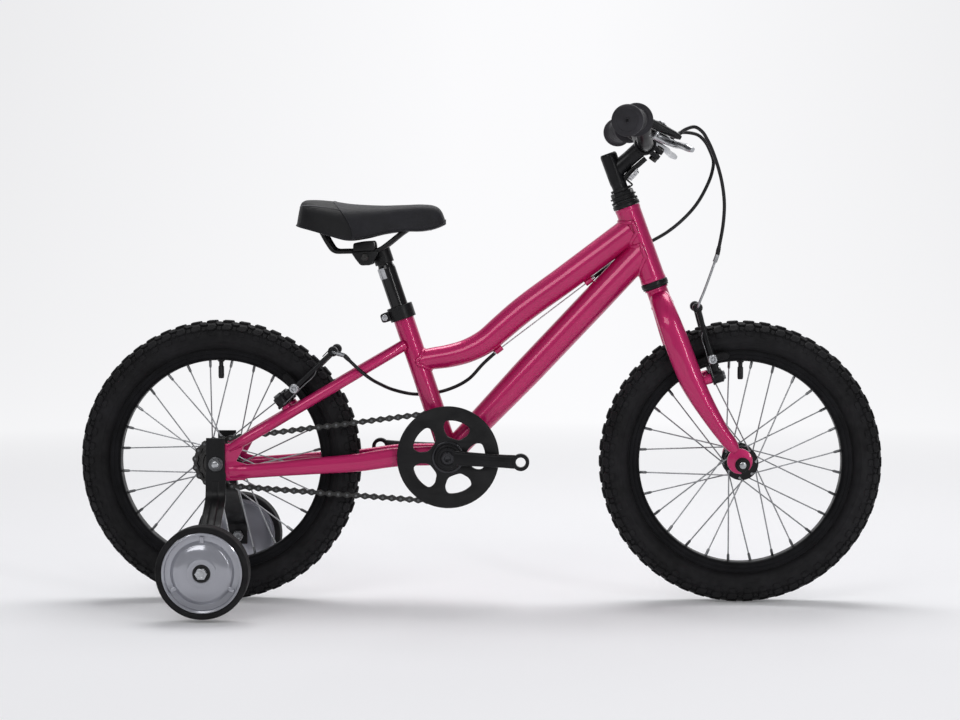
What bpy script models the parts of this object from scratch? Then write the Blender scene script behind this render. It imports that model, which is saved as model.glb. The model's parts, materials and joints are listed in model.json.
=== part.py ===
"""A children's bicycle with sixteen-inch wheels and stabilisers, built from its separate pieces.

Lengths are metres. +X points forward, +Y to the rider's left and +Z up. The origin lies on the
ground, midway between the two axles.
"""
import math

import bmesh
import bpy
import numpy as np
from mathutils import Matrix, Vector

# Clearance left between two pieces that touch
GAP = 0.0003

# Wheels
WHEELBASE = 0.745
TYRE_RADIUS = 0.2024
TYRE_WIDTH = 0.050
KNOB_HEIGHT = 0.0035
BEAD_SEAT_RADIUS = 0.1525
RIM_LIP = 0.006
RIM_DEPTH = 0.0142
RIM_WIDTH = 0.030
RIM_WALL = 0.0025
SPOKE_PAIRS = 7
SPOKE_RADIUS = 0.0009
SPOKE_HOLE_INSET = 0.0035
SPOKE_RIM_OFFSET = 0.0030
FLANGE_THICKNESS = 0.0036
FRONT_FLANGE_RADIUS = 0.0245
REAR_FLANGE_RADIUS = 0.0235
HUB_BARREL_RADIUS = 0.0125
HUB_END_RADIUS = 0.0098
FREEWHEEL_BOSS_RADIUS = 0.0145
FRONT_FLANGE_OFFSET = 0.0275
REAR_FLANGE_RIGHT = -0.0215
REAR_FLANGE_LEFT = 0.0290
VALVE_RADIUS = 0.0040
VALVE_LENGTH = 0.0270

# Axles and dropouts
AXLE_RADIUS = 0.00475
FRONT_HUB_SPACING = 0.095
REAR_HUB_SPACING = 0.110
FORK_DROPOUT_THICKNESS = 0.006
FORK_DROPOUT_RADIUS = 0.0180
FORK_SLOT_REACH = 0.0150
REAR_DROPOUT_THICKNESS = 0.005
NUT_RADIUS = 0.0087
NUT_HEIGHT = 0.0062
WASHER_RADIUS = 0.0105
WASHER_THICKNESS = 0.0018

# Chain drive
CHAIN_PITCH = 0.0127
CHAIN_RUN_PITCHES = 26
CHAINRING_TEETH = 32
FREEWHEEL_TEETH = 16
CHAIN_LINE = 0.040
SPROCKET_THICKNESS = 0.0026
ROLLER_HALF_LENGTH = 0.0023
LINK_HALF_HEIGHT = 0.0039
LINK_PLATE = 0.0010
CHAIN_INSIDE = 0.0021
CHAIN_HALF_WIDTH = 0.0044
GUARD_RADIUS = 0.0727
GUARD_THICKNESS = 0.0020
GUARD_OFFSET = 0.0465
SPIDER_ARMS = 5

# Bottom bracket and cranks
BRACKET_RISE = 0.0090
SHELL_RADIUS = 0.0200
SHELL_BORE = 0.0175
SHELL_WIDTH = 0.068
SPINDLE_RADIUS = 0.0080
SPINDLE_SQUARE = 0.0120
CRANK_LENGTH = 0.1035
CRANK_ANGLE = math.radians(-3.0)
CRANK_FACE = 0.0610
CRANK_EYE_CENTRE = 0.0600
CRANK_EYE_RADIUS = 0.0122
CRANK_EYE_THICKNESS = 0.0110
PEDAL_HOLE_RADIUS = 0.0070
CRANK_BOSS_RADIUS = 0.0145
CRANK_SLEEVE_RADIUS = 0.0127

# Frame tubes
HEAD_ANGLE = math.radians(70.0)
FORK_RAKE = 0.0285
HEAD_TUBE_BOTTOM = 0.4602
HEAD_TUBE_LENGTH = 0.1125
HEAD_TUBE_RADIUS = 0.0180
HEAD_TUBE_BORE = 0.0150
SEAT_ANGLE = math.radians(71.4)
SEAT_TUBE_TOP = 0.4235
SEAT_TUBE_RADIUS = 0.0148
SEAT_STAY_RADIUS = 0.0080
CHAIN_STAY_HALF_WIDTH = 0.0070

# Steering
STEERER_RADIUS = 0.0127
QUILL_RADIUS = 0.0111
HEADSET_RADIUS = 0.0195
LOWER_CUP_HEIGHT = 0.0095
UPPER_CUP_HEIGHT = 0.0078
LOCKNUT_HEIGHT = 0.0158
CUP_INSERT = 0.0080
BAR_RADIUS = 0.0111
STEM_TOP = 0.1935
STEM_JOIN = 0.1660
STEM_CLAMP_RADIUS = 0.0155
STEM_CLAMP_WIDTH = 0.044
GRIP_LENGTH = 0.100
GRIP_RADIUS = 0.0158
GRIP_END_RADIUS = 0.0235

# Rim brakes
BRAKE_POST_RADIUS = 0.0050
BRAKE_ARM_LENGTH = 0.101
BRAKE_ARM_DEPTH = 0.0090
PAD_HEIGHT_ON_ARM = 0.0255
PAD_CLEARANCE = 0.0017
PAD_LENGTH = 0.054
PAD_HEIGHT = 0.0100
PAD_THICKNESS = 0.0090
NOODLE_RADIUS = 0.0019
WIRE_RADIUS = 0.0008
HOUSING_RADIUS = 0.0025
FERRULE_RADIUS = 0.0032
HOUSING_STEP = 0.028

# Seat
SEATPOST_RADIUS = 0.0127
SEATPOST_TOP = 0.5080
SEATPOST_INSERT = 0.090
SEATPOST_NECK_RADIUS = 0.0110
SEATPOST_TRAVEL_DOWN = 0.045
COLLAR_RADIUS = 0.0187
COLLAR_HEIGHT = 0.0200
COLLAR_EAR_REACH = 0.0300
RAIL_RADIUS = 0.0035
RAIL_SPREAD = 0.0220
RAIL_ABOVE_BOLT = 0.0085
CLAMP_BEHIND_POST = 0.01915
CLAMP_BELOW_POST_TOP = 0.0135
SADDLE_REAR = -0.0970
SADDLE_NOSE = 0.1150
SADDLE_SEAM_RISE = 0.0075

# Stabilisers
STABILISER_RADIUS = 0.0640
STABILISER_CLEARANCE = 0.0045
STABILISER_INNER_FACE = 0.1840
STABILISER_WIDTH = 0.0300
STABILISER_TYRE = 0.0085
STABILISER_SEGMENTS = 18
STABILISER_AXLE_RADIUS = 0.0050
BRACKET_THICKNESS = 0.0045
BRACKET_WIDTH = 0.0290
BRACKET_TOP_RISE = 0.0370
BRACKET_BEND_DROP = 0.0487
BRACKET_REAR = 0.0150
BRACKET_PLATE_REACH = 0.1797

LEFT = 1
RIGHT = -1

# Places that follow from the sizes
AXLE_HEIGHT = TYRE_RADIUS
REAR_AXLE = Vector((-WHEELBASE / 2, 0, AXLE_HEIGHT))
FRONT_AXLE = Vector((WHEELBASE / 2, 0, AXLE_HEIGHT))
WHEEL_SEGMENTS = 4 * SPOKE_PAIRS
RIM_OUTER = BEAD_SEAT_RADIUS + RIM_LIP
RIM_INNER = RIM_OUTER - RIM_DEPTH
STEER_UP = Vector((-math.cos(HEAD_ANGLE), 0, math.sin(HEAD_ANGLE)))
STEER_FORWARD = Vector((math.sin(HEAD_ANGLE), 0, math.cos(HEAD_ANGLE)))
STEER_AT_AXLE = FRONT_AXLE - Vector((FORK_RAKE / math.sin(HEAD_ANGLE), 0, 0))
HEAD_BOTTOM = STEER_AT_AXLE + STEER_UP * ((HEAD_TUBE_BOTTOM - AXLE_HEIGHT) / math.sin(HEAD_ANGLE))
SEAT_UP = Vector((-math.cos(SEAT_ANGLE), 0, math.sin(SEAT_ANGLE)))
STEERER_TOP = HEAD_TUBE_LENGTH + UPPER_CUP_HEIGHT + LOCKNUT_HEIGHT - 0.002
FORK_DROPOUT_INNER = FRONT_HUB_SPACING / 2
FORK_DROPOUT_OUTER = FORK_DROPOUT_INNER + FORK_DROPOUT_THICKNESS
REAR_DROPOUT_INNER = REAR_HUB_SPACING / 2
REAR_DROPOUT_OUTER = REAR_DROPOUT_INNER + REAR_DROPOUT_THICKNESS
BRACKET_INNER = REAR_DROPOUT_OUTER + GAP
BRACKET_OUTER = BRACKET_INNER + BRACKET_THICKNESS
STABILISER_AXLE = Vector((REAR_AXLE.x, 0, STABILISER_RADIUS + STABILISER_CLEARANCE))
Y_AXIS = Vector((0, 1, 0))
DOWN = Vector((0, 0, -1))


def pitch_radius(teeth):
    return CHAIN_PITCH / (2 * math.sin(math.pi / teeth))


def chainstay_length():
    """Distance between the two sprockets at which a whole number of links closes the loop."""
    angle_front = math.pi / CHAINRING_TEETH
    angle_rear = math.pi / FREEWHEEL_TEETH
    height = (pitch_radius(CHAINRING_TEETH) * math.cos(angle_front)
              - pitch_radius(FREEWHEEL_TEETH) * math.cos(angle_rear))
    return math.sqrt((CHAIN_RUN_PITCHES * CHAIN_PITCH) ** 2 - height ** 2)


CHAINSTAY = chainstay_length()
BRACKET_CENTRE = REAR_AXLE + Vector((math.sqrt(CHAINSTAY ** 2 - BRACKET_RISE ** 2), 0, BRACKET_RISE))


def on_steering_axis(along, forward=0.0, side=0.0):
    """Point measured up the head tube from its lower end, forward of its axis and to the left."""
    return HEAD_BOTTOM + STEER_UP * along + STEER_FORWARD * forward + Y_AXIS * side


def on_seat_tube(height, forward=0.0, side=0.0):
    """Point on the seat tube's axis at a height above the ground."""
    along = (height - BRACKET_CENTRE.z) / math.sin(SEAT_ANGLE)
    return BRACKET_CENTRE + SEAT_UP * along + Vector((forward, side, 0))


# Scene and materials

def clear_scene():
    for obj in list(bpy.data.objects):
        bpy.data.objects.remove(obj, do_unlink=True)


def new_collection(name):
    collection = bpy.data.collections.new(name)
    bpy.context.scene.collection.children.link(collection)
    return collection


def material(name, colour, roughness, metallic=0.0):
    shade = bpy.data.materials.new(name)
    shade.use_nodes = True
    shader = shade.node_tree.nodes["Principled BSDF"]
    shader.inputs["Base Color"].default_value = (*colour, 1.0)
    shader.inputs["Roughness"].default_value = roughness
    shader.inputs["Metallic"].default_value = metallic
    shade.diffuse_color = (*colour, 1.0)
    return shade


clear_scene()
PARTS = new_collection("childs_bicycle")
SHAPES = new_collection("cutters")


# Shapes

def frame_at(origin, direction, side):
    """Matrix whose Z axis is the direction and whose X axis lies towards the side."""
    z = Vector(direction).normalized()
    x = Vector(side)
    x = (x - z * z.dot(x)).normalized()
    matrix = Matrix((x, z.cross(x), z)).transposed().to_4x4()
    matrix.translation = Vector(origin)
    return matrix


def plane_at(origin, across, up):
    """Matrix whose X and Y axes are the two given directions, for plates."""
    x = Vector(across).normalized()
    y = Vector(up).normalized()
    matrix = Matrix((x, y, x.cross(y))).transposed().to_4x4()
    matrix.translation = Vector(origin)
    return matrix


def object_from(name, mesh):
    obj = bpy.data.objects.new(name, mesh)
    SHAPES.objects.link(obj)
    return obj


def closed(mesh, matrix=None):
    """Weld loose caps, point every face outwards and put the mesh in its place."""
    if matrix is not None:
        mesh.transform(matrix)
    bm = bmesh.new()
    bm.from_mesh(mesh)
    bmesh.ops.remove_doubles(bm, verts=bm.verts, dist=1e-6)
    bmesh.ops.dissolve_degenerate(bm, dist=1e-6, edges=bm.edges)
    bmesh.ops.dissolve_limit(bm, angle_limit=math.radians(0.3), verts=bm.verts, edges=bm.edges)
    bmesh.ops.recalc_face_normals(bm, faces=bm.faces)
    bm.to_mesh(mesh)
    bm.free()
    return mesh


def evaluated(obj, matrix=None):
    """Replace an object that has modifiers, or a curve, by its own finished mesh."""
    graph = bpy.context.evaluated_depsgraph_get()
    mesh = bpy.data.meshes.new_from_object(obj.evaluated_get(graph))
    name = obj.name
    bpy.data.objects.remove(obj, do_unlink=True)
    return object_from(name, closed(mesh, matrix))


def turned(name, profile, segments, matrix, ring=False):
    """Profile of (radius, height) points turned about the matrix's Z axis."""
    mesh = bpy.data.meshes.new(name)
    points = [(radius, 0, height) for radius, height in profile]
    edges = [(i, i + 1) for i in range(len(points) - 1)]
    if ring:
        edges.append((len(points) - 1, 0))
    mesh.from_pydata(points, edges, [])
    obj = object_from(name, mesh)
    screw = obj.modifiers.new("turn", "SCREW")
    screw.axis = "Z"
    screw.angle = 2 * math.pi
    screw.steps = segments
    screw.render_steps = segments
    screw.use_merge_vertices = True
    screw.merge_threshold = 1e-5
    return evaluated(obj, matrix)


def rod(name, start, end, radius, sides=12, end_radius=None, side=None):
    """Round bar, or a cone, between two points."""
    start = Vector(start)
    end = Vector(end)
    direction = end - start
    if side is None:
        side = (0, 0, 1) if abs(direction.normalized().z) < 0.9 else (1, 0, 0)
    matrix = frame_at((start + end) / 2, direction, side) @ Matrix.Rotation(math.pi / 2, 4, "Z")
    bm = bmesh.new()
    bmesh.ops.create_cone(bm, cap_ends=True, segments=sides, radius1=radius,
                          radius2=radius if end_radius is None else end_radius,
                          depth=direction.length, matrix=matrix)
    mesh = bpy.data.meshes.new(name)
    bm.to_mesh(mesh)
    bm.free()
    return object_from(name, closed(mesh))


def block(name, size, matrix):
    """Rectangular block of the given size, centred on the matrix."""
    bm = bmesh.new()
    bmesh.ops.create_cube(bm, size=1.0, matrix=matrix @ Matrix.Diagonal((*size, 1.0)))
    mesh = bpy.data.meshes.new(name)
    bm.to_mesh(mesh)
    bm.free()
    return object_from(name, closed(mesh))


def tube(name, points, radius, factors=None, resolution=2):
    """Round bar along a row of points, whose radius may vary by the factors."""
    curve = bpy.data.curves.new(name, "CURVE")
    curve.dimensions = "3D"
    curve.bevel_depth = radius
    curve.bevel_resolution = resolution
    curve.use_fill_caps = True
    spline = curve.splines.new("POLY")
    spline.points.add(len(points) - 1)
    for index, point in enumerate(points):
        spline.points[index].co = (*point, 1.0)
        spline.points[index].radius = 1.0 if factors is None else factors[index]
    return evaluated(object_from(name, curve))


def plate(name, outlines, thickness, matrix):
    """Flat plate with the closed outlines, the first of which holds the others as openings."""
    curve = bpy.data.curves.new(name, "CURVE")
    curve.dimensions = "2D"
    curve.fill_mode = "BOTH"
    curve.extrude = thickness / 2
    for outline in outlines:
        spline = curve.splines.new("POLY")
        spline.points.add(len(outline) - 1)
        for index, (x, y) in enumerate(outline):
            spline.points[index].co = (x, y, 0, 1)
        spline.use_cyclic_u = True
    return evaluated(object_from(name, curve), matrix)


def loft(name, sections, loop=False):
    """Skin over a row of sections with equal numbers of points, capped at both ends."""
    bm = bmesh.new()
    rings = [[bm.verts.new(point) for point in section] for section in sections]
    count = len(rings[0])
    pairs = list(zip(rings, rings[1:]))
    if loop:
        pairs.append((rings[-1], rings[0]))
    for first, second in pairs:
        for i in range(count):
            j = (i + 1) % count
            bm.faces.new((first[i], first[j], second[j], second[i]))
    if not loop:
        bm.faces.new(rings[0][::-1])
        bm.faces.new(rings[-1])
    mesh = bpy.data.meshes.new(name)
    bm.to_mesh(mesh)
    bm.free()
    return object_from(name, closed(mesh))


def oval_bar(name, centres, half_depths, half_widths, sides=10, across=(0, 1, 0), power=2.0):
    """Bar with an oval section: half_widths lie across, half_depths square to that and the path."""
    across = Vector(across)
    sections = []
    for index, centre in enumerate(centres):
        before = Vector(centres[max(index - 1, 0)])
        after = Vector(centres[min(index + 1, len(centres) - 1)])
        along = (after - before).normalized()
        wide = (across - along * along.dot(across)).normalized()
        deep = along.cross(wide)
        section = []
        for step in range(sides):
            turn = 2 * math.pi * (step + 0.5) / sides
            c = math.cos(turn)
            s = math.sin(turn)
            c = math.copysign(abs(c) ** (2 / power), c)
            s = math.copysign(abs(s) ** (2 / power), s)
            section.append(Vector(centre) + wide * (half_widths[index] * c) + deep * (half_depths[index] * s))
        sections.append(section)
    return loft(name, sections)


def smooth_route(points, step):
    """Catmull-Rom curve through the points, read about every step."""
    points = [Vector(point) for point in points]
    points = [2 * points[0] - points[1]] + points + [2 * points[-1] - points[-2]]
    route = []
    for a, b, c, d in zip(points, points[1:], points[2:], points[3:]):
        count = max(1, round((c - b).length / step))
        for i in range(count):
            t = i / count
            route.append(0.5 * (2 * b + (c - a) * t + (2 * a - 5 * b + 4 * c - d) * t ** 2
                                + (3 * b - 3 * c + d - a) * t ** 3))
    route.append(points[-2])
    return route


def boolean(target, others, operation):
    """Join the other shapes to the target, or cut them out of it, and remove them."""
    tools = bpy.data.collections.new("tools")
    bpy.context.scene.collection.children.link(tools)
    for other in others:
        SHAPES.objects.unlink(other)
        tools.objects.link(other)
    modifier = target.modifiers.new("join", "BOOLEAN")
    modifier.operation = operation
    modifier.solver = "EXACT"
    modifier.operand_type = "COLLECTION"
    modifier.collection = tools
    result = evaluated(target)
    for other in others:
        bpy.data.objects.remove(other, do_unlink=True)
    bpy.data.collections.remove(tools)
    return result


def fused(shapes):
    return boolean(shapes[0], shapes[1:], "UNION")


def cut(target, cutters):
    return boolean(target, cutters, "DIFFERENCE")


def clear_bore(radius, sides):
    """Corner radius of a bore with flat sides that clears a shaft of the radius at every angle."""
    return (radius + GAP) / math.cos(math.pi / sides)


def circle(radius, count, start=0.0):
    return [(radius * math.cos(start + 2 * math.pi * i / count),
             radius * math.sin(start + 2 * math.pi * i / count)) for i in range(count)]


# Bodies: each is an empty on its joint's axis, and its pieces are its children

BODIES = {}


def body(name, place):
    empty = bpy.data.objects.new("body_" + name, None)
    empty.empty_display_size = 0.02
    empty.location = place
    PARTS.objects.link(empty)
    BODIES[name] = empty


def finish(shape, name, body_name, shade, sharp=40):
    """Name a finished shape, give it its material and hang it on its body."""
    parent = BODIES[body_name]
    shape.data.transform(Matrix.Translation(-parent.location))
    shape.data.shade_smooth()
    shape.data.set_sharp_from_angle(angle=math.radians(sharp))
    shape.data.materials.clear()
    shape.data.materials.append(shade)
    SHAPES.objects.unlink(shape)
    PARTS.objects.link(shape)
    shape.name = name
    shape.data.name = name
    shape.parent = parent
    return shape


PAINT = material("raspberry_paint", (0.42, 0.018, 0.11), 0.28, 0.25)
BLACK_ALLOY = material("black_alloy", (0.018, 0.018, 0.02), 0.35, 0.6)
BLACK_STEEL = material("black_steel", (0.015, 0.015, 0.016), 0.45, 0.4)
BLACK_PLASTIC = material("black_plastic", (0.02, 0.02, 0.022), 0.5)
TYRE_RUBBER = material("tyre_rubber", (0.022, 0.022, 0.024), 0.85)
GRIP_RUBBER = material("grip_rubber", (0.03, 0.03, 0.033), 0.75)
SADDLE_VINYL = material("saddle_vinyl", (0.022, 0.022, 0.025), 0.55)
BRIGHT_STEEL = material("bright_steel", (0.55, 0.56, 0.58), 0.3, 1.0)
SPOKE_STEEL = material("spoke_steel", (0.4, 0.41, 0.42), 0.35, 0.9)
CHAIN_STEEL = material("chain_steel", (0.07, 0.07, 0.07), 0.4, 0.9)
CLEAR_PLASTIC = material("smoky_plastic", (0.42, 0.43, 0.47), 0.2)
CABLE_BLACK = material("cable_housing", (0.012, 0.012, 0.013), 0.4)
REFLECTOR_WHITE = material("reflector_white", (0.75, 0.76, 0.78), 0.2)


# Wheels

def wheel_matrix(axle):
    """Turning frame of a wheel, with the middle of one segment at the ground."""
    half_step = math.pi / WHEEL_SEGMENTS
    return frame_at(axle, Y_AXIS, Vector((math.sin(half_step), 0, -math.cos(half_step))))


def make_tyre(name, axle, body_name):
    """Tyre with a band of centre knobs and staggered shoulder lugs raised from its casing."""
    half = TYRE_WIDTH / 2
    crown = TYRE_RADIUS - KNOB_HEIGHT
    foot = RIM_WIDTH / 2 - RIM_WALL - GAP * 2
    depth = crown - RIM_OUTER
    profile = [
        (crown, half * 0.38),
        (crown - depth * 0.14, half * 0.78),
        (crown - depth * 0.46, half * 1.0),
        (RIM_OUTER + GAP * 2, foot),
        (BEAD_SEAT_RADIUS - RIM_WALL + GAP * 3, foot),
    ]
    profile = profile + [(radius, -width) for radius, width in profile[::-1]]
    shape = turned(name, profile, WHEEL_SEGMENTS, wheel_matrix(axle), ring=True)
    step = 2 * math.pi / WHEEL_SEGMENTS
    shoulder = half * 0.58
    bm = bmesh.new()
    bm.from_mesh(shape.data)
    centre_faces = []
    shoulder_faces = []
    for face in bm.faces:
        middle = face.calc_center_median() - axle
        radius = math.hypot(middle.x, middle.z)
        place = round(math.atan2(middle.x, -middle.z) / step)
        if radius < crown - depth * 0.3:
            continue
        if abs(middle.y) < half * 0.1 and place % 2 == 0:
            centre_faces.append(face)
        if abs(abs(middle.y) - shoulder) < half * 0.1 and place % 2 == 1:
            shoulder_faces.append(face)
    raised = bmesh.ops.extrude_discrete_faces(bm, faces=centre_faces + shoulder_faces)["faces"]
    for face in raised:
        face.normal_update()
        middle = face.calc_center_median()
        height = KNOB_HEIGHT
        if abs(middle.y) < half * 0.1:
            height = TYRE_RADIUS - (middle - axle).length
        for vert in face.verts:
            vert.co = middle + (vert.co - middle) * 0.84 + face.normal * height
    bm.to_mesh(shape.data)
    bm.free()
    finish(shape, name, body_name, TYRE_RUBBER, sharp=25)


def make_rim(name, axle, body_name):
    """Box-section rim with upright brake tracks and a well that holds the tyre's beads."""
    half = RIM_WIDTH / 2
    well = BEAD_SEAT_RADIUS - RIM_WALL
    profile = [
        (RIM_OUTER, half),
        (RIM_INNER, half * 0.8),
        (RIM_INNER, -half * 0.8),
        (RIM_OUTER, -half),
        (RIM_OUTER, -half + RIM_WALL),
        (well, -half + RIM_WALL),
        (well, half - RIM_WALL),
        (RIM_OUTER, half - RIM_WALL),
    ]
    shape = turned(name, profile, WHEEL_SEGMENTS, wheel_matrix(axle), ring=True)
    finish(shape, name, body_name, BLACK_ALLOY)


def make_valve(name, axle, body_name):
    """Valve stem with its cap, standing inwards from the top of the rim."""
    root = RIM_INNER * math.cos(math.pi / WHEEL_SEGMENTS) - GAP
    tip = root - VALVE_LENGTH
    profile = [
        (0, -root),
        (VALVE_RADIUS * 0.75, -root),
        (VALVE_RADIUS * 0.75, -root + VALVE_LENGTH * 0.30),
        (VALVE_RADIUS, -root + VALVE_LENGTH * 0.34),
        (VALVE_RADIUS, -tip),
        (0, -tip),
    ]
    shape = turned(name, profile, 6, frame_at(axle, DOWN, (1, 0, 0)))
    finish(shape, name, body_name, BLACK_PLASTIC)


def spoke(centre, flange, hole_circle, hole_angle, rim_angle, outside):
    """One spoke from the outer or the inner face of its flange to a corner of the faceted rim."""
    side = 1 if flange > 0 else -1
    offset = side * (FLANGE_THICKNESS / 2 + SPOKE_RADIUS * 0.3) * (1 if outside else -1)
    start = centre + Vector((hole_circle * math.cos(hole_angle), flange + offset,
                             hole_circle * math.sin(hole_angle)))
    reach = RIM_INNER - GAP - SPOKE_RADIUS * 0.36
    end = centre + Vector((reach * math.cos(rim_angle), side * SPOKE_RIM_OFFSET + offset,
                           reach * math.sin(rim_angle)))
    return rod("spoke", start, end, SPOKE_RADIUS, sides=3, side=(0, offset, 0))


def make_hub(name, axle, body_name, right_flange, left_flange, radius, right_end, left_end,
             boss=HUB_END_RADIUS):
    """Hub shell with its spokes, laced so that each crosses two others of its side."""
    bore = AXLE_RADIUS + GAP
    half = FLANGE_THICKNESS / 2
    profile = [
        (bore, right_end),
        (boss, right_end),
        (boss, right_flange - half),
        (radius, right_flange - half),
        (radius, right_flange + half),
        (HUB_BARREL_RADIUS, right_flange + half + 0.004),
        (HUB_BARREL_RADIUS, left_flange - half - 0.004),
        (radius, left_flange - half),
        (radius, left_flange + half),
        (HUB_END_RADIUS, left_flange + half),
        (HUB_END_RADIUS, left_end),
        (bore, left_end),
    ]
    shell = turned(name, profile, 10, frame_at(axle, Y_AXIS, DOWN), ring=True)
    holes = 2 * SPOKE_PAIRS
    step = 2 * math.pi / holes
    lead = 2 * step
    spokes = []
    for flange, shift in ((right_flange, step * 0.25), (left_flange, step * 0.75)):
        for index in range(holes):
            hole_angle = index * step + shift
            trailing = index % 2 == 0
            rim_angle = hole_angle + (lead if trailing else -lead)
            spokes.append(spoke(axle, flange, radius - SPOKE_HOLE_INSET, hole_angle, rim_angle, trailing))
    finish(fused([shell] + spokes), name, body_name, SPOKE_STEEL)


def make_axle(name, axle, body_name, left_hub_end, right_hub_end, dropout_inner, half_length):
    """Threaded axle rod with the locknuts that the dropouts clamp."""
    lock = 0.0085
    profile = [
        (0, half_length),
        (AXLE_RADIUS, half_length),
        (AXLE_RADIUS, dropout_inner - GAP),
        (lock, dropout_inner - GAP),
        (lock, left_hub_end + GAP),
        (AXLE_RADIUS, left_hub_end + GAP),
        (AXLE_RADIUS, right_hub_end - GAP),
        (lock, right_hub_end - GAP),
        (lock, -dropout_inner + GAP),
        (AXLE_RADIUS, -dropout_inner + GAP),
        (AXLE_RADIUS, -half_length),
        (0, -half_length),
    ]
    shape = turned(name, profile, 6, frame_at(axle, Y_AXIS, DOWN))
    finish(shape, name, body_name, BRIGHT_STEEL)


def make_axle_nut(name, axle, body_name, side, seat):
    """Hexagon nut on its washer, on one end of an axle."""
    face = axle + Y_AXIS * side * (seat + GAP)
    washer_top = face + Y_AXIS * side * WASHER_THICKNESS
    nut_top = washer_top + Y_AXIS * side * NUT_HEIGHT
    washer = rod("washer", face, washer_top, WASHER_RADIUS, 8)
    nut = rod("nut", washer_top - Y_AXIS * side * 0.0005, nut_top, NUT_RADIUS, 6)
    past = Y_AXIS * side * 0.002
    hole = rod("hole", face - past, nut_top + past, AXLE_RADIUS + 2 * GAP, 6)
    finish(cut(fused([washer, nut]), [hole]), name, body_name, BLACK_STEEL)


# Chain drive

def sprocket_outline(teeth, phase):
    """Tooth outline whose valleys sit under the rollers, the first at the phase angle."""
    pitch = pitch_radius(teeth)
    step = 2 * math.pi / teeth
    outline = []
    for index in range(teeth):
        valley = phase + index * step
        for share, radius in ((-0.20, pitch - 0.0046), (0.20, pitch - 0.0046), (0.5, pitch + 0.0022)):
            angle = valley + share * step
            outline.append((radius * math.cos(angle), radius * math.sin(angle)))
    return outline


def drive_directions():
    """Unit vectors along the line from the rear axle to the cranks, and square to it."""
    along = (BRACKET_CENTRE - REAR_AXLE).normalized()
    return along, Vector((-along.z, 0, along.x))


def spider_openings():
    """Five rounded openings of the chainring and its guard, one of them straight ahead."""
    shape = ((0.0515, 9), (0.0450, 25), (0.0290, 14), (0.0290, -14), (0.0450, -25), (0.0515, -9))
    openings = []
    for arm in range(SPIDER_ARMS):
        middle = 2 * math.pi * arm / SPIDER_ARMS
        openings.append([(radius * math.cos(middle + math.radians(turn)),
                          radius * math.sin(middle + math.radians(turn))) for radius, turn in shape])
    return openings


def drive_plane(centre, offset):
    """Plate frame in the plane of the chain drive, at an offset to the right."""
    along, square = drive_directions()
    return plane_at(centre - Y_AXIS * offset, along, square)


def make_chainring():
    sleeve_hole = circle(CRANK_SLEEVE_RADIUS + 2 * GAP, 12)
    outline = sprocket_outline(CHAINRING_TEETH, math.pi / CHAINRING_TEETH)
    shape = plate("chainring", [outline] + spider_openings() + [sleeve_hole], SPROCKET_THICKNESS,
                  drive_plane(BRACKET_CENTRE, CHAIN_LINE))
    finish(shape, "chainring", "crank", BLACK_STEEL)


def make_chain_guard():
    """Flat guard disc outside the chainring, with openings in line with the chainring's."""
    shape = plate("chain_guard", [circle(GUARD_RADIUS, 28)] + spider_openings()
                  + [circle(CRANK_SLEEVE_RADIUS + 2 * GAP, 12)], GUARD_THICKNESS,
                  drive_plane(BRACKET_CENTRE, GUARD_OFFSET))
    finish(shape, "chain_guard", "crank", BLACK_STEEL)


def make_freewheel(right_flange):
    along, square = drive_directions()
    phase = math.pi / FREEWHEEL_TEETH
    ring = plate("freewheel", [sprocket_outline(FREEWHEEL_TEETH, phase)], SPROCKET_THICKNESS,
                 drive_plane(REAR_AXLE, CHAIN_LINE))
    inner = -right_flange + FLANGE_THICKNESS / 2 + 0.0070
    core = rod("core", REAR_AXLE - Y_AXIS * inner, REAR_AXLE - Y_AXIS * (CHAIN_LINE + 0.0065), 0.0250, 12)
    hole = rod("hole", REAR_AXLE - Y_AXIS * (inner - 0.01), REAR_AXLE - Y_AXIS * (CHAIN_LINE + 0.02),
               clear_bore(FREEWHEEL_BOSS_RADIUS, 10), 10, side=DOWN)
    finish(cut(fused([ring, core]), [hole]), "freewheel", "freewheel", CHAIN_STEEL)


def chain_pins():
    """Pin centres round the loop, seated in the valleys of both sprockets."""
    along, square = drive_directions()
    pins = []
    step = 2 * math.pi / CHAINRING_TEETH
    reach = CHAINRING_TEETH // 4
    radius = pitch_radius(CHAINRING_TEETH)
    for index in range(reach, -reach - 2, -1):
        angle = (index + 0.5) * step
        pins.append(BRACKET_CENTRE + along * (radius * math.cos(angle)) + square * (radius * math.sin(angle)))
    step = 2 * math.pi / FREEWHEEL_TEETH
    reach = FREEWHEEL_TEETH // 4
    radius = pitch_radius(FREEWHEEL_TEETH)
    wrapped = []
    for index in range(-reach, reach):
        angle = math.pi - (index + 0.5) * step
        wrapped.append(REAR_AXLE + along * (radius * math.cos(angle)) + square * (radius * math.sin(angle)))
    lower = [pins[-1].lerp(wrapped[0], i / CHAIN_RUN_PITCHES) for i in range(1, CHAIN_RUN_PITCHES)]
    upper = [wrapped[-1].lerp(pins[0], i / CHAIN_RUN_PITCHES) for i in range(1, CHAIN_RUN_PITCHES)]
    return pins + lower + wrapped + upper


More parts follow.
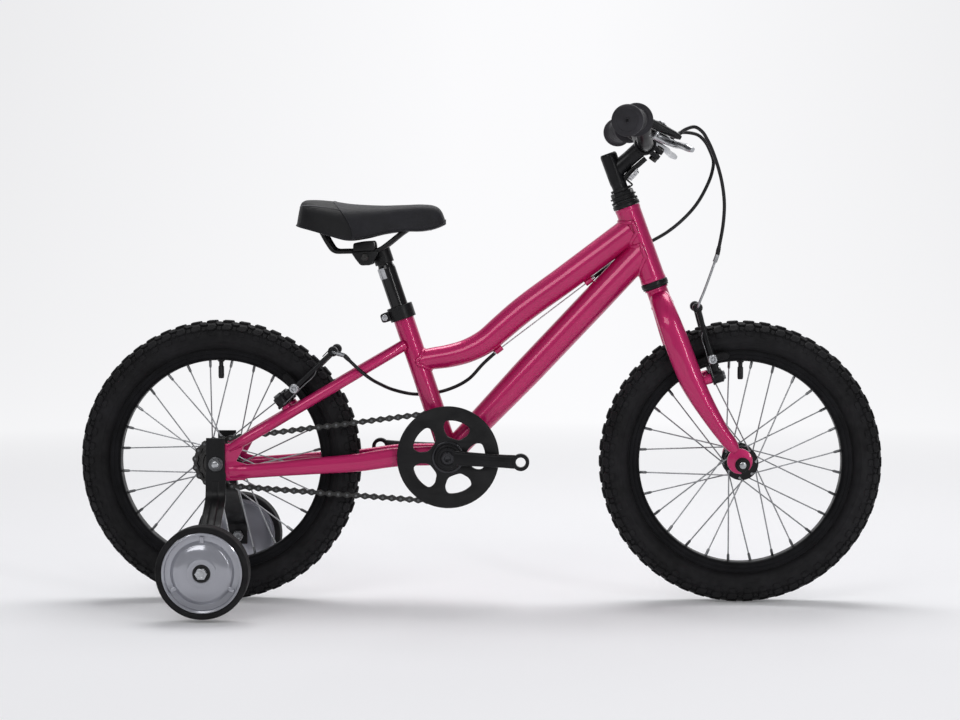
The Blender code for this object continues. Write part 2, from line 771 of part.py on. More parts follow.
def make_chain():
    """Roller chain as one loop: two rows of plates, narrower on every other link, and the rollers."""
    pins = chain_pins()
    count = len(pins)
    bm = bmesh.new()
    sections = []
    for index in range(count):
        start = pins[index]
        end = pins[(index + 1) % count]
        along = (end - start).normalized()
        square = Vector((-along.z, 0, along.x))
        wide = CHAIN_HALF_WIDTH if index % 2 == 0 else CHAIN_HALF_WIDTH - LINK_PLATE
        height = LINK_HALF_HEIGHT if index % 2 == 0 else LINK_HALF_HEIGHT - 0.0005
        for share in (ROLLER_HALF_LENGTH, CHAIN_PITCH - ROLLER_HALF_LENGTH):
            centre = start + along * share - Y_AXIS * CHAIN_LINE
            corners = {}
            for side in (LEFT, RIGHT):
                corners[side] = [bm.verts.new(centre + Y_AXIS * (side * reach) + square * rise)
                                 for reach, rise in ((wide, height), (wide, -height),
                                                     (CHAIN_INSIDE, -height), (CHAIN_INSIDE, height))]
            sections.append(corners)
    total = len(sections)
    for index in range(total):
        here = sections[index]
        there = sections[(index + 1) % total]
        at_pin = index % 2 == 1
        for side in (LEFT, RIGHT):
            for i in range(4):
                j = (i + 1) % 4
                if at_pin and i == 2:
                    continue
                bm.faces.new((here[side][i], here[side][j], there[side][j], there[side][i]))
        if at_pin:
            left = (here[LEFT][2], here[LEFT][3], there[LEFT][3], there[LEFT][2])
            right = (here[RIGHT][2], here[RIGHT][3], there[RIGHT][3], there[RIGHT][2])
            for i in range(4):
                j = (i + 1) % 4
                bm.faces.new((left[i], left[j], right[j], right[i]))
    mesh = bpy.data.meshes.new("chain")
    bm.to_mesh(mesh)
    bm.free()
    finish(object_from("chain", closed(mesh)), "chain", "frame", CHAIN_STEEL, sharp=20)


# Cranks and bottom bracket

def crank_point(side, along, across=0.0, reach=0.0):
    """Point on a crank: along the arm from the spindle, square to it, and out to its side."""
    turn = CRANK_ANGLE if side == RIGHT else CRANK_ANGLE + math.pi
    direction = Vector((math.cos(turn), 0, math.sin(turn)))
    square = Vector((-direction.z, 0, direction.x))
    return BRACKET_CENTRE + direction * along + square * across + Y_AXIS * (side * reach)


def make_crank(name, side):
    """Crank arm with its square taper boss and the threaded eye for a pedal."""
    boss_start = 0.0430 if side == LEFT else GUARD_OFFSET + GUARD_THICKNESS / 2 + GAP
    boss = rod(name, crank_point(side, 0, 0, boss_start), crank_point(side, 0, 0, CRANK_FACE),
               CRANK_BOSS_RADIUS, 12)
    stations = (0.0, 0.020, 0.055, CRANK_LENGTH - 0.006, CRANK_LENGTH)
    depth = CRANK_EYE_THICKNESS / 2
    centres = [crank_point(side, along, 0, CRANK_FACE - depth + (CRANK_EYE_CENTRE - CRANK_FACE + depth)
                           * along / CRANK_LENGTH) for along in stations]
    arm = oval_bar("arm", centres, (0.0108, 0.0102, 0.0096, 0.0098, 0.0080),
                   (depth, depth * 0.95, depth * 0.9, depth * 0.9, depth * 0.8), sides=8, power=3.2)
    eye = rod("eye", crank_point(side, CRANK_LENGTH, 0, CRANK_EYE_CENTRE - CRANK_EYE_THICKNESS / 2),
              crank_point(side, CRANK_LENGTH, 0, CRANK_EYE_CENTRE + CRANK_EYE_THICKNESS / 2),
              CRANK_EYE_RADIUS, 12)
    shapes = [boss, arm, eye]
    if side == RIGHT:
        shapes.append(rod("sleeve", crank_point(side, 0, 0, SHELL_WIDTH / 2 + 0.0040),
                          crank_point(side, 0, 0, boss_start + 0.002), CRANK_SLEEVE_RADIUS, 12))
        shapes.append(rod("collar", crank_point(side, 0, 0, boss_start),
                          crank_point(side, 0, 0, boss_start + 0.0040), 0.0215, 12))
    taper = SPINDLE_SQUARE / 2 + GAP
    inner = SHELL_WIDTH / 2 + 0.003
    square_hole = block("square_hole", (2 * taper, 2 * taper, 2 * CRANK_FACE),
                        frame_at(crank_point(side, 0, 0, inner + CRANK_FACE), Y_AXIS, (1, 0, 0)))
    pedal_hole = rod("pedal_hole", crank_point(side, CRANK_LENGTH, 0, CRANK_EYE_CENTRE - 0.02),
                     crank_point(side, CRANK_LENGTH, 0, CRANK_EYE_CENTRE + 0.02), PEDAL_HOLE_RADIUS, 12)
    finish(cut(fused(shapes), [square_hole, pedal_hole]), name, "crank", BLACK_ALLOY)


def make_spindle():
    """Crank spindle with square ends and the two crank bolts."""
    inner = SHELL_WIDTH / 2 + 0.0038
    shapes = [rod("crank_spindle", BRACKET_CENTRE - Y_AXIS * inner, BRACKET_CENTRE + Y_AXIS * inner,
                  SPINDLE_RADIUS, 10)]
    outer = CRANK_FACE + GAP
    for side in (LEFT, RIGHT):
        middle = (inner + outer) / 2
        length = outer - inner + 0.002
        shapes.append(block("taper", (SPINDLE_SQUARE, SPINDLE_SQUARE, length),
                            frame_at(BRACKET_CENTRE + Y_AXIS * (side * middle), Y_AXIS, (1, 0, 0))))
        shapes.append(rod("bolt_head", BRACKET_CENTRE + Y_AXIS * (side * outer),
                          BRACKET_CENTRE + Y_AXIS * (side * (outer + 0.0040)), 0.0095, 6))
    finish(fused(shapes), "crank_spindle", "crank", BLACK_STEEL)


def make_bottom_bracket():
    """Bearing cartridge with a cup flange against each end of the shell."""
    face = SHELL_WIDTH / 2 + GAP
    body_radius = SHELL_BORE - GAP
    bore = clear_bore(SPINDLE_RADIUS, 10)
    profile = [
        (bore, face + 0.0022),
        (SHELL_RADIUS - 0.001, face + 0.0022),
        (SHELL_RADIUS - 0.001, face),
        (body_radius, face),
        (body_radius, -face),
        (SHELL_RADIUS - 0.001, -face),
        (SHELL_RADIUS - 0.001, -face - 0.0022),
        (bore, -face - 0.0022),
    ]
    shape = turned("bottom_bracket", profile, 10, frame_at(BRACKET_CENTRE, Y_AXIS, DOWN), ring=True)
    finish(shape, "bottom_bracket", "frame", BLACK_STEEL)


# Frame

# Centreline of the curved top tube: its ends, and (share of the way forward, z, radius)
TOP_TUBE_FRONT = FRONT_AXLE.x - 0.1575
TOP_TUBE_REAR = REAR_AXLE.x + 0.2795
TOP_TUBE_ROUTE = (
    (1.0000, 0.5333, 0.0198),
    (0.7140, 0.4671, 0.0196),
    (0.4666, 0.4104, 0.0190),
    (0.3994, 0.3925, 0.0186),
    (0.3279, 0.3738, 0.0180),
    (0.2425, 0.3601, 0.0172),
    (0.1490, 0.3522, 0.0165),
    (0.0734, 0.3486, 0.0158),
    (0.0000, 0.3430, 0.0152),
)
DOWN_TUBE_ON_AXIS = 0.0465
DOWN_TUBE_ROUTE = ((0.0, 0.0172), (0.15, 0.0180), (0.40, 0.0208), (0.75, 0.0210), (1.0, 0.0202))

# Right stays as (forward of the rear axle, sideways, above it); the chain stay has its half depth too
SEAT_STAY_ROUTE = (
    (0.0280, 0.0575, 0.0269),
    (0.0705, 0.0545, 0.0520),
    (0.0975, 0.0470, 0.0680),
    (0.1718, 0.0375, 0.1119),
    (0.2225, 0.0270, 0.1418),
    (0.2605, 0.0165, 0.1642),
    (0.2725, 0.0135, 0.1713),
)
CHAIN_STAY_ROUTE = (
    (0.0422, 0.0575, -0.0109, 0.0100),
    (0.0725, 0.0530, -0.0088, 0.0104),
    (0.1325, 0.0440, -0.0046, 0.0118),
    (0.2025, 0.0340, 0.0002, 0.0130),
    (0.2525, 0.0275, 0.0068, 0.0136),
    (0.3165, 0.0210, 0.0088, 0.0138),
)
STAY_BRIDGE_RADIUS = 0.0060
SEAT_STAY_BRIDGE = (0.2005, 0.1286)
CHAIN_STAY_BRIDGE = (0.2205, 0.0006)
SEAT_STAY_BRIDGE_REACH = 0.0310
CHAIN_STAY_BRIDGE_REACH = 0.0320

# Fork blade as (place along the steering axis, forward of it, sideways, half depth, half width)
FORK_BLADE_ROUTE = (
    (-0.0220, 0.0, 0.0080, 0.0142, 0.0090),
    (-0.0380, 0.0, 0.0270, 0.0150, 0.0105),
    (-0.0570, 0.0, 0.0390, 0.0160, 0.0105),
    (-0.0900, 0.0, 0.0440, 0.0175, 0.0105),
    (-0.1400, 0.0012, 0.0460, 0.0172, 0.0103),
    (-0.1750, 0.0050, 0.0470, 0.0152, 0.0100),
    (-0.2050, 0.0105, 0.0480, 0.0130, 0.0092),
    (-0.2350, 0.0175, 0.0495, 0.0106, 0.0080),
    (-0.2620, 0.0255, 0.0505, 0.0088, 0.0068),
)

# Half of the handlebar from its middle out to the straight part, as (forward of the front axle,
# sideways, above the lower end of the head tube)
BAR_BEND = (
    (-0.1375, 0.0, 0.1948),
    (-0.1375, 0.0270, 0.1948),
    (-0.1390, 0.0440, 0.1968),
    (-0.1415, 0.0620, 0.2038),
    (-0.1442, 0.0820, 0.2143),
    (-0.1463, 0.0970, 0.2223),
)
BAR_GRIP_START = (-0.1480, 0.1120, 0.2259)
BAR_END = (-0.1703, 0.2490, 0.2198)

# Saddle as (forward of the clamp bolt, half width, top above the bolt, bottom above it), tail to nose
SADDLE_SHAPE = (
    (SADDLE_REAR, 0.0330, 0.0725, 0.0555),
    (-0.0935, 0.0480, 0.0780, 0.0485),
    (-0.0820, 0.0650, 0.0820, 0.0425),
    (-0.0520, 0.0740, 0.0815, 0.0365),
    (-0.0170, 0.0620, 0.0785, 0.0285),
    (0.0130, 0.0440, 0.0765, 0.0270),
    (0.0480, 0.0300, 0.0755, 0.0325),
    (0.0830, 0.0245, 0.0750, 0.0365),
    (0.1030, 0.0215, 0.0725, 0.0405),
    (0.1120, 0.0160, 0.0680, 0.0465),
    (SADDLE_NOSE, 0.0090, 0.0635, 0.0515),
)
CLAMP_DRUM_RADIUS = 0.0110
CLAMP_CAP_RADIUS = 0.0150
GROOVE_REACH = 0.0350
RAIL_ROUTE = (
    (-0.0660, 0.0300, 0.0445),
    (-0.0610, 0.0280, 0.0305),
    (-0.0530, 0.0240, 0.0155),
    (-0.0420, 0.0220, RAIL_ABOVE_BOLT),
    (0.0230, 0.0220, RAIL_ABOVE_BOLT),
    (0.0350, 0.0215, 0.0120),
    (0.0510, 0.0195, 0.0260),
    (0.0610, 0.0170, 0.0297),
    (0.0750, 0.0140, 0.0310),
    (0.0840, 0.0095, 0.0317),
    (0.0875, 0.0, 0.0317),
)


def behind(points, mirror=1):
    """Points measured from the rear axle, on the left side or mirrored to the right."""
    return [REAR_AXLE + Vector((p[0], mirror * p[1], p[2])) for p in points]


def ahead(point, mirror=1):
    """Point measured forward of the front axle and above the lower end of the head tube."""
    return Vector((FRONT_AXLE.x + point[0], mirror * point[1], HEAD_TUBE_BOTTOM + point[2]))


def on_top_tube(share, height):
    """Point in the middle plane at a share of the top tube's run from the seat tube forward."""
    return Vector((TOP_TUBE_REAR + (TOP_TUBE_FRONT - TOP_TUBE_REAR) * share, 0, height))


CLAMP_BOLT = on_seat_tube(SEATPOST_TOP) - Vector((CLAMP_BEHIND_POST, 0, CLAMP_BELOW_POST_TOP))


def on_saddle(forward, side, rise):
    """Point measured from the clamp bolt of the saddle."""
    return CLAMP_BOLT + Vector((forward, side, rise))


def brake_frame(axle, radius, angle, arm_angle, outward):
    """Origin and directions of a rim brake: its boss, the way its arms stand and their pivots."""
    origin = axle + Vector((radius * math.cos(angle), 0, radius * math.sin(angle)))
    arm = Vector((math.cos(arm_angle), 0, math.sin(arm_angle)))
    return origin, arm, Vector((arm.z, 0, -arm.x)) * outward


BRAKE_BOSS_RADIUS = BEAD_SEAT_RADIUS - PAD_HEIGHT_ON_ARM
FRONT_BRAKE = brake_frame(FRONT_AXLE, BRAKE_BOSS_RADIUS + 0.002, math.radians(106.0), math.radians(106.0), 1)
REAR_BRAKE = brake_frame(REAR_AXLE, BRAKE_BOSS_RADIUS, math.radians(44.0), math.radians(38.5), -1)
BRAKE_ARM_ROUTE = ((0.0, 0.0400), (0.25, 0.0385), (0.60, 0.0365), (0.84, 0.0340), (1.0, 0.0315))
BRAKE_POST_SPREAD = BRAKE_ARM_ROUTE[0][1]
BRAKE_BOSS_HALF = 0.0080


def brake_point(brake, up=0.0, out=0.0, side=0.0):
    """Point of a rim brake: up the arm from the boss, out along the pivot and sideways."""
    origin, arm, pivot = brake
    return origin + arm * up + pivot * out + Y_AXIS * side


def brake_post(brake, side, root):
    """Post for a brake arm, standing on a shoulder that reaches back to the stay or blade."""
    lateral = side * BRAKE_POST_SPREAD
    shoulder = -BRAKE_BOSS_HALF - GAP
    return [
        rod("shoulder", brake_point(brake, 0, -root, lateral), brake_point(brake, 0, shoulder, lateral),
            BRAKE_POST_RADIUS + 0.0022, 6),
        rod("post", brake_point(brake, 0, shoulder - 0.002, lateral),
            brake_point(brake, 0, BRAKE_BOSS_HALF - 0.003, lateral), BRAKE_POST_RADIUS, 6),
    ]


def slotted_dropout(side):
    """Rear dropout plate with its slot open to the rear."""
    slot = AXLE_RADIUS + 2 * GAP
    outline = ((0.0350, 0.0283), (0.0105, 0.0283), (-0.0110, 0.0165), (-0.0145, slot + 0.002),
               (-0.0145, slot), (0.0040, slot), (0.0070, 0.0030), (0.0070, -0.0030), (0.0040, -slot),
               (-0.0145, -slot),
               (-0.0130, -0.0130), (0.0020, -0.0248), (0.0420, -0.0248), (0.0420, 0.0))
    middle = (REAR_DROPOUT_INNER + REAR_DROPOUT_OUTER) / 2
    return plate("dropout", [outline], REAR_DROPOUT_THICKNESS,
                 plane_at(REAR_AXLE + Y_AXIS * (side * middle), (1, 0, 0), (0, 0, 1)))


# Cable stops under the top tube: the bare wire runs straight between them
FRONT_STOP = on_top_tube(0.80682, 0.4600)
REAR_STOP = on_top_tube(0.38961, 0.3620)
WIRE_BACK = (REAR_STOP - FRONT_STOP).normalized()
STOP_HALF = 0.0060
STOP_RADIUS = 0.0042


def make_frame():
    """Welded frame: tubes, stays, dropouts, brake posts and the stops of the brake cable."""
    head_top = on_steering_axis(HEAD_TUBE_LENGTH)
    shapes = [
        rod("frame", HEAD_BOTTOM, head_top, HEAD_TUBE_RADIUS, 14),
        tube("top_tube", [on_top_tube(share, z) for share, z, radius in TOP_TUBE_ROUTE], 1.0,
             [radius for share, z, radius in TOP_TUBE_ROUTE], 3),
        rod("shell", BRACKET_CENTRE - Y_AXIS * SHELL_WIDTH / 2, BRACKET_CENTRE + Y_AXIS * SHELL_WIDTH / 2,
            SHELL_RADIUS, 14),
        rod("seat_tube", BRACKET_CENTRE, on_seat_tube(SEAT_TUBE_TOP), SEAT_TUBE_RADIUS, 14),
    ]
    down_end = on_steering_axis(DOWN_TUBE_ON_AXIS)
    down_points = [BRACKET_CENTRE.lerp(down_end, share) for share, radius in DOWN_TUBE_ROUTE]
    shapes.append(tube("down_tube", down_points, 1.0, [radius for share, radius in DOWN_TUBE_ROUTE], 3))
    for side in (LEFT, RIGHT):
        shapes.append(tube("seat_stay", behind(SEAT_STAY_ROUTE, side), SEAT_STAY_RADIUS))
        shapes.append(oval_bar("chain_stay", behind(CHAIN_STAY_ROUTE, side), [p[3] for p in CHAIN_STAY_ROUTE],
                               [CHAIN_STAY_HALF_WIDTH] * len(CHAIN_STAY_ROUTE), 8))
        shapes.append(slotted_dropout(side))
        shapes.extend(brake_post(REAR_BRAKE, side, 0.0210))
    for (x, z), reach in ((SEAT_STAY_BRIDGE, SEAT_STAY_BRIDGE_REACH),
                          (CHAIN_STAY_BRIDGE, CHAIN_STAY_BRIDGE_REACH)):
        start, end = behind(((x, -reach, z), (x, reach, z)))
        shapes.append(rod("bridge", start, end, STAY_BRIDGE_RADIUS, 8))
    for stop in (FRONT_STOP, REAR_STOP):
        shapes.append(rod("stop", stop - WIRE_BACK * STOP_HALF, stop + WIRE_BACK * STOP_HALF, STOP_RADIUS, 6))
    frame = fused(shapes)
    bores = [
        rod("head_bore", on_steering_axis(-0.01), on_steering_axis(HEAD_TUBE_LENGTH + 0.01),
            HEAD_TUBE_BORE, 14),
        rod("shell_bore", BRACKET_CENTRE - Y_AXIS * SHELL_WIDTH, BRACKET_CENTRE + Y_AXIS * SHELL_WIDTH,
            SHELL_BORE, 10, side=DOWN),
        rod("seat_bore", on_seat_tube(SEAT_TUBE_TOP - SEATPOST_INSERT - SEATPOST_TRAVEL_DOWN),
            on_seat_tube(SEAT_TUBE_TOP + 0.01), SEATPOST_RADIUS + 2 * GAP, 14),
    ]
    for stop in (FRONT_STOP, REAR_STOP):
        past = WIRE_BACK * (STOP_HALF + 0.004)
        bores.append(rod("wire_hole", stop - past, stop + past, WIRE_RADIUS + 2 * GAP, 4))
    finish(cut(frame, bores), "frame", "frame", PAINT)


def make_seat_collar():
    """Split collar round the top of the seat tube, with its ear and bolt behind."""
    middle = on_seat_tube(SEAT_TUBE_TOP - COLLAR_HEIGHT * 0.4)
    start = middle - SEAT_UP * COLLAR_HEIGHT / 2
    end = middle + SEAT_UP * COLLAR_HEIGHT / 2
    ear = COLLAR_EAR_REACH
    shapes = [
        rod("seat_collar", start, end, COLLAR_RADIUS, 14),
        block("ear", (ear, 0.0150, 0.0140), frame_at(middle - Vector((ear / 2, 0, 0)), SEAT_UP, (1, 0, 0))),
    ]
    collar = cut(fused(shapes), [
        rod("bore", start - SEAT_UP * 0.01, end + SEAT_UP * 0.01, SEAT_TUBE_RADIUS + 2 * GAP, 14),
        block("slit", (ear * 2, 0.0016, COLLAR_HEIGHT * 2),
              frame_at(middle - Vector((ear + 0.010, 0, 0)), SEAT_UP, (1, 0, 0))),
    ])
    bolt = middle - Vector((ear - 0.0055, 0, 0))
    finish(fused([collar, rod("bolt", bolt - Y_AXIS * 0.0110, bolt + Y_AXIS * 0.0110, 0.0042, 6)]),
           "seat_collar", "frame", BLACK_ALLOY)


# Headset, fork and steering

def make_headset():
    """Pressed cups at both ends of the head tube, and the locknut stack above."""
    bore = STEERER_RADIUS + 2 * GAP
    insert = HEAD_TUBE_BORE - GAP
    lower = [
        (bore, CUP_INSERT),
        (insert, CUP_INSERT),
        (insert, -GAP),
        (HEADSET_RADIUS, -GAP),
        (HEADSET_RADIUS, -LOWER_CUP_HEIGHT),
        (bore, -LOWER_CUP_HEIGHT),
    ]
    upper = [
        (bore, UPPER_CUP_HEIGHT),
        (HEADSET_RADIUS, UPPER_CUP_HEIGHT),
        (HEADSET_RADIUS, GAP),
        (insert, GAP),
        (insert, -CUP_INSERT),
        (bore, -CUP_INSERT),
    ]
    base = UPPER_CUP_HEIGHT + GAP
    locknut = [
        (bore, base),
        (HEADSET_RADIUS - 0.0004, base),
        (HEADSET_RADIUS - 0.0004, base + 0.0030),
        (HEADSET_RADIUS - 0.0030, base + 0.0040),
        (HEADSET_RADIUS - 0.0006, base + 0.0068),
        (HEADSET_RADIUS - 0.0006, base + 0.0090),
        (HEADSET_RADIUS - 0.0030, base + 0.0092),
        (HEADSET_RADIUS - 0.0030, base + LOCKNUT_HEIGHT),
        (bore, base + LOCKNUT_HEIGHT),
    ]
    lower_place = frame_at(HEAD_BOTTOM, STEER_UP, (1, 0, 0))
    upper_place = frame_at(on_steering_axis(HEAD_TUBE_LENGTH), STEER_UP, (1, 0, 0))
    finish(turned("headset_lower_cup", lower, 14, lower_place, ring=True), "headset_lower_cup", "frame",
           BLACK_ALLOY)
    finish(turned("headset_upper_cup", upper, 14, upper_place, ring=True), "headset_upper_cup", "frame",
           BLACK_ALLOY)
    finish(turned("headset_locknut", locknut, 14, upper_place, ring=True), "headset_locknut", "steer",
           BLACK_ALLOY)


def make_fork():
    """Unicrown fork: steerer, crown race, two blades with dropouts, and the brake posts."""
    race_top = -LOWER_CUP_HEIGHT - GAP
    shapes = [
        rod("fork", on_steering_axis(-0.030), on_steering_axis(STEERER_TOP), STEERER_RADIUS, 12,
            side=(1, 0, 0)),
        rod("race", on_steering_axis(race_top - 0.0025), on_steering_axis(race_top), 0.0172, 12),
        rod("crown", on_steering_axis(-0.0370), on_steering_axis(race_top - 0.0020), 0.0152, 12),
    ]
    dropout = FRONT_AXLE + STEER_UP * 0.0055 + Vector((-0.0020, 0, 0.0))
    outline = circle(FORK_DROPOUT_RADIUS, 12)
    for side in (LEFT, RIGHT):
        blade = FORK_BLADE_ROUTE
        shapes.append(oval_bar("blade", [on_steering_axis(b[0], b[1], side * b[2]) for b in blade],
                               [b[3] for b in blade], [b[4] for b in blade], 8))
        middle = (FORK_DROPOUT_INNER + FORK_DROPOUT_OUTER) / 2
        shapes.append(plate("dropout", [outline], FORK_DROPOUT_THICKNESS,
                            plane_at(dropout + Y_AXIS * (side * middle), (1, 0, 0), (0, 0, 1))))
        shapes.extend(brake_post(FRONT_BRAKE, side, 0.0330))
    fork = fused(shapes)
    slot = AXLE_RADIUS + 2 * GAP
    bores = [rod("quill_bore", on_steering_axis(-0.004), on_steering_axis(STEERER_TOP + 0.01),
                 QUILL_RADIUS + 2 * GAP, 12)]
    for side in (LEFT, RIGHT):
        middle = side * (FORK_DROPOUT_INNER + FORK_DROPOUT_OUTER) / 2
        reach = FORK_DROPOUT_THICKNESS
        bores.append(block("slot", (2 * slot, 2 * reach, 2 * FORK_SLOT_REACH),
                           frame_at(FRONT_AXLE + Y_AXIS * middle - STEER_UP * FORK_SLOT_REACH, STEER_UP,
                                    STEER_FORWARD)))
        bores.append(rod("slot_end", FRONT_AXLE + Y_AXIS * (middle - reach),
                         FRONT_AXLE + Y_AXIS * (middle + reach), slot, 8))
    finish(cut(fork, bores), "fork", "steer", PAINT)


def bar_clamp_centre():
    return ahead(BAR_BEND[0])


def make_stem():
    """Quill stem: quill with its expander bolt, extension, split clamp with ears and its bolt."""
    top = on_steering_axis(STEM_TOP)
    clamp = bar_clamp_centre()
    half = STEM_CLAMP_WIDTH / 2
    join = on_steering_axis(STEM_JOIN)
    ear_way = Vector((0.81, 0, -0.586))
    ear_square = Vector((0.586, 0, 0.81))
    shapes = [
        rod("stem", on_steering_axis(STEERER_TOP - 0.060), top - STEER_UP * 0.0015, QUILL_RADIUS, 12),
        rod("shoulder", on_steering_axis(STEM_JOIN - 0.020), top, QUILL_RADIUS + 0.0009, 12),
        oval_bar("extension", [join, join.lerp(clamp, 0.5), clamp], (0.0120, 0.0110, 0.0115),
                 (0.0105, 0.0110, 0.0160), 8),
        rod("clamp", clamp - Y_AXIS * half, clamp + Y_AXIS * half, STEM_CLAMP_RADIUS, 12),
        block("ears", (0.0260, half * 1.2, 0.0150),
              frame_at(clamp + ear_way * 0.0150, ear_square, ear_way)),
    ]
    stem = cut(fused(shapes), [
        rod("bore", clamp - Y_AXIS * (half + 0.01), clamp + Y_AXIS * (half + 0.01), BAR_RADIUS + 2 * GAP, 12),
        block("slit", (0.0400, half * 3, 0.0018), frame_at(clamp + ear_way * 0.0250, ear_square, ear_way)),
        rod("recess", top - STEER_UP * 0.004, top + STEER_UP * 0.01, 0.0062, 6),
    ])
    ears = clamp + ear_way * 0.0215
    bolts = [
        rod("bolt", ears - ear_square * 0.0120, ears + ear_square * 0.0090, 0.0036, 6),
        rod("bolt_head", ears - ear_square * 0.0130, ears - ear_square * 0.0072, 0.0060, 6),
        rod("expander", top - STEER_UP * 0.006, top - STEER_UP * 0.0010, 0.0050, 6),
    ]
    finish(fused([stem] + bolts), "stem", "steer", BLACK_ALLOY)


def bar_point(side, reach):
    """Point on the straight part of the handlebar at a sideways distance."""
    start = ahead(BAR_GRIP_START)
    end = ahead(BAR_END)
    point = start + (end - start) * ((reach - start.y) / (end.y - start.y))
    return Vector((point.x, side * point.y, point.z))


def make_handlebar():
    """Low-rise bar, swept back, in one bent tube."""
    half = [ahead(p) for p in BAR_BEND + (BAR_GRIP_START,)]
    right = [ahead(p, RIGHT) for p in BAR_BEND[1:] + (BAR_GRIP_START,)][::-1]
    route = [bar_point(RIGHT, BAR_END[1])] + right + half + [bar_point(LEFT, BAR_END[1])]
    finish(tube("handlebar", route, BAR_RADIUS, resolution=3), "handlebar", "steer", BLACK_ALLOY)


def make_grip(name, side):
    """Rubber grip with a flange at the inner end and a rounded guard at the outer one."""
    bore = BAR_RADIUS + 2 * GAP
    length = GRIP_LENGTH
    floor = length - 0.0035
    profile = [
        (bore, 0),
        (0.0240, 0),
        (0.0240, 0.0030),
        (GRIP_RADIUS, 0.0060),
        (GRIP_RADIUS, length - 0.0170),
        (GRIP_END_RADIUS, length - 0.0090),
        (GRIP_END_RADIUS, length - 0.0030),
        (GRIP_END_RADIUS - 0.0040, length),
        (0.0020, length),
        (0.0020, floor),
        (bore, floor),
    ]
    end = bar_point(side, BAR_END[1])
    inner = bar_point(side, 0.120)
    outward = (end - inner).normalized()
    start = end - outward * (floor - GAP)
    finish(turned(name, profile, 12, frame_at(start, outward, (0, 0, 1)), ring=True), name, "steer",
           GRIP_RUBBER)


# Brake levers: places are measured forward of the bar, above the lever's plane and sideways

LEVER_FORWARD = Vector((0.891, 0, -0.454))
LEVER_UP = Vector((0.454, 0, 0.891))
LEVER_BAR_REACH = 0.1250
LEVER_PIVOT = (0.0300, 0.1160)
LEVER_BLADE = (
    (0.0300, 0.1160, 0.0062),
    (0.0420, 0.1200, 0.0060),
    (0.0550, 0.1300, 0.0052),
    (0.0610, 0.1450, 0.0048),
    (0.0635, 0.1700, 0.0046),
    (0.0680, 0.1950, 0.0046),
    (0.0750, 0.2160, 0.0048),
    (0.0800, 0.2260, 0.0040),
)


def lever_point(side, forward, up, reach):
    centre = bar_point(side, LEVER_BAR_REACH)
    centre.y = side * reach
    return centre + LEVER_FORWARD * forward + LEVER_UP * up


def make_lever_bracket(name, side):
    """Clamp round the bar, the body that carries the lever's pin, and the cable's barrel."""
    centre = bar_point(side, 0.1300)
    along = (bar_point(side, 0.14) - bar_point(side, 0.12)).normalized()
    stations = ((0.0120, 0.1210), (0.0300, 0.1160), (0.0520, 0.1130), (0.0620, 0.1130))
    body_centres = [lever_point(side, forward, 0.0040, reach) for forward, reach in stations]
    shapes = [
        rod(name, centre - along * 0.0075, centre + along * 0.0075, 0.0150, 10),
        oval_bar("housing", body_centres, (0.0052, 0.0055, 0.0050, 0.0035),
                 (0.0110, 0.0135, 0.0110, 0.0080), 8, power=2.6),
        rod("barrel", lever_point(side, 0.0540, 0.0040, 0.1060), lever_point(side, 0.0575, 0.0065, 0.0900),
            0.0046, 6),
        rod("pin", lever_point(side, LEVER_PIVOT[0], -0.0150, LEVER_PIVOT[1]),
            lever_point(side, LEVER_PIVOT[0], 0.0030, LEVER_PIVOT[1]), 0.0025, 6),
        rod("pin_head", lever_point(side, LEVER_PIVOT[0], -0.0170, LEVER_PIVOT[1]),
            lever_point(side, LEVER_PIVOT[0], -0.0147, LEVER_PIVOT[1]), 0.0048, 6),
    ]
    bores = [rod("bore", centre - along * 0.05, centre + along * 0.05, BAR_RADIUS + 2 * GAP, 10)]
    finish(cut(fused(shapes), bores), name, "steer", BLACK_PLASTIC)


def make_lever(name, side):
    """Two-finger blade turning on the bracket's pin, below the bracket's body."""
    level = -0.0086
    half = 0.0052
    blade = [lever_point(side, forward, level, reach) for forward, reach, depth in LEVER_BLADE]
    shapes = [
        rod(name, lever_point(side, LEVER_PIVOT[0], level - half - 0.0003, LEVER_PIVOT[1]),
            lever_point(side, LEVER_PIVOT[0], level + half, LEVER_PIVOT[1]), 0.0075, 8),
        oval_bar("blade", blade, [depth for forward, reach, depth in LEVER_BLADE],
                 (half * 0.96, half * 0.96, half * 0.92, half * 0.88, half * 0.85, half * 0.85, half * 0.9,
                  half * 0.7), 6, across=LEVER_UP, power=2.6),
    ]
    bore = rod("bore", lever_point(side, LEVER_PIVOT[0], -0.03, LEVER_PIVOT[1]),
               lever_point(side, LEVER_PIVOT[0], 0.01, LEVER_PIVOT[1]), 0.0025 + 2 * GAP, 6)
    finish(cut(fused(shapes), [bore]), name, name, BRIGHT_STEEL)


# Rim brakes

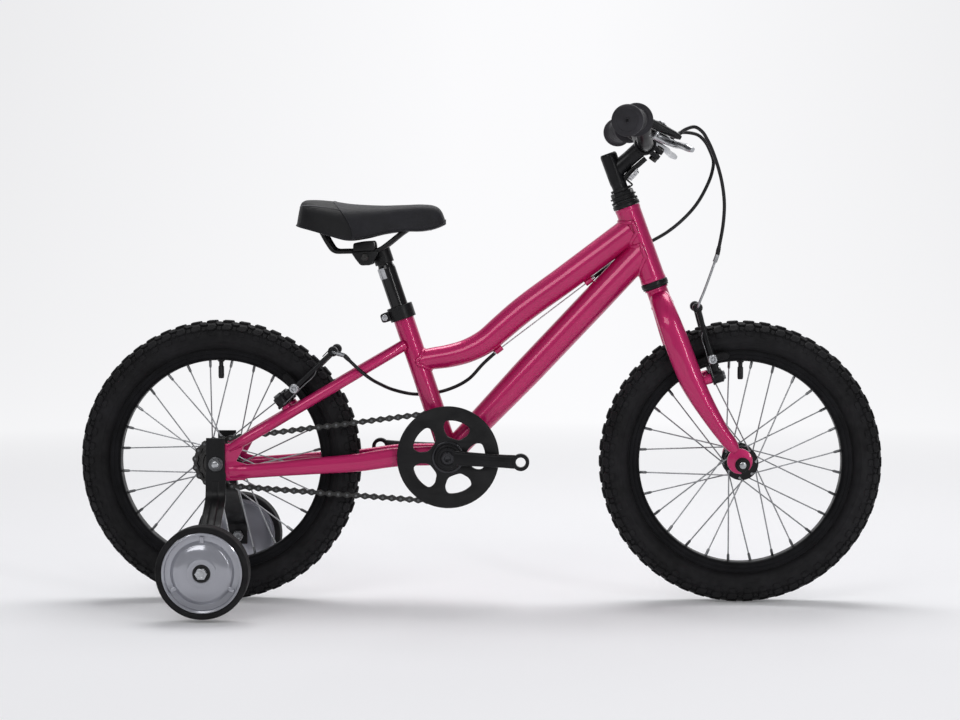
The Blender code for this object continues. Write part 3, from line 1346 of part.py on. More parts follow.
def make_brake_arm(name, brake, side, noodle=None):
    """Brake arm with its boss, capped bolt and eye; the right arm carries the bent noodle."""
    length = BRAKE_ARM_LENGTH
    route = [brake_point(brake, share * length, 0, side * reach) for share, reach in BRAKE_ARM_ROUTE]
    depth = BRAKE_ARM_DEPTH / 2
    boss = side * BRAKE_POST_SPREAD
    eye = side * BRAKE_ARM_ROUTE[-1][1]
    shapes = [
        rod(name, brake_point(brake, 0, -BRAKE_BOSS_HALF, boss), brake_point(brake, 0, BRAKE_BOSS_HALF, boss),
            0.0092, 8),
        rod("bolt", brake_point(brake, 0, BRAKE_BOSS_HALF - 0.001, boss),
            brake_point(brake, 0, BRAKE_BOSS_HALF + 0.0035, boss), 0.0062, 6),
        oval_bar("arm", route, (0.0056, 0.0050, 0.0046, 0.0046, 0.0044), [depth] * 5, 6,
                 across=brake[2], power=3.0),
        rod("eye", brake_point(brake, length, 0, eye - side * 0.0050),
            brake_point(brake, length, 0, eye + side * 0.0050), 0.0072, 8),
    ]
    if noodle is not None:
        shapes.append(tube("noodle", noodle, NOODLE_RADIUS, resolution=0))
        shapes.append(rod("boot", brake_point(brake, length, 0, eye - side * 0.0045),
                          brake_point(brake, length, 0, side * 0.0100), 0.0064, 8, 0.0038))
    bores = [
        rod("bore", brake_point(brake, 0, -0.02, boss), brake_point(brake, 0, BRAKE_BOSS_HALF - 0.0025, boss),
            BRAKE_POST_RADIUS + 2 * GAP, 6),
        rod("pad_hole", brake_point(brake, PAD_HEIGHT_ON_ARM, 0, side * 0.030),
            brake_point(brake, PAD_HEIGHT_ON_ARM, 0, side * 0.047), 0.0036, 6),
    ]
    finish(cut(fused(shapes), bores), name, name, BLACK_ALLOY)


def make_brake_pad(name, axle, brake, side, body_name):
    """Curved rubber pad on its stud, with a washer on each side of the arm and the nut outside."""
    hole = brake_point(brake, PAD_HEIGHT_ON_ARM, 0, 0)
    offset = hole - axle
    radius = offset.length
    middle = math.atan2(offset.z, offset.x)
    inner = RIM_WIDTH / 2 + PAD_CLEARANCE
    outer = inner + PAD_THICKNESS
    sections = []
    for share in (-0.5, -0.42, 0.0, 0.42, 0.5):
        angle = middle + share * PAD_LENGTH / radius
        pinch = 0.0022 if abs(share) == 0.5 else 0.0
        way = Vector((math.cos(angle), 0, math.sin(angle)))
        section = []
        for lateral, height in ((inner, PAD_HEIGHT / 2), (outer - pinch, PAD_HEIGHT / 2 - 0.001),
                                (outer - pinch, 0.001 - PAD_HEIGHT / 2), (inner, -PAD_HEIGHT / 2)):
            section.append(axle + way * (radius - 0.0012 + height) + Y_AXIS * (side * lateral))
        sections.append(section)
    arm_side = float(np.interp(PAD_HEIGHT_ON_ARM / BRAKE_ARM_LENGTH, [p[0] for p in BRAKE_ARM_ROUTE],
                               [p[1] for p in BRAKE_ARM_ROUTE]))
    outward = Y_AXIS * side
    near = arm_side - 0.0056
    far = arm_side + 0.0056
    shapes = [
        loft(name, sections),
        rod("stud", hole + outward * (outer - 0.001), hole + outward * (far + 0.0080), 0.0030, 6),
        rod("washer", hole + outward * (outer - 0.0005), hole + outward * (near - GAP), 0.0068, 6),
        rod("nut", hole + outward * (far + GAP), hole + outward * (far + 0.0062), 0.0062, 6),
    ]
    finish(fused(shapes), name, body_name, BLACK_STEEL)


FRONT_NOODLE = (
    brake_point(FRONT_BRAKE, BRAKE_ARM_LENGTH, 0, -0.0260),
    brake_point(FRONT_BRAKE, BRAKE_ARM_LENGTH, 0, -0.0385),
    brake_point(FRONT_BRAKE, BRAKE_ARM_LENGTH + 0.0020, 0.0012, -0.0430),
    brake_point(FRONT_BRAKE, BRAKE_ARM_LENGTH + 0.0070, 0.0040, -0.0452),
    ahead((-0.0560, -0.0450, -0.0152)),
    ahead((-0.0376, -0.0430, 0.0358)),
)
REAR_NOODLE = (
    brake_point(REAR_BRAKE, BRAKE_ARM_LENGTH, 0, -0.0260),
    brake_point(REAR_BRAKE, BRAKE_ARM_LENGTH, 0, -0.0400),
    brake_point(REAR_BRAKE, BRAKE_ARM_LENGTH + 0.0015, 0.0030, -0.0450),
    brake_point(REAR_BRAKE, BRAKE_ARM_LENGTH + 0.0060, 0.0045, -0.0475),
    brake_point(REAR_BRAKE, BRAKE_ARM_LENGTH + 0.0200, 0.0030, -0.0480),
)


# Brake cables

FRONT_HOUSING_ROUTE = (
    (-0.0840, -0.0870, 0.2135),
    (-0.0711, -0.0820, 0.2166),
    (-0.0607, -0.0780, 0.2100),
    (-0.0534, -0.0730, 0.1990),
    (-0.0395, -0.0620, 0.1674),
    (-0.0314, -0.0540, 0.1393),
    (-0.0276, -0.0480, 0.1109),
    (-0.0288, -0.0450, 0.0824),
    (-0.0333, -0.0435, 0.0548),
)
REAR_HOUSING_ROUTE_AT_BAR = (
    (-0.0840, 0.0870, 0.2135),
    (-0.0689, 0.0840, 0.2138),
    (-0.0566, 0.0810, 0.2101),
    (-0.0481, 0.0780, 0.2020),
    (-0.0403, 0.0720, 0.1871),
    (-0.0358, 0.0660, 0.1724),
    (-0.0382, 0.0580, 0.1562),
    (-0.0478, 0.0480, 0.1327),
    (-0.0619, 0.0390, 0.1094),
    (-0.0817, 0.0320, 0.0877),
    (-0.1033, 0.0275, 0.0704),
    (-0.1275, 0.0258, 0.0563),
    (-0.1575, 0.0250, 0.0408),
    (-0.1775, 0.0220, 0.0288),
    (-0.1925, 0.0155, 0.0183),
    (-0.2035, 0.0085, 0.0100),
)
REAR_HOUSING_ROUTE = (
    (0.3785, 0.0020, 0.1406),
    (0.3545, 0.0120, 0.1154),
    (0.3116, 0.0195, 0.0968),
    (0.2764, 0.0185, 0.0941),
    (0.2495, 0.0060, 0.1006),
    (0.2325, -0.0160, 0.1086),
    (0.2165, -0.0380, 0.1186),
    (0.2025, -0.0475, 0.1306),
)


def make_front_housing():
    """Housing of the front brake, from the right lever's barrel down to the noodle's ferrule."""
    end = FRONT_NOODLE[-1]
    before = ahead(FRONT_HOUSING_ROUTE[-1])
    way = (end - before).normalized()
    stop = end - way * (GAP + 0.0002)
    route = smooth_route([ahead(p) for p in FRONT_HOUSING_ROUTE] + [stop - way * 0.0122], HOUSING_STEP)
    factors = [1.0] * len(route)
    ferrule = FERRULE_RADIUS / HOUSING_RADIUS
    route = route + [stop - way * 0.0120, stop]
    factors = factors + [ferrule, ferrule]
    finish(tube("front_brake_housing", route, HOUSING_RADIUS, factors, 1), "front_brake_housing", "steer",
           CABLE_BLACK)


def make_rear_cable():
    """Housing from the left lever to the first stop, then the bare wire and the rear housing."""
    face = FRONT_STOP - WIRE_BACK * (STOP_HALF + GAP)
    route = smooth_route([ahead(p) for p in REAR_HOUSING_ROUTE_AT_BAR] + [face - WIRE_BACK * 0.001, face],
                         HOUSING_STEP)
    finish(tube("rear_brake_front_housing", route, HOUSING_RADIUS, None, 1), "rear_brake_front_housing",
           "steer", CABLE_BLACK)
    thin = WIRE_RADIUS / HOUSING_RADIUS
    leave = REAR_STOP + WIRE_BACK * (STOP_HALF + GAP)
    end = REAR_NOODLE[-1]
    way = (REAR_NOODLE[-1] - REAR_NOODLE[-2]).normalized()
    bend = smooth_route([leave + WIRE_BACK * 0.0002, leave + WIRE_BACK * 0.012] + behind(REAR_HOUSING_ROUTE)
                        + [end + way * 0.0120], HOUSING_STEP)
    route = [FRONT_STOP - WIRE_BACK * (STOP_HALF - 0.001), leave] + bend
    factors = [thin, thin] + [1.0] * len(bend)
    ferrule = FERRULE_RADIUS / HOUSING_RADIUS
    route = route + [end + way * 0.0118, end + way * (GAP + 0.0002)]
    factors = factors + [ferrule, ferrule]
    finish(tube("rear_brake_cable", route, HOUSING_RADIUS, factors, 1), "rear_brake_cable", "frame",
           CABLE_BLACK)


# Front reflector, placed as the handlebar is

REFLECTOR_CENTRE = (-0.1545, 0.0, 0.1523)
REFLECTOR_WIDTH = 0.0520
REFLECTOR_HEIGHT = 0.0195
LENS_MARGIN = 0.0030


def make_reflector():
    """Lens in its holder on a strap, from a ring round the quill above the locknut."""
    ring_base = on_steering_axis(HEAD_TUBE_LENGTH + UPPER_CUP_HEIGHT + LOCKNUT_HEIGHT + 2 * GAP)
    ring_top = ring_base + STEER_UP * 0.0040
    ring = rod("front_reflector", ring_base, ring_top, QUILL_RADIUS + 0.0035, 12)
    edge = Vector((0.680, 0, 0.733))
    facing = Vector((0.733, 0, -0.680))
    centre = ahead(REFLECTOR_CENTRE)
    strap = [ring_base + STEER_UP * 0.0020 + STEER_FORWARD * 0.0125,
             ring_base + STEER_UP * 0.0030 + STEER_FORWARD * 0.0180,
             centre - edge * 0.0060]
    shapes = [
        ring,
        oval_bar("strap", strap, (0.0018, 0.0018, 0.0018), (0.0070, 0.0070, 0.0070), 6, power=4.0),
        block("holder", (REFLECTOR_HEIGHT, REFLECTOR_WIDTH, 0.0036),
              frame_at(centre - facing * 0.0018, facing, edge)),
        block("lens", (REFLECTOR_HEIGHT - 0.0020, REFLECTOR_WIDTH - LENS_MARGIN, 0.0045),
              frame_at(centre + facing * 0.0020, facing, edge)),
    ]
    bore = rod("bore", ring_base - STEER_UP * 0.01, ring_top + STEER_UP * 0.01, QUILL_RADIUS + 2 * GAP, 12)
    finish(cut(fused(shapes), [bore]), "front_reflector", "steer", REFLECTOR_WHITE)


# Seat

def make_seatpost():
    """Seatpost with the narrower neck that the saddle clamp grips."""
    low = on_seat_tube(SEAT_TUBE_TOP) - SEAT_UP * SEATPOST_INSERT
    top = on_seat_tube(SEATPOST_TOP)
    length = (top - low).length
    neck = length - 0.0255
    profile = [
        (0, 0),
        (SEATPOST_RADIUS, 0),
        (SEATPOST_RADIUS, neck - 0.003),
        (SEATPOST_NECK_RADIUS, neck),
        (SEATPOST_NECK_RADIUS, length),
        (0, length),
    ]
    finish(turned("seatpost", profile, 14, frame_at(low, SEAT_UP, (1, 0, 0))), "seatpost", "seatpost",
           BLACK_ALLOY)


def make_saddle_clamp():
    """Sleeve on the seatpost's neck, with the cross drum that the caps grip, and their bolt."""
    top = on_seat_tube(SEATPOST_TOP) - SEAT_UP * 0.0005
    low = top - SEAT_UP * 0.0240
    bolt = CLAMP_BOLT
    sleeve = rod("saddle_clamp", low, top, SEATPOST_NECK_RADIUS + 0.0038, 14)
    drum = rod("drum", bolt - Y_AXIS * 0.0155, bolt + Y_AXIS * 0.0155, CLAMP_DRUM_RADIUS, 12)
    clamp = cut(fused([sleeve, drum]), [
        rod("bore", low - SEAT_UP * 0.01, top + SEAT_UP * 0.01, SEATPOST_NECK_RADIUS + 2 * GAP, 14),
        rod("bolt_hole", bolt - Y_AXIS * 0.03, bolt + Y_AXIS * 0.03, 0.0040 + 2 * GAP, 8),
    ])
    finish(clamp, "saddle_clamp", "seatpost", BLACK_STEEL)
    shapes = [rod("saddle_clamp_caps", bolt - Y_AXIS * 0.0335, bolt + Y_AXIS * 0.0335, 0.0040, 8)]
    holes = []
    for side in (LEFT, RIGHT):
        shapes.append(rod("cap", bolt + Y_AXIS * (side * 0.0158), bolt + Y_AXIS * (side * 0.0290),
                          CLAMP_CAP_RADIUS, 12))
        shapes.append(rod("nut", bolt + Y_AXIS * (side * 0.0285), bolt + Y_AXIS * (side * 0.0345), 0.0068, 6))
        holes.append(rod("groove", on_saddle(-GROOVE_REACH, side * RAIL_SPREAD, RAIL_ABOVE_BOLT),
                         on_saddle(GROOVE_REACH, side * RAIL_SPREAD, RAIL_ABOVE_BOLT),
                         RAIL_RADIUS + 2 * GAP, 6))
    finish(cut(fused(shapes), holes), "saddle_clamp_caps", "saddle", BLACK_STEEL)


def make_saddle():
    """Rails, the moulded base that holds them, and the padded cover on top."""
    left = [on_saddle(*p) for p in RAIL_ROUTE]
    right = [on_saddle(forward, -side, rise) for forward, side, rise in RAIL_ROUTE[:-1]]
    finish(tube("saddle_rails", right + left[::-1], RAIL_RADIUS, None, 1), "saddle_rails", "saddle",
           BRIGHT_STEEL)
    base_sections = []
    cover_sections = []
    for forward, half, top_rise, bottom_rise in SADDLE_SHAPE:
        x = CLAMP_BOLT.x + forward
        top = CLAMP_BOLT.z + top_rise
        bottom = CLAMP_BOLT.z + bottom_rise
        seam = bottom + SADDLE_SEAM_RISE
        base = [(1.0, seam - GAP), (0.0, seam - GAP), (-1.0, seam - GAP), (-0.93, bottom + 0.002),
                (-0.72, bottom), (0.0, bottom), (0.72, bottom), (0.93, bottom + 0.002)]
        base_sections.append([Vector((x, (half - 0.0006) * share, z)) for share, z in base])
        rise = top - seam
        cover = [(1.0, seam), (0.985, seam + rise * 0.35), (0.92, seam + rise * 0.66),
                 (0.76, seam + rise * 0.88),
                 (0.45, top - rise * 0.03), (0.0, top - rise * 0.02), (-0.45, top - rise * 0.03),
                 (-0.76, seam + rise * 0.88), (-0.92, seam + rise * 0.66), (-0.985, seam + rise * 0.35),
                 (-1.0, seam)]
        cover_sections.append([Vector((x, half * share, z)) for share, z in cover])
    sockets = []
    for side in (LEFT, RIGHT):
        end, before = [on_saddle(forward, side * spread, rise) for forward, spread, rise in RAIL_ROUTE[:2]]
        way = (end - before).normalized()
        sockets.append(rod("socket", end - way * 0.020, end + way * 0.0008, RAIL_RADIUS + 2 * GAP, 6))
    finish(cut(loft("saddle_base", base_sections), sockets), "saddle_base", "saddle", BLACK_PLASTIC)
    finish(loft("saddle_cover", cover_sections), "saddle_cover", "saddle", SADDLE_VINYL)


# Stabilisers

def make_stabiliser_bracket(name, side):
    """Bent steel strap on the rear axle, out and down to the small wheel's axle bolt."""
    high = AXLE_HEIGHT + BRACKET_TOP_RISE
    bend = AXLE_HEIGHT - BRACKET_BEND_DROP
    middle = (BRACKET_INNER + BRACKET_OUTER) / 2
    low = STABILISER_AXLE.z - 0.0125
    knee = STABILISER_AXLE.z + 0.0165
    half = BRACKET_THICKNESS / 2
    path = [(middle, high), (middle, bend), (BRACKET_PLATE_REACH, knee), (BRACKET_PLATE_REACH, low)]
    sections = []
    for index, (y, z) in enumerate(path):
        first = path[max(index - 1, 0)]
        last = path[min(index + 1, len(path) - 1)]
        before = Vector((y - first[0], z - first[1]))
        after = Vector((last[0] - y, last[1] - z))
        if index == 0:
            before = after
        if index == len(path) - 1:
            after = before
        before.normalize()
        after.normalize()
        along = (before + after).normalized()
        mitre = half / max(0.3, along.dot(before))
        out = Vector((along.y, -along.x))
        if out.x < 0:
            out = -out
        rear = REAR_AXLE.x - BRACKET_REAR
        front = rear + BRACKET_WIDTH
        if index == len(path) - 1:
            front = front + 0.002
        sections.append([Vector((rear, side * (y - out.x * mitre), z - out.y * mitre)),
                         Vector((rear, side * (y + out.x * mitre), z + out.y * mitre)),
                         Vector((front, side * (y + out.x * mitre), z + out.y * mitre)),
                         Vector((front, side * (y - out.x * mitre), z - out.y * mitre))])
    strap = loft(name, sections)
    outward = Y_AXIS * side
    strap = cut(strap, [rod("axle_hole", REAR_AXLE + outward * (BRACKET_INNER - BRACKET_THICKNESS),
                            REAR_AXLE + outward * (BRACKET_OUTER + BRACKET_THICKNESS),
                            AXLE_RADIUS + GAP, 12)])
    inner = BRACKET_PLATE_REACH - half
    outer = STABILISER_INNER_FACE + STABILISER_WIDTH + 0.0018
    shapes = [
        strap,
        rod("axle", STABILISER_AXLE + outward * (inner - 0.001), STABILISER_AXLE + outward * (outer + 0.002),
            STABILISER_AXLE_RADIUS, 8),
        rod("bolt_head", STABILISER_AXLE + outward * (inner - 0.0055),
            STABILISER_AXLE + outward * (inner + 0.0005), 0.0085, 6),
        rod("end_nut", STABILISER_AXLE + outward * outer, STABILISER_AXLE + outward * (outer + 0.0050),
            0.0088, 6),
    ]
    finish(fused(shapes), name, "frame", BLACK_STEEL)


def make_stabiliser_wheel(suffix, side):
    """Moulded disc with a domed outer face, and the solid ribbed tyre pressed round it."""
    place = frame_at(STABILISER_AXLE + Y_AXIS * (side * STABILISER_INNER_FACE), Y_AXIS * side, DOWN)
    seat = STABILISER_RADIUS - STABILISER_TYRE
    width = STABILISER_WIDTH
    bore = STABILISER_AXLE_RADIUS + GAP
    disc = [
        (bore, -0.0012),
        (0.0120, -0.0012),
        (0.0130, 0.0140),
        (seat - 0.006, 0.0165),
        (seat - 0.004, 0.0020),
        (seat - GAP, 0.0020),
        (seat - GAP, width - 0.0014),
        (seat - 0.012, width - 0.0040),
        (0.0113, width + 0.0015),
        (bore, width + 0.0015),
    ]
    tyre = [
        (seat, 0.0),
        (seat + 0.0055, 0.0),
        (STABILISER_RADIUS, 0.0055),
        (STABILISER_RADIUS, width - 0.0055),
        (seat + 0.0055, width),
        (seat, width),
    ]
    body_name = "stabiliser_wheel_" + suffix
    disc_name = "stabiliser_disc_" + suffix
    tyre_name = "stabiliser_tyre_" + suffix
    finish(turned(disc_name, disc, STABILISER_SEGMENTS, place, ring=True), disc_name, body_name,
           CLEAR_PLASTIC)
    finish(turned(tyre_name, tyre, STABILISER_SEGMENTS, place, ring=True), tyre_name, body_name,
           TYRE_RUBBER)


# Building

def make_bodies():
    body("frame", Vector((0, 0, 0)))
    body("steer", HEAD_BOTTOM)
    body("front_wheel", FRONT_AXLE)
    body("rear_wheel", REAR_AXLE)
    body("freewheel", REAR_AXLE)
    body("crank", BRACKET_CENTRE)
    body("seatpost", on_seat_tube(SEAT_TUBE_TOP))
    body("saddle", CLAMP_BOLT)
    for suffix, side in (("right", RIGHT), ("left", LEFT)):
        body("stabiliser_wheel_" + suffix, STABILISER_AXLE + Y_AXIS * (side * STABILISER_INNER_FACE))
        body("brake_lever_" + suffix, lever_point(side, LEVER_PIVOT[0], 0, LEVER_PIVOT[1]))
        for place, brake in (("front", FRONT_BRAKE), ("rear", REAR_BRAKE)):
            body(place + "_brake_arm_" + suffix, brake_point(brake, 0, 0, side * BRAKE_POST_SPREAD))


def make_wheels():
    front_end = FRONT_HUB_SPACING / 2 - 0.0100
    rear_left_end = REAR_HUB_SPACING / 2 - 0.0100
    rear_right_end = -REAR_HUB_SPACING / 2 + 0.0060
    for name, axle in (("front", FRONT_AXLE), ("rear", REAR_AXLE)):
        make_tyre(name + "_tyre", axle, name + "_wheel")
        make_rim(name + "_rim", axle, name + "_wheel")
        make_valve(name + "_valve", axle, name + "_wheel")
    make_hub("front_hub", FRONT_AXLE, "front_wheel", -FRONT_FLANGE_OFFSET, FRONT_FLANGE_OFFSET,
             FRONT_FLANGE_RADIUS, -front_end, front_end)
    make_hub("rear_hub", REAR_AXLE, "rear_wheel", REAR_FLANGE_RIGHT, REAR_FLANGE_LEFT,
             REAR_FLANGE_RADIUS, rear_right_end, rear_left_end, boss=FREEWHEEL_BOSS_RADIUS)
    reach = NUT_HEIGHT + WASHER_THICKNESS + 0.0015
    make_axle("front_axle", FRONT_AXLE, "steer", front_end, -front_end, FORK_DROPOUT_INNER,
              FORK_DROPOUT_OUTER + reach)
    make_axle("rear_axle", REAR_AXLE, "frame", rear_left_end, rear_right_end, REAR_DROPOUT_INNER,
              BRACKET_OUTER + reach)
    for suffix, side in (("right", RIGHT), ("left", LEFT)):
        make_axle_nut("front_axle_nut_" + suffix, FRONT_AXLE, "steer", side, FORK_DROPOUT_OUTER)
        make_axle_nut("rear_axle_nut_" + suffix, REAR_AXLE, "frame", side, BRACKET_OUTER)


def make_bicycle():
    make_bodies()
    make_frame()
    make_seat_collar()
    make_bottom_bracket()
    make_wheels()
    make_chainring()
    make_chain_guard()
    make_freewheel(REAR_FLANGE_RIGHT)
    make_chain()
    make_crank("crank_arm_right", RIGHT)
    make_crank("crank_arm_left", LEFT)
    make_spindle()
    make_headset()
    make_fork()
    make_stem()
    make_handlebar()
    make_seatpost()
    make_saddle_clamp()
    make_saddle()
    make_reflector()
    make_front_housing()
    make_rear_cable()
    for suffix, side in (("right", RIGHT), ("left", LEFT)):
        make_grip("grip_" + suffix, side)
        make_lever_bracket("brake_lever_bracket_" + suffix, side)
        make_lever("brake_lever_" + suffix, side)
        make_stabiliser_bracket("stabiliser_bracket_" + suffix, side)
        make_stabiliser_wheel(suffix, side)
        for place, axle, brake, noodle in (("front", FRONT_AXLE, FRONT_BRAKE, FRONT_NOODLE),
                                           ("rear", REAR_AXLE, REAR_BRAKE, REAR_NOODLE)):
            arm = place + "_brake_arm_" + suffix
            make_brake_arm(arm, brake, side, noodle if side == RIGHT else None)
            make_brake_pad(place + "_brake_pad_" + suffix, axle, brake, side, arm)


make_bicycle()
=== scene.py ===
import json

import bmesh
import bpy
import numpy as np
from bpy.props import FloatProperty, FloatVectorProperty, IntProperty, PointerProperty
from bpy.types import Operator, Panel, PropertyGroup
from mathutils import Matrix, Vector


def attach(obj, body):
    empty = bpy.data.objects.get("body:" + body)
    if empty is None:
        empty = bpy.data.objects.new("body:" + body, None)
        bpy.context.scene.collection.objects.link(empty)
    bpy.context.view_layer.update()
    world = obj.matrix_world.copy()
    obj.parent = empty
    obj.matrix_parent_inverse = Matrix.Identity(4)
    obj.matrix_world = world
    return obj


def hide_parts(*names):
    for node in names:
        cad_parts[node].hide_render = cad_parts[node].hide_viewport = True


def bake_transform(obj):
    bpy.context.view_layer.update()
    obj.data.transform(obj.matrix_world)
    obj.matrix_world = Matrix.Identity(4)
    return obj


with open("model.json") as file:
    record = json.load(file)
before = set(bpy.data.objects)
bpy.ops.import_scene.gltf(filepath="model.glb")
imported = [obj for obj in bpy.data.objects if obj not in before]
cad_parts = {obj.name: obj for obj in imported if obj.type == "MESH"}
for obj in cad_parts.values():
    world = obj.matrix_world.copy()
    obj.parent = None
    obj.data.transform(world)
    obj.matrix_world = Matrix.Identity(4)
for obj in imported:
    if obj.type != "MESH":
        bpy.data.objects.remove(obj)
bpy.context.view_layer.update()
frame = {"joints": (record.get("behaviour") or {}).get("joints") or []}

bl_info = {
    "name": "Childrens bicycle",
    "version": (1, 0, 0),
    "blender": (4, 5, 0),
    "location": "3D View > Sidebar > Bicycle",
    "description": "Sixteen-inch bicycle with stabilisers, dressed over its solid model",
    "category": "Add Mesh",
}

JOINTS = {joint["name"]: joint for joint in frame["joints"]}


def pivot(joint):
    """Place of a joint in the frame, as an array."""
    return np.array(JOINTS[joint]["pos_m"], float)


Y = np.array([0.0, 1.0, 0.0])
Z = np.array([0.0, 0.0, 1.0])
X = np.array([1.0, 0.0, 0.0])
REAR = pivot("rear_wheel_turn")
FRONT = pivot("front_wheel_turn")
CRANK = pivot("crank_turn")
HEAD = pivot("steering")
UP = np.array(JOINTS["steering"]["axis"], float)
AHEAD = np.array([UP[2], 0.0, -UP[0]])
SEAT_UP = np.array([-0.318959, 0.0, 0.947768])
CLAMP = pivot("saddle_tilt")
LEFT, RIGHT = 1, -1
SIDES = ((RIGHT, "right"), (LEFT, "left"))
TURN = 2 * np.pi

# Sizes that the solid model fixes, in metres
RIM_OUTER, RIM_INNER, RIM_HALF = 0.1585, 0.1443, 0.015
SPOKES_A_SIDE = 14
AXLE_RADIUS, NUT, WASHER = 0.00475, 0.0062, 0.0018
CHAIN_PITCH = 0.0127
CHAIN_LINE = 0.04
CHAIN_RUN = 26
RING_TEETH, SPROCKET_TEETH = 32, 16
GUARD_LINE = 0.0465
CRANK_LENGTH = 0.1035
CRANK_ANGLE = np.radians(-3.0)
HEAD_TUBE = 0.1125
BAR_RADIUS = 0.0111
BRAKE_ARM = 0.101
BRAKE_POST = 0.04
PAD_UP = 0.0255
REAR_TIP, FORK_TIP = 0.0575, 0.0505
COLLAR_HEIGHT, SEAT_TUBE_TOP, POST_TOP = 0.4155, 0.4235, 0.508
BRACKET_X = -0.373
STABILISER_INNER = 0.184
STABILISER_WIDTH = 0.03


# Sizes and colours that can be changed

def length(name, description, default):
    return FloatProperty(name=name, description=description, default=default, unit="LENGTH", precision=5)


def colour(name, description, default):
    return FloatVectorProperty(
        name=name, description=description, default=default, subtype="COLOR", size=3, min=0.0, max=1.0)


class BICYCLE_PG_colours(PropertyGroup):
    """Colours of the finishes, as linear light."""
    paint: colour("Paint", "Gloss paint of the frame and the fork", (0.47, 0.004, 0.106))
    alloy: colour("Black alloy", "Rims, cranks, bar, stem and brake arms", (0.0055, 0.0055, 0.0065))
    steel: colour("Black steel", "Blackened steel of brackets and guards", (0.005, 0.005, 0.0056))
    bright: colour("Bright steel", "Bolts, levers and axle ends", (0.5, 0.51, 0.53))
    rubber: colour("Tyre rubber", "Tyres, grips and brake pads", (0.005, 0.0048, 0.0057))
    vinyl: colour("Saddle cover", "Grained cover of the saddle", (0.0105, 0.0105, 0.0138))
    plastic: colour("Black plastic", "Mouldings and cable housing", (0.005, 0.005, 0.006))
    smoky: colour("Smoky plastic", "Discs of the stabiliser wheels", (0.44, 0.45, 0.5))
    floor: colour("Studio", "Floor and backdrop", (0.9, 0.9, 0.92))


class BICYCLE_PG_wheels(PropertyGroup):
    """Tyres, spokes and stabiliser wheels."""
    knob_pitches: IntProperty(
        name="Knob pitches", description="Rows of tread round a tyre", default=54, min=20)
    knob_height: length("Knob height", "Height of the tread over the casing", 0.0029)
    spoke_radius: length("Spoke radius", "Half the thickness of a spoke", 0.001)
    nipple_radius: length("Nipple radius", "Half the thickness of a spoke nipple", 0.002)
    disc_dome: length("Disc dome", "How far the stabiliser disc bulges at its middle", 0.0094)


class BICYCLE_PG_frame(PropertyGroup):
    """Frame, saddle and small parts."""
    weld_radius: length("Weld bead", "Half the thickness of a weld bead", 0.0037)
    weld_ripple: FloatProperty(
        name="Weld ripple", description="Share by which a bead swells and thins",
        default=0.04, min=0.0, max=0.5)
    piping_radius: length("Piping", "Half the thickness of the saddle's edge piping", 0.0015)
    grip_ribs: IntProperty(name="Grip ribs", description="Rings moulded round each grip", default=15, min=2)
    housing_radius: length("Cable housing", "Half the thickness of the brake housing", 0.0025)


class BICYCLE_PG_studio(PropertyGroup):
    """Camera and lights."""
    lens: FloatProperty(name="Lens", description="Focal length on a 36 mm sensor", default=91.7, min=10.0)
    overhead: FloatProperty(
        name="Overhead light", description="Power of the soft box above", default=46.0, unit="POWER")
    near: FloatProperty(
        name="Near light", description="Power of the soft box on the camera's side",
        default=40.0, unit="POWER")
    sky: FloatProperty(name="Fill", description="Strength of the pale surroundings", default=0.3, min=0.0)


# Surfaces as whole arrays: each is a pair of points and a list of face arrays

def unit(vectors):
    """Vectors divided by their length."""
    vectors = np.asarray(vectors, float)
    return vectors / np.maximum(np.linalg.norm(vectors, axis=-1, keepdims=True), 1e-12)


def merge(*parts):
    """Several surfaces as one: their points in a row, their faces renumbered."""
    points, faces, base = [], [], 0
    for part_points, part_faces in parts:
        points.append(part_points)
        faces += [face + base for face in part_faces]
        base += len(part_points)
    return np.concatenate(points), faces


def skin(grid, wrap_rows=False, wrap_columns=True, caps=True):
    """Surface through a grid of points; open ends of wrapped columns are closed by flat caps."""
    rows, columns = grid.shape[:2]
    index = np.arange(rows * columns).reshape(rows, columns)
    if wrap_rows:
        index = np.concatenate([index, index[:1]])
    if wrap_columns:
        index = np.concatenate([index, index[:, :1]], 1)
    quads = np.stack([index[:-1, :-1], index[:-1, 1:], index[1:, 1:], index[1:, :-1]], -1).reshape(-1, 4)
    faces = [quads]
    if caps and wrap_columns and not wrap_rows:
        faces += [index[:1, -2::-1], index[-1:, :-1]]
    return grid.reshape(-1, 3), faces


def power_of(values, power):
    """Sign times |value|^(2 / power), which carries a circle over to a superellipse."""
    return np.sign(values) * np.abs(values) ** (2 / power)


def sweep(route, deep, wide=None, across=None, sides=16, power=2.0, ring=False, turn=0.0):
    """Bar along a route: |a / wide|^power + |b / deep|^power = 1, with wide lying across."""
    route = np.asarray(route, float)
    if ring:
        ways = unit(np.roll(route, -1, 0) - np.roll(route, 1, 0))
    else:
        ways = unit(np.gradient(route, axis=0))
    if across is None:
        across = np.linalg.svd(ways, full_matrices=False)[2][-1]
    side = unit(across - ways * (ways @ np.asarray(across, float))[:, None])
    rise = np.cross(ways, side)
    deep = np.broadcast_to(deep, len(route))
    wide = deep if wide is None else np.broadcast_to(wide, len(route))
    angle = TURN * np.arange(sides) / sides + turn
    a = wide[:, None] * power_of(np.cos(angle), power)
    b = deep[:, None] * power_of(np.sin(angle), power)
    grid = route[:, None] + side[:, None] * a[..., None] + rise[:, None] * b[..., None]
    return skin(grid, wrap_rows=ring)


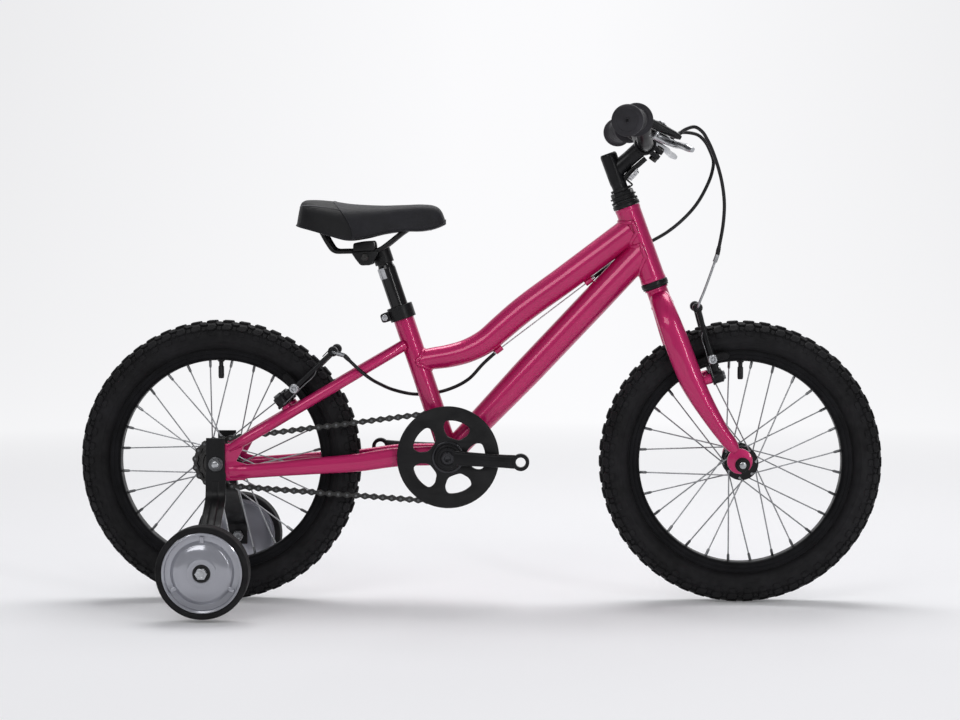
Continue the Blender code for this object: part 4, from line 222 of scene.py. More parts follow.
def lathe(profile, centre, axis, sides=48, ring=False, wave=None, turn=0.0):
    """Profile of (radius, height) carried round an axis; the wave adds to the radius by angle."""
    profile = np.asarray(profile, float)
    axis = unit(axis)
    u = unit(np.cross(axis, (0.0, 0.0, 1.0) if abs(axis[2]) < 0.8 else (0.0, 1.0, 0.0)))
    v = np.cross(axis, u)
    angle = TURN * np.arange(sides) / sides + turn
    radius = np.repeat(profile[:, :1], sides, 1)
    if wave is not None:
        radius = radius + wave(angle)[None] * (profile[:, 2:3] if profile.shape[1] > 2 else 1.0)
    around = np.cos(angle)[:, None] * u + np.sin(angle)[:, None] * v
    grid = np.asarray(centre, float) + radius[..., None] * around + profile[:, 1, None, None] * axis
    return skin(grid, wrap_rows=ring)


def soften(points, cut, steps=3, ring=False):
    """The polyline with each corner replaced by a quadratic curve that starts a cut away from it."""
    points = np.asarray(points, float)
    before = np.roll(points, 1, 0) - points
    after = np.roll(points, -1, 0) - points
    reach = np.minimum(np.linalg.norm(before, axis=1), np.linalg.norm(after, axis=1)) * 0.45
    reach = np.minimum(reach, cut)[:, None]
    start = points + unit(before) * reach
    end = points + unit(after) * reach
    t = np.linspace(0, 1, steps + 1)[None, :, None]
    curves = (1 - t) ** 2 * start[:, None] + 2 * t * (1 - t) * points[:, None] + t ** 2 * end[:, None]
    if ring:
        return curves.reshape(-1, points.shape[1])
    return np.concatenate([points[:1], curves[1:-1].reshape(-1, points.shape[1]), points[-1:]])


def turned(points, cut, steps, centre, axis, sides, **more):
    """Closed profile with its corners rounded, carried round an axis."""
    return lathe(soften(points, cut, steps, ring=True), centre, axis, sides, ring=True, **more)


def band(inner, outer, low, high):
    """Oblong profile of a plain ring, as (radius, height)."""
    return [(inner, low), (outer, low), (outer, high), (inner, high)]


def clamp_profile(inner, edge, outer, end, shoulder):
    """Profile of a clamp: a tube whose outside drops from its crest to an edge at both ends."""
    half = [(inner, end), (edge, end), (outer, shoulder)]
    return [(radius, -side) for radius, side in half] + half[::-1]


def smooth(points, count):
    """Hermite curve through the rows of a table, read at even steps of its chords."""
    points = np.asarray(points, float)
    chord = np.r_[0, np.cumsum(np.linalg.norm(np.diff(points[:, :3], axis=0), axis=1))]
    slope = np.gradient(points, chord, axis=0)
    place = np.linspace(0, chord[-1], count)
    i = np.clip(np.searchsorted(chord, place, side="right") - 1, 0, len(points) - 2)
    h = (chord[i + 1] - chord[i])[:, None]
    t = (place - chord[i])[:, None] / h
    return ((2 * t ** 3 - 3 * t ** 2 + 1) * points[i] + (t ** 3 - 2 * t ** 2 + t) * h * slope[i]
            + (3 * t ** 2 - 2 * t ** 3) * points[i + 1] + (t ** 3 - t ** 2) * h * slope[i + 1])


def rod(start, end, radius, sides=24, round_by=0.0006, end_radius=None, turn=0.0):
    """Round bar between two points with its two rims rounded."""
    start, end = np.asarray(start, float), np.asarray(end, float)
    reach = np.linalg.norm(end - start)
    last = radius if end_radius is None else end_radius
    cut = min(round_by, reach * 0.4, radius * 0.5)
    profile = soften([(0, 0), (radius, 0), (last, reach), (0, reach)], cut, 2)
    return lathe(profile, start, end - start, sides, turn=turn)


def hexagon(start, end, radius):
    """Hexagon head whose edges are chamfered like a turned bolt's."""
    start, end = np.asarray(start, float), np.asarray(end, float)
    reach = np.linalg.norm(end - start)
    bevel = min(0.0007, reach * 0.2)
    profile = [(0, 0), (radius - bevel, 0), (radius, bevel), (radius, reach - bevel), (radius - bevel, reach),
               (radius * 0.55, reach), (radius * 0.5, reach - bevel * 0.6), (0, reach - bevel * 0.6)]
    return lathe(profile, start, end - start, 6)


def tubes(starts, ends, radius, sides=8):
    """Many thin straight bars at once: a ring of points at each end of every one."""
    starts, ends = np.asarray(starts, float), np.asarray(ends, float)
    ways = unit(ends - starts)
    guide = np.where(np.abs(ways[:, 1:2]) > 0.9, X, Y)
    u = unit(np.cross(ways, guide))
    v = np.cross(ways, u)
    angle = TURN * np.arange(sides) / sides
    ring = radius * (np.cos(angle)[:, None, None] * u + np.sin(angle)[:, None, None] * v)
    points = np.stack([starts + ring, ends + ring]).transpose(2, 0, 1, 3).reshape(-1, 3)
    base = (np.arange(len(starts)) * 2 * sides)[:, None]
    i = np.arange(sides)
    j = (i + 1) % sides
    quads = (base[..., None] + np.stack([i, j, j + sides, i + sides], -1)).reshape(-1, 4)
    return points, [quads, base + i[::-1], base + i + sides]


def blocks(points, faces, matrices, centres):
    """Copies of a small shape: every copy turned by its matrix and moved to its centre."""
    copies = np.einsum("nij,mj->nmi", matrices, points) + centres[:, None]
    offset = np.arange(len(centres)) * len(points)
    return copies.reshape(-1, 3), [(face[None] + offset[:, None, None]).reshape(-1, face.shape[1])
                                   for face in faces]


def plate(outlines, thickness, centre, across, upward, bevel=0.0004):
    """Flat plate with rounded rims; the first outline holds the others as openings."""
    curve = bpy.data.curves.new("plate", "CURVE")
    curve.dimensions = "2D"
    curve.fill_mode = "BOTH"
    curve.extrude = thickness / 2 - bevel
    curve.bevel_depth = bevel
    curve.bevel_resolution = 1
    curve.offset = -bevel
    for number, outline in enumerate(outlines):
        outline = np.asarray(outline, float)
        x, y = outline.T
        area = np.sum(x * np.roll(y, -1) - np.roll(x, -1) * y)
        if (area < 0) == (number == 0):
            outline = outline[::-1]
        spline = curve.splines.new("POLY")
        spline.points.add(len(outline) - 1)
        flat = np.zeros((len(outline), 4))
        flat[:, :2] = outline
        flat[:, 3] = 1
        spline.points.foreach_set("co", flat.ravel())
        spline.use_cyclic_u = True
    holder = bpy.data.objects.new("plate", curve)
    mesh = bpy.data.meshes.new_from_object(holder)
    points = np.empty(len(mesh.vertices) * 3, np.float32)
    mesh.vertices.foreach_get("co", points)
    starts, sizes = np.empty((2, len(mesh.polygons)), np.int32)
    mesh.polygons.foreach_get("loop_start", starts)
    mesh.polygons.foreach_get("loop_total", sizes)
    corners = np.empty(len(mesh.loops), np.int32)
    mesh.loops.foreach_get("vertex_index", corners)
    faces = [corners[starts[sizes == size][:, None] + np.arange(size)] for size in np.unique(sizes)]
    bpy.data.objects.remove(holder)
    bpy.data.meshes.remove(mesh)
    across, upward = unit(across), unit(upward)
    points = points.reshape(-1, 3) @ np.stack([across, upward, np.cross(across, upward)])
    return points + np.asarray(centre, float), faces


def polar(radius, angle):
    """Points in a plane: radius times (cosine, sine) of the angle."""
    return np.stack([radius * np.cos(angle), radius * np.sin(angle)], -1)


def disc_outline(radius, count=48):
    return polar(radius, TURN * np.arange(count) / count)


# Slot names for the finishes, unless a piece names its own; piece works the name out but gives it to nothing
SLOTS = {"paint": "raspberry_paint", "alloy": "black_alloy", "black_steel": "black_steel",
         "plastic": "black_plastic", "housing": "cable_housing", "steel": "bright_steel",
         "spoke": "spoke_steel", "chain": "chain_steel", "tyre": "tyre_rubber", "grip": "grip_rubber",
         "pad": "pad_rubber", "vinyl": "saddle_vinyl", "smoky": "smoky_plastic", "lens": "reflector_white"}


def piece(name, parts, body, shade, *nodes, slot=None, sharp=38, bevel=0.0, tags=None):
    """Weld the parts, point the faces outwards, finish the object and hang it on its body."""
    points, faces = merge(*parts)
    corners = np.concatenate([face.ravel() for face in faces]).astype(np.int32)
    sizes = np.concatenate([np.full(len(face), face.shape[1]) for face in faces])
    mesh = bpy.data.meshes.new(name)
    mesh.vertices.add(len(points))
    mesh.vertices.foreach_set("co", points.astype(np.float32).ravel())
    mesh.loops.add(len(corners))
    mesh.loops.foreach_set("vertex_index", corners)
    mesh.polygons.add(len(sizes))
    mesh.polygons.foreach_set("loop_start", np.r_[0, np.cumsum(sizes)[:-1]].astype(np.int32))
    mesh.update(calc_edges=True)
    mesh.validate()
    if tags is not None:
        mesh.attributes.new("panel", "FLOAT", "POINT").data.foreach_set("value", tags.astype(np.float32))
    bm = bmesh.new()
    bm.from_mesh(mesh)
    bmesh.ops.remove_doubles(bm, verts=bm.verts, dist=2e-6)
    bmesh.ops.dissolve_degenerate(bm, dist=1e-7, edges=bm.edges)
    bmesh.ops.recalc_face_normals(bm, faces=bm.faces)
    bm.to_mesh(mesh)
    bm.free()
    mesh.shade_smooth()
    mesh.set_sharp_from_angle(angle=np.radians(sharp))
    mesh.materials.append(finish(shade))
    obj = bpy.data.objects.new(name, mesh)
    bpy.context.scene.collection.objects.link(obj)
    if bevel:
        rounding = obj.modifiers.new("edges", "BEVEL")
        rounding.width = bevel
        rounding.segments = 2
        rounding.limit_method = "ANGLE"
        rounding.angle_limit = np.radians(40)
    slot = slot or SLOTS[shade]
    if nodes:
        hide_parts(*nodes)
    if body:
        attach(obj, body)
    return obj


# Finishes

class Finish:
    """A Principled material with object coordinates, to which patterns are added."""

    def __init__(self, name, base, **sockets):
        self.material = bpy.data.materials.new(name)
        self.material.use_nodes = True
        self.tree = self.material.node_tree
        self.shader = self.tree.nodes["Principled BSDF"]
        self.base = np.array(base, float)
        self.shader.inputs["Base Color"].default_value = (*base, 1.0)
        for socket, value in sockets.items():
            self.shader.inputs[socket.replace("_", " ")].default_value = value
        self.place = self.add("ShaderNodeTexCoord").outputs["Object"]

    def add(self, kind, inputs=None, **settings):
        node = self.tree.nodes.new(kind)
        for key, value in settings.items():
            setattr(node, key, value)
        for key, value in (inputs or {}).items():
            if isinstance(value, bpy.types.NodeSocket):
                self.tree.links.new(value, node.inputs[key])
            else:
                node.inputs[key].default_value = value
        return node

    def noise(self, scale, detail=3.0, stretch=None):
        place = self.place
        if stretch:
            place = self.add("ShaderNodeMapping", {"Vector": place, "Scale": stretch}).outputs[0]
        return self.add("ShaderNodeTexNoise", {"Vector": place, "Scale": scale, "Detail": detail}).outputs[0]

    def cells(self, scale, feature="F1"):
        node = self.add("ShaderNodeTexVoronoi", {"Vector": self.place, "Scale": scale}, feature=feature)
        return node.outputs["Distance"]

    def spread(self, value, low, high, start=0.3, end=0.7):
        """The value's range from start to end, carried over to low and high."""
        inputs = {"Value": value, "From Min": start, "From Max": end, "To Min": low, "To Max": high}
        return self.add("ShaderNodeMapRange", inputs).outputs[0]

    def math(self, operation, *values):
        return self.add("ShaderNodeMath", dict(enumerate(values)), operation=operation).outputs[0]

    def tint(self, value, dark, light):
        """Base colour shaded from dark to light shares of itself by the value."""
        ramp = self.add("ShaderNodeValToRGB", {"Fac": value})
        for element, place, share in zip(ramp.color_ramp.elements, (0.3, 0.7), (dark, light)):
            element.position = place
            element.color = (*np.clip(self.base * share, 0, 1), 1.0)
        self.put(ramp.outputs[0], "Base Color")

    def put(self, value, socket):
        self.tree.links.new(value, self.shader.inputs[socket])

    def rough(self, pattern, low, high, *ends):
        self.put(self.spread(pattern, low, high, *ends), "Roughness")

    def bump(self, *layers):
        """Bumps of (height, strength, distance), each laid over the one before."""
        normal = None
        for height, strength, distance in layers:
            inputs = {"Height": height, "Strength": strength, "Distance": distance}
            if normal is not None:
                inputs["Normal"] = normal
            normal = self.add("ShaderNodeBump", inputs).outputs[0]
        self.put(normal, "Normal")


def paint_finish(colours):
    """Metallic base with fine flakes under a clear coat that has a faint orange peel."""
    shade = Finish("raspberry_paint", colours.paint, Metallic=0.4, Roughness=0.38, Coat_Weight=0.85,
                   Coat_Roughness=0.06, Coat_IOR=1.45, Specular_IOR_Level=0.36)
    flakes = shade.cells(2600.0)
    clouds = shade.noise(9.0, 2.0)
    mixed = shade.math("ADD", shade.spread(flakes, 0.25, 0.75, 0.1, 0.6), shade.spread(clouds, -0.12, 0.12))
    shade.tint(mixed, 0.86, 1.12)
    shade.rough(shade.noise(1400.0, 1.0), 0.34, 0.48)
    peel = {"Height": shade.noise(240.0, 2.0), "Strength": 0.05, "Distance": 0.0004}
    peel = shade.add("ShaderNodeBump", peel).outputs[0]
    shade.put(peel, "Coat Normal")
    return shade.material


def black_finish(name, base, metallic, low, high, grain, strength):
    """Satin black skin: cloudy colour, uneven gloss and a fine powder-coat grain."""
    shade = Finish(name, base, Metallic=metallic, Specular_IOR_Level=0.32)
    shade.tint(shade.noise(38.0, 4.0), 0.7, 1.6)
    shade.rough(shade.noise(60.0, 5.0), low, high)
    shade.bump((shade.noise(grain, 2.0), strength, 0.0003))
    return shade.material


def steel_finish(name, base, low, high, stretch, metallic=1.0):
    """Plated or drawn steel: fine lines along one way, cloudy gloss and small dull specks."""
    shade = Finish(name, base, Metallic=metallic)
    lines = shade.noise(120.0, 3.0, stretch)
    shade.tint(shade.noise(70.0, 4.0), 0.78, 1.08)
    shade.rough(lines, low, high)
    shade.bump((lines, 0.1, 0.0002))
    return shade.material


def rubber_finish(name, base, low, high):
    """Moulded rubber: dull, a little dusty, with a matt texture and faint mould marks."""
    shade = Finish(name, base, Specular_IOR_Level=0.26, Sheen_Weight=0.02, Sheen_Roughness=0.5)
    shade.tint(shade.noise(26.0, 5.0), 0.6, 1.8)
    shade.rough(shade.noise(90.0, 4.0), low, high)
    shade.bump((shade.noise(900.0, 3.0), 0.2, 0.0003), (shade.noise(160.0, 2.0), 0.12, 0.0004))
    return shade.material


def vinyl_finish(colours):
    """Leathercloth: pebbled grain of small cells, creased between them, with a soft sheen."""
    shade = Finish("saddle_vinyl", colours.vinyl, Specular_IOR_Level=0.3, Sheen_Weight=0.02,
                   Sheen_Roughness=0.4)
    grain = shade.cells(1150.0)
    folds = shade.noise(420.0, 3.0)
    panel = shade.add("ShaderNodeAttribute", attribute_name="panel").outputs["Fac"]
    cloud = shade.spread(shade.noise(34.0, 4.0), 0.38, 0.62)
    shade.tint(shade.math("ADD", cloud, shade.spread(panel, 0.0, -0.36, 0.0, 1.0)), 0.35, 1.6)
    shade.rough(grain, 0.4, 0.62, 0.05, 0.6)
    shade.bump((grain, 0.34, 0.0005), (folds, 0.16, 0.0005))
    return shade.material


def smoky_finish(colours):
    """Grey see-through plastic with flow marks from its gate and a smooth gloss."""
    shade = Finish("smoky_plastic", colours.smoky, Metallic=0.3, Transmission_Weight=0.35, IOR=1.5,
                   Coat_Weight=1.0, Coat_Roughness=0.03)
    shade.tint(shade.noise(9.0, 2.0), 0.9, 1.08)
    shade.rough(shade.noise(40.0, 2.0), 0.1, 0.18)
    return shade.material


def lens_finish():
    """Reflector lens: rows of small prisms under clear plastic."""
    shade = Finish("reflector_white", (0.74, 0.75, 0.77), Transmission_Weight=0.25, IOR=1.49, Roughness=0.12,
                   Coat_Weight=1.0, Coat_Roughness=0.03)
    prisms = shade.cells(520.0)
    shade.tint(prisms, 0.62, 1.18)
    shade.bump((prisms, 0.55, 0.0008))
    return shade.material


def finish(name):
    """The named finish, made when it is first asked for."""
    found = bpy.data.materials.get("bike_" + name)
    if found:
        return found
    colours = bpy.context.scene.bicycle_colours
    grey, rubber = np.array(tuple(colours.bright)), np.array(tuple(colours.rubber))
    maker, *settings = {
        "paint": (paint_finish, colours),
        "alloy": (black_finish, "black_alloy", colours.alloy, 0.3, 0.26, 0.42, 700.0, 0.1),
        "rim": (black_finish, "rim_alloy", colours.alloy, 0.7, 0.4, 0.56, 700.0, 0.1),
        "black_steel": (black_finish, "black_steel", colours.steel, 0.2, 0.28, 0.48, 480.0, 0.16),
        "gloss": (black_finish, "gloss_black", colours.steel, 0.0, 0.12, 0.22, 260.0, 0.04),
        "plastic": (black_finish, "black_plastic", colours.plastic, 0.0, 0.38, 0.56, 620.0, 0.2),
        "housing": (black_finish, "cable_housing", colours.plastic, 0.0, 0.26, 0.38, 300.0, 0.06),
        "steel": (steel_finish, "bright_steel", grey, 0.2, 0.38, (1.0, 1.0, 6.0)),
        "dark_steel": (steel_finish, "dark_steel", 0.3 * grey, 0.24, 0.42, (1.0, 1.0, 6.0)),
        "dark_gloss": (steel_finish, "dark_gloss", (0.05, 0.05, 0.054), 0.14, 0.26, (8.0, 8.0, 8.0)),
        "spoke": (steel_finish, "spoke_steel", 0.7 * grey, 0.34, 0.52, (5.0, 5.0, 5.0)),
        "chain": (steel_finish, "chain_steel", (0.06, 0.059, 0.058), 0.26, 0.46, (8.0, 8.0, 8.0)),
        "tyre": (rubber_finish, "tyre_rubber", rubber, 0.62, 0.82),
        "grip": (rubber_finish, "grip_rubber", 4.2 * rubber, 0.5, 0.66),
        "pad": (rubber_finish, "pad_rubber", 0.9 * rubber, 0.6, 0.8),
        "thread": (rubber_finish, "thread", (0.16, 0.16, 0.17), 0.55, 0.75),
        "vinyl": (vinyl_finish, colours),
        "smoky": (smoky_finish, colours),
        "lens": (lens_finish,),
    }[name]
    made = maker(*settings)
    made.name = "bike_" + name
    return made


# Wheels

# Axle, flanges and their radius, ends of the shell, radius of its right boss, inner face of the dropout,
# face under the nuts, and the body that holds the axle
HUBS = {"front": (FRONT, (-0.0275, 0.0275), 0.0245, (-0.0375, 0.0375), 0.0098, 0.0475, 0.0535, "steer"),
        "rear": (REAR, (-0.0215, 0.029), 0.0235, (-0.049, 0.045), 0.0145, 0.055, 0.0648, "frame")}


def wheel_point(axle, angle, radius, side):
    """Points at a radius and an angle round an axle, out to a side; the arguments broadcast."""
    angle, radius, side = np.broadcast_arrays(angle, radius, side)
    return axle + np.stack([radius * np.cos(angle), side, radius * np.sin(angle)], -1)


def casing(samples=121):
    """Tyre section as (radius, side): a power-2.25 oval, with faint mould rings on its walls."""
    t = np.radians(np.linspace(-62, 242, samples))
    rings = 0.00035 * (np.exp(-((np.abs(np.sin(t)) - 0.3) / 0.05) ** 2)
                       + np.exp(-((np.sin(t) + 0.25) / 0.05) ** 2))
    radius = 0.1785 + (0.0204 + rings) * power_of(np.sin(t), 2.25)
    side = (0.0238 + rings) * power_of(np.cos(t), 2.25)
    return np.stack([radius, side], -1)


def tyre(axle, sizes):
    """Casing turned round the axle, and knobs laid on it by distance round and across."""
    section = casing()
    feet = np.array([[0.1555, 0.0116], [0.1515, 0.0108]])
    profile = np.concatenate([feet[::-1], section, feet * (1, -1)])
    carcass = lathe(profile, axle, Y, 224, ring=True)
    step = np.diff(section, axis=0)
    arc = np.r_[0, np.cumsum(np.linalg.norm(step, axis=1))]
    arc -= arc[-1] / 2
    normal = unit(np.gradient(section, axis=0)) @ np.array([[0.0, 1.0], [-1.0, 0.0]])
    outline = soften([(1, 1), (-1, 1), (-1, -1), (1, -1)], 0.45, 1, ring=True)
    levels = ((1.12, -0.22), (0.98, 0.8), (0.84, 1.0))
    shape = np.concatenate([np.c_[outline * spread, np.full(len(outline), height)]
                            for spread, height in levels])
    ring = np.arange(len(outline))
    sides = [np.stack([ring + base, np.roll(ring, -1) + base, np.roll(ring, -1) + base + len(ring),
                       ring + base + len(ring)], -1) for base in (0, len(ring))]
    faces = [np.concatenate(sides), ring[None, ::-1], ring[None] + 2 * len(ring)]
    high = sizes.knob_height
    rows = np.array([
        # across, half length, half width, height, phase, skew
        (0.0044, 0.007, 0.0036, high * 1.1, 0.0, 0.45),
        (0.0136, 0.0056, 0.004, high, 0.5, -0.3),
        (0.0222, 0.007, 0.004, high * 1.15, 0.0, 0.3),
        (0.0232, 0.003, 0.003, high * 0.8, 0.5, 0.0),
        (0.0302, 0.0056, 0.0034, high * 0.6, 0.0, 0.0),
    ])
    mirrored = rows * (-1, 1, 1, 1, 1, -1)
    mirrored[1:, 4] += 0.5
    rows = np.concatenate([rows, mirrored])
    number = np.arange(sizes.knob_pitches)
    row, number = [value.ravel() for value in np.meshgrid(np.arange(len(rows)), number)]
    across, half_long, half_wide, height, phase, skew = rows[row].T[..., None]
    along = shape[:, 0] * half_long + shape[:, 1] * half_wide * skew
    s = across + shape[:, 1] * half_wide
    base_radius, base_side = [np.interp(s, arc, column) for column in section.T]
    out_radius, out_side = [np.interp(s, arc, column) for column in normal.T]
    lift = shape[:, 2] * height
    angle = TURN * (number[:, None] + phase) / sizes.knob_pitches + along / 0.2
    points = wheel_point(axle, angle, base_radius + out_radius * lift, base_side + out_side * lift)
    offset = (np.arange(len(row)) * len(shape))[:, None, None]
    knobs = points.reshape(-1, 3), [(face[None] + offset).reshape(-1, face.shape[1]) for face in faces]
    return [carcass, knobs]


def spoke_ends(axle, flange, radius, shift):
    """Both ends of the spokes of one flange: hub holes and the rim places two steps on or back."""
    side = np.sign(flange)
    index = np.arange(SPOKES_A_SIDE)
    step = TURN / SPOKES_A_SIDE
    hole = index * step + shift * step
    way = np.where(index % 2 == 0, 1.0, -1.0)
    offset = side * 0.0021 * way
    start = wheel_point(axle, hole, radius - 0.0035, flange + offset)
    end = wheel_point(axle, hole + way * 2 * step, RIM_INNER - 0.0008, side * 0.003 + offset * 0.6)
    return start, end


def hub_profile(right, left, radius, right_end, left_end, boss):
    """Half section of a hub shell: end bosses, two flanges and a waisted barrel."""
    half = 0.0017
    points = [(0.00505, right_end), (boss, right_end), (boss, right - half - 0.0008),
              (radius - 0.002, right - half), (radius, right - half), (radius, right + half),
              (radius - 0.002, right + half), (0.015, right + 0.0045), (0.0112, right + 0.01),
              (0.0108, (right + left) / 2), (0.0112, left - 0.01), (0.015, left - 0.0045),
              (radius - 0.002, left - half), (radius, left - half), (radius, left + half),
              (radius - 0.002, left + half), (0.0098, left + half + 0.0008), (0.0098, left_end),
              (0.00505, left_end)]
    return soften(points, 0.0012, 3, ring=True)


class BICYCLE_OT_tyres(Operator):
    """Knobbly tyres of both wheels"""
    bl_idname = "bicycle.tyres"
    bl_label = "Tyres"

    def execute(self, context):
        for name, axle in (("front", FRONT), ("rear", REAR)):
            piece(name + "_tyre_tread", tyre(axle, context.scene.bicycle_wheels), name + "_wheel", "tyre",
                  name + "_tyre", sharp=32)
        return {"FINISHED"}


class BICYCLE_OT_rims(Operator):
    """Rims with their wear lines, spoke nipples, and the valves"""
    bl_idname = "bicycle.rims"
    bl_label = "Rims"

    def execute(self, context):
        sizes = context.scene.bicycle_wheels
        half = RIM_HALF
        section = [(RIM_OUTER, half), (RIM_OUTER - 0.001, half), (RIM_OUTER - 0.0046, half - 0.0001),
                   (RIM_OUTER - 0.005, half - 0.0005), (RIM_OUTER - 0.0054, half - 0.0001),
                   (RIM_OUTER - 0.0094, half - 0.0002), (RIM_INNER + 0.0012, half * 0.8),
                   (RIM_INNER, half * 0.62)]
        mirrored = [(radius, -side) for radius, side in section[::-1]]
        inside = [(RIM_OUTER, -half + 0.0022), (0.1506, -half + 0.0026), (0.15, 0.0), (0.1506, half - 0.0026),
                  (RIM_OUTER, half - 0.0022)]
        profile = soften(section + mirrored + inside, 0.0008, 2, ring=True)
        for name, (axle, flanges, radius, *_) in HUBS.items():
            body = name + "_wheel"
            piece(name + "_rim_hoop", [lathe(profile, axle, Y, 168, ring=True)], body, "rim", name + "_rim",
                  slot="black_alloy")
            nipples = []
            for flange, shift in zip(flanges, (0.25, 0.75)):
                start, end = spoke_ends(axle, flange, radius, shift)
                way = unit(end - start)
                nipples.append(tubes(end - way * 0.0085, end + way * 0.0004, sizes.nipple_radius, 8))
                nipples.append(tubes(end - way * 0.01, end - way * 0.0084, sizes.nipple_radius * 0.75, 8))
            piece(name + "_nipples", nipples, body, "dark_steel", slot="spoke_steel")
            root = RIM_INNER + 0.0004
            stem = [(0, 0), (0.0052, 0), (0.005, 0.0022), (0.0031, 0.0034), (0.003, 0.009),
                    (0.004, 0.0096), (0.0041, 0.024), (0.0034, 0.027), (0, 0.0272)]
            stem = lathe(soften(stem, 0.0005, 2), axle + Z * root, -Z, 24,
                         wave=lambda angle: 0.00012 * np.cos(12 * angle))
            piece(name + "_valve_stem", [stem], body, "plastic", name + "_valve")
        return {"FINISHED"}


def hub(name, spoke_radius):
    """Shell of one wheel's hub with its spokes, and the axle with a washer and a nut at each end."""
    axle, flanges, radius, ends, boss, drop, face, holder = HUBS[name]
    body = name + "_wheel"
    right_end, left_end = ends
    shell = lathe(hub_profile(*flanges, radius, *ends, boss), axle, Y, 64, ring=True)
    piece(name + "_hub_shell", [shell], body, "alloy")
    wires, heads = [], []
    for flange, shift in zip(flanges, (0.25, 0.75)):
        start, end = spoke_ends(axle, flange, radius, shift)
        wires.append(tubes(start, end, spoke_radius, 8))
        outward = Y * np.sign(start[:, 1:2] - axle[1] - flange)
        heads.append(tubes(start - outward * 0.0006, start + outward * 0.0011, 0.0018, 10))
    piece(name + "_spokes", wires + heads, body, "spoke", name + "_hub")
    reach = face + NUT + WASHER + 0.0012
    thread = np.arange(0.0005, 0.004, 0.0008)
    tip = np.stack([AXLE_RADIUS - 0.0004 * (np.arange(len(thread)) % 2), reach - thread[::-1]], -1)
    root = AXLE_RADIUS - 0.0002
    steps = [(root, 0.0), (root, left_end + 0.0004), (0.0084, left_end + 0.0006), (0.0084, drop - 0.0006),
             (root, drop - 0.0004)]
    half = np.concatenate([steps, tip, [(0.0036, reach), (0, reach)]])
    other = half * (1, -1)
    other[1:3, 1] = right_end - 0.0004, right_end - 0.0006
    profile = np.concatenate([other[::-1], half])
    piece(name + "_axle_rod", [lathe(profile, axle, Y, 32)], holder, "steel", name + "_axle")
    for side, word in SIDES:
        out = Y * side
        base = axle + out * (face + 0.0003)
        washer = turned(band(0.0053, 0.0105, 0, WASHER), 0.0004, 2, base, out, 40)
        nut = lathe([(0.0053, 0.0018), (0.0086, 0.0018), (0.0087, 0.0024), (0.0087, 0.0074), (0.008, 0.008),
                     (0.0053, 0.008)], base, out, 6, ring=True)
        teeth = turned([(0.0056, 0.0017), (0.0102, 0.0017), (0.0098, 0.0031), (0.0056, 0.0031)], 0.0003, 1,
                       base, out, 72, wave=lambda angle: 0.00022 * np.sign(np.sin(24 * angle)))
        piece(name + "_axle_nut_cap_" + word, [washer, nut, teeth], holder,
              "black_steel" if name == "front" else "dark_steel", name + "_axle_nut_" + word,
              slot="black_steel", bevel=0.0002)


class BICYCLE_OT_hubs(Operator):
    """Hub shells, laced spokes, axles and axle nuts"""
    bl_idname = "bicycle.hubs"
    bl_label = "Hubs and spokes"

    def execute(self, context):
        for name in HUBS:
            hub(name, context.scene.bicycle_wheels.spoke_radius)
        return {"FINISHED"}


# Chain drive

def pitch_radius(teeth):
    """Radius at which a ring of teeth holds its pins: pitch / (2 sin(pi / teeth))."""
    return CHAIN_PITCH / (2 * np.sin(np.pi / teeth))


DRIVE = unit(CRANK - REAR)
SQUARE = np.array([-DRIVE[2], 0.0, DRIVE[0]])


def sprocket(teeth):
    """Tooth outline: the radius swings from under the rollers to the tips, narrower at the tips."""
    angle = TURN * np.arange(teeth * 12) / (teeth * 12)
    swing = 0.5 + 0.5 * np.cos(teeth * angle)
    return polar(pitch_radius(teeth) - 0.004 + 0.0068 * swing ** 1.35, angle)


def spider_openings():
    """Five rounded windows of the chainring, the first straight ahead."""
    shape = np.array([(0.0522, -21), (0.0532, -7), (0.0532, 7), (0.0522, 21), (0.0425, 26), (0.029, 19),
                      (0.0268, 0), (0.029, -19), (0.0425, -26)])
    return [soften(polar(shape[:, 0], np.radians(shape[:, 1] + 72 * arm)), 0.0085, 6, ring=True)
            for arm in range(5)]


def on_pitch_circle(centre, teeth, angle):
    """Points on the pitch circle of a ring of teeth, at angles from the line between the axles."""
    return centre + pitch_radius(teeth) * (np.cos(angle)[:, None] * DRIVE + np.sin(angle)[:, None] * SQUARE)


def chain_pins():
    """Pin centres round the loop: both wraps on their pitch circles, straight runs between."""
    reach = RING_TEETH // 4
    angle = (np.arange(reach, -reach - 2, -1) + 0.5) * TURN / RING_TEETH
    front = on_pitch_circle(CRANK, RING_TEETH, angle)
    reach = SPROCKET_TEETH // 4
    angle = np.pi - (np.arange(-reach, reach) + 0.5) * TURN / SPROCKET_TEETH
    back = on_pitch_circle(REAR, SPROCKET_TEETH, angle)
    share = (np.arange(1, CHAIN_RUN) / CHAIN_RUN)[:, None]
    lower = front[-1] + (back[0] - front[-1]) * share
    upper = back[-1] + (front[0] - back[-1]) * share
    return np.concatenate([front, lower, back, upper])


def link_plate(high, waist):
    """Figure-eight outline of one side plate: two round ends joined by a waist."""
    turn = np.radians(np.linspace(-125, 125, 9))
    end = np.stack([CHAIN_PITCH / 2 + high * np.cos(turn), high * np.sin(turn)], -1)
    middle = np.array([(0.0, waist)])
    return np.concatenate([end, middle, -end, -middle])


def link_solid(outline, low, high):
    """Plate standing across the chain between two distances from its middle."""
    count = len(outline)
    grid = np.stack([np.c_[outline[:, 0], np.full(count, level), outline[:, 1]] for level in (low, high)])
    return skin(grid)


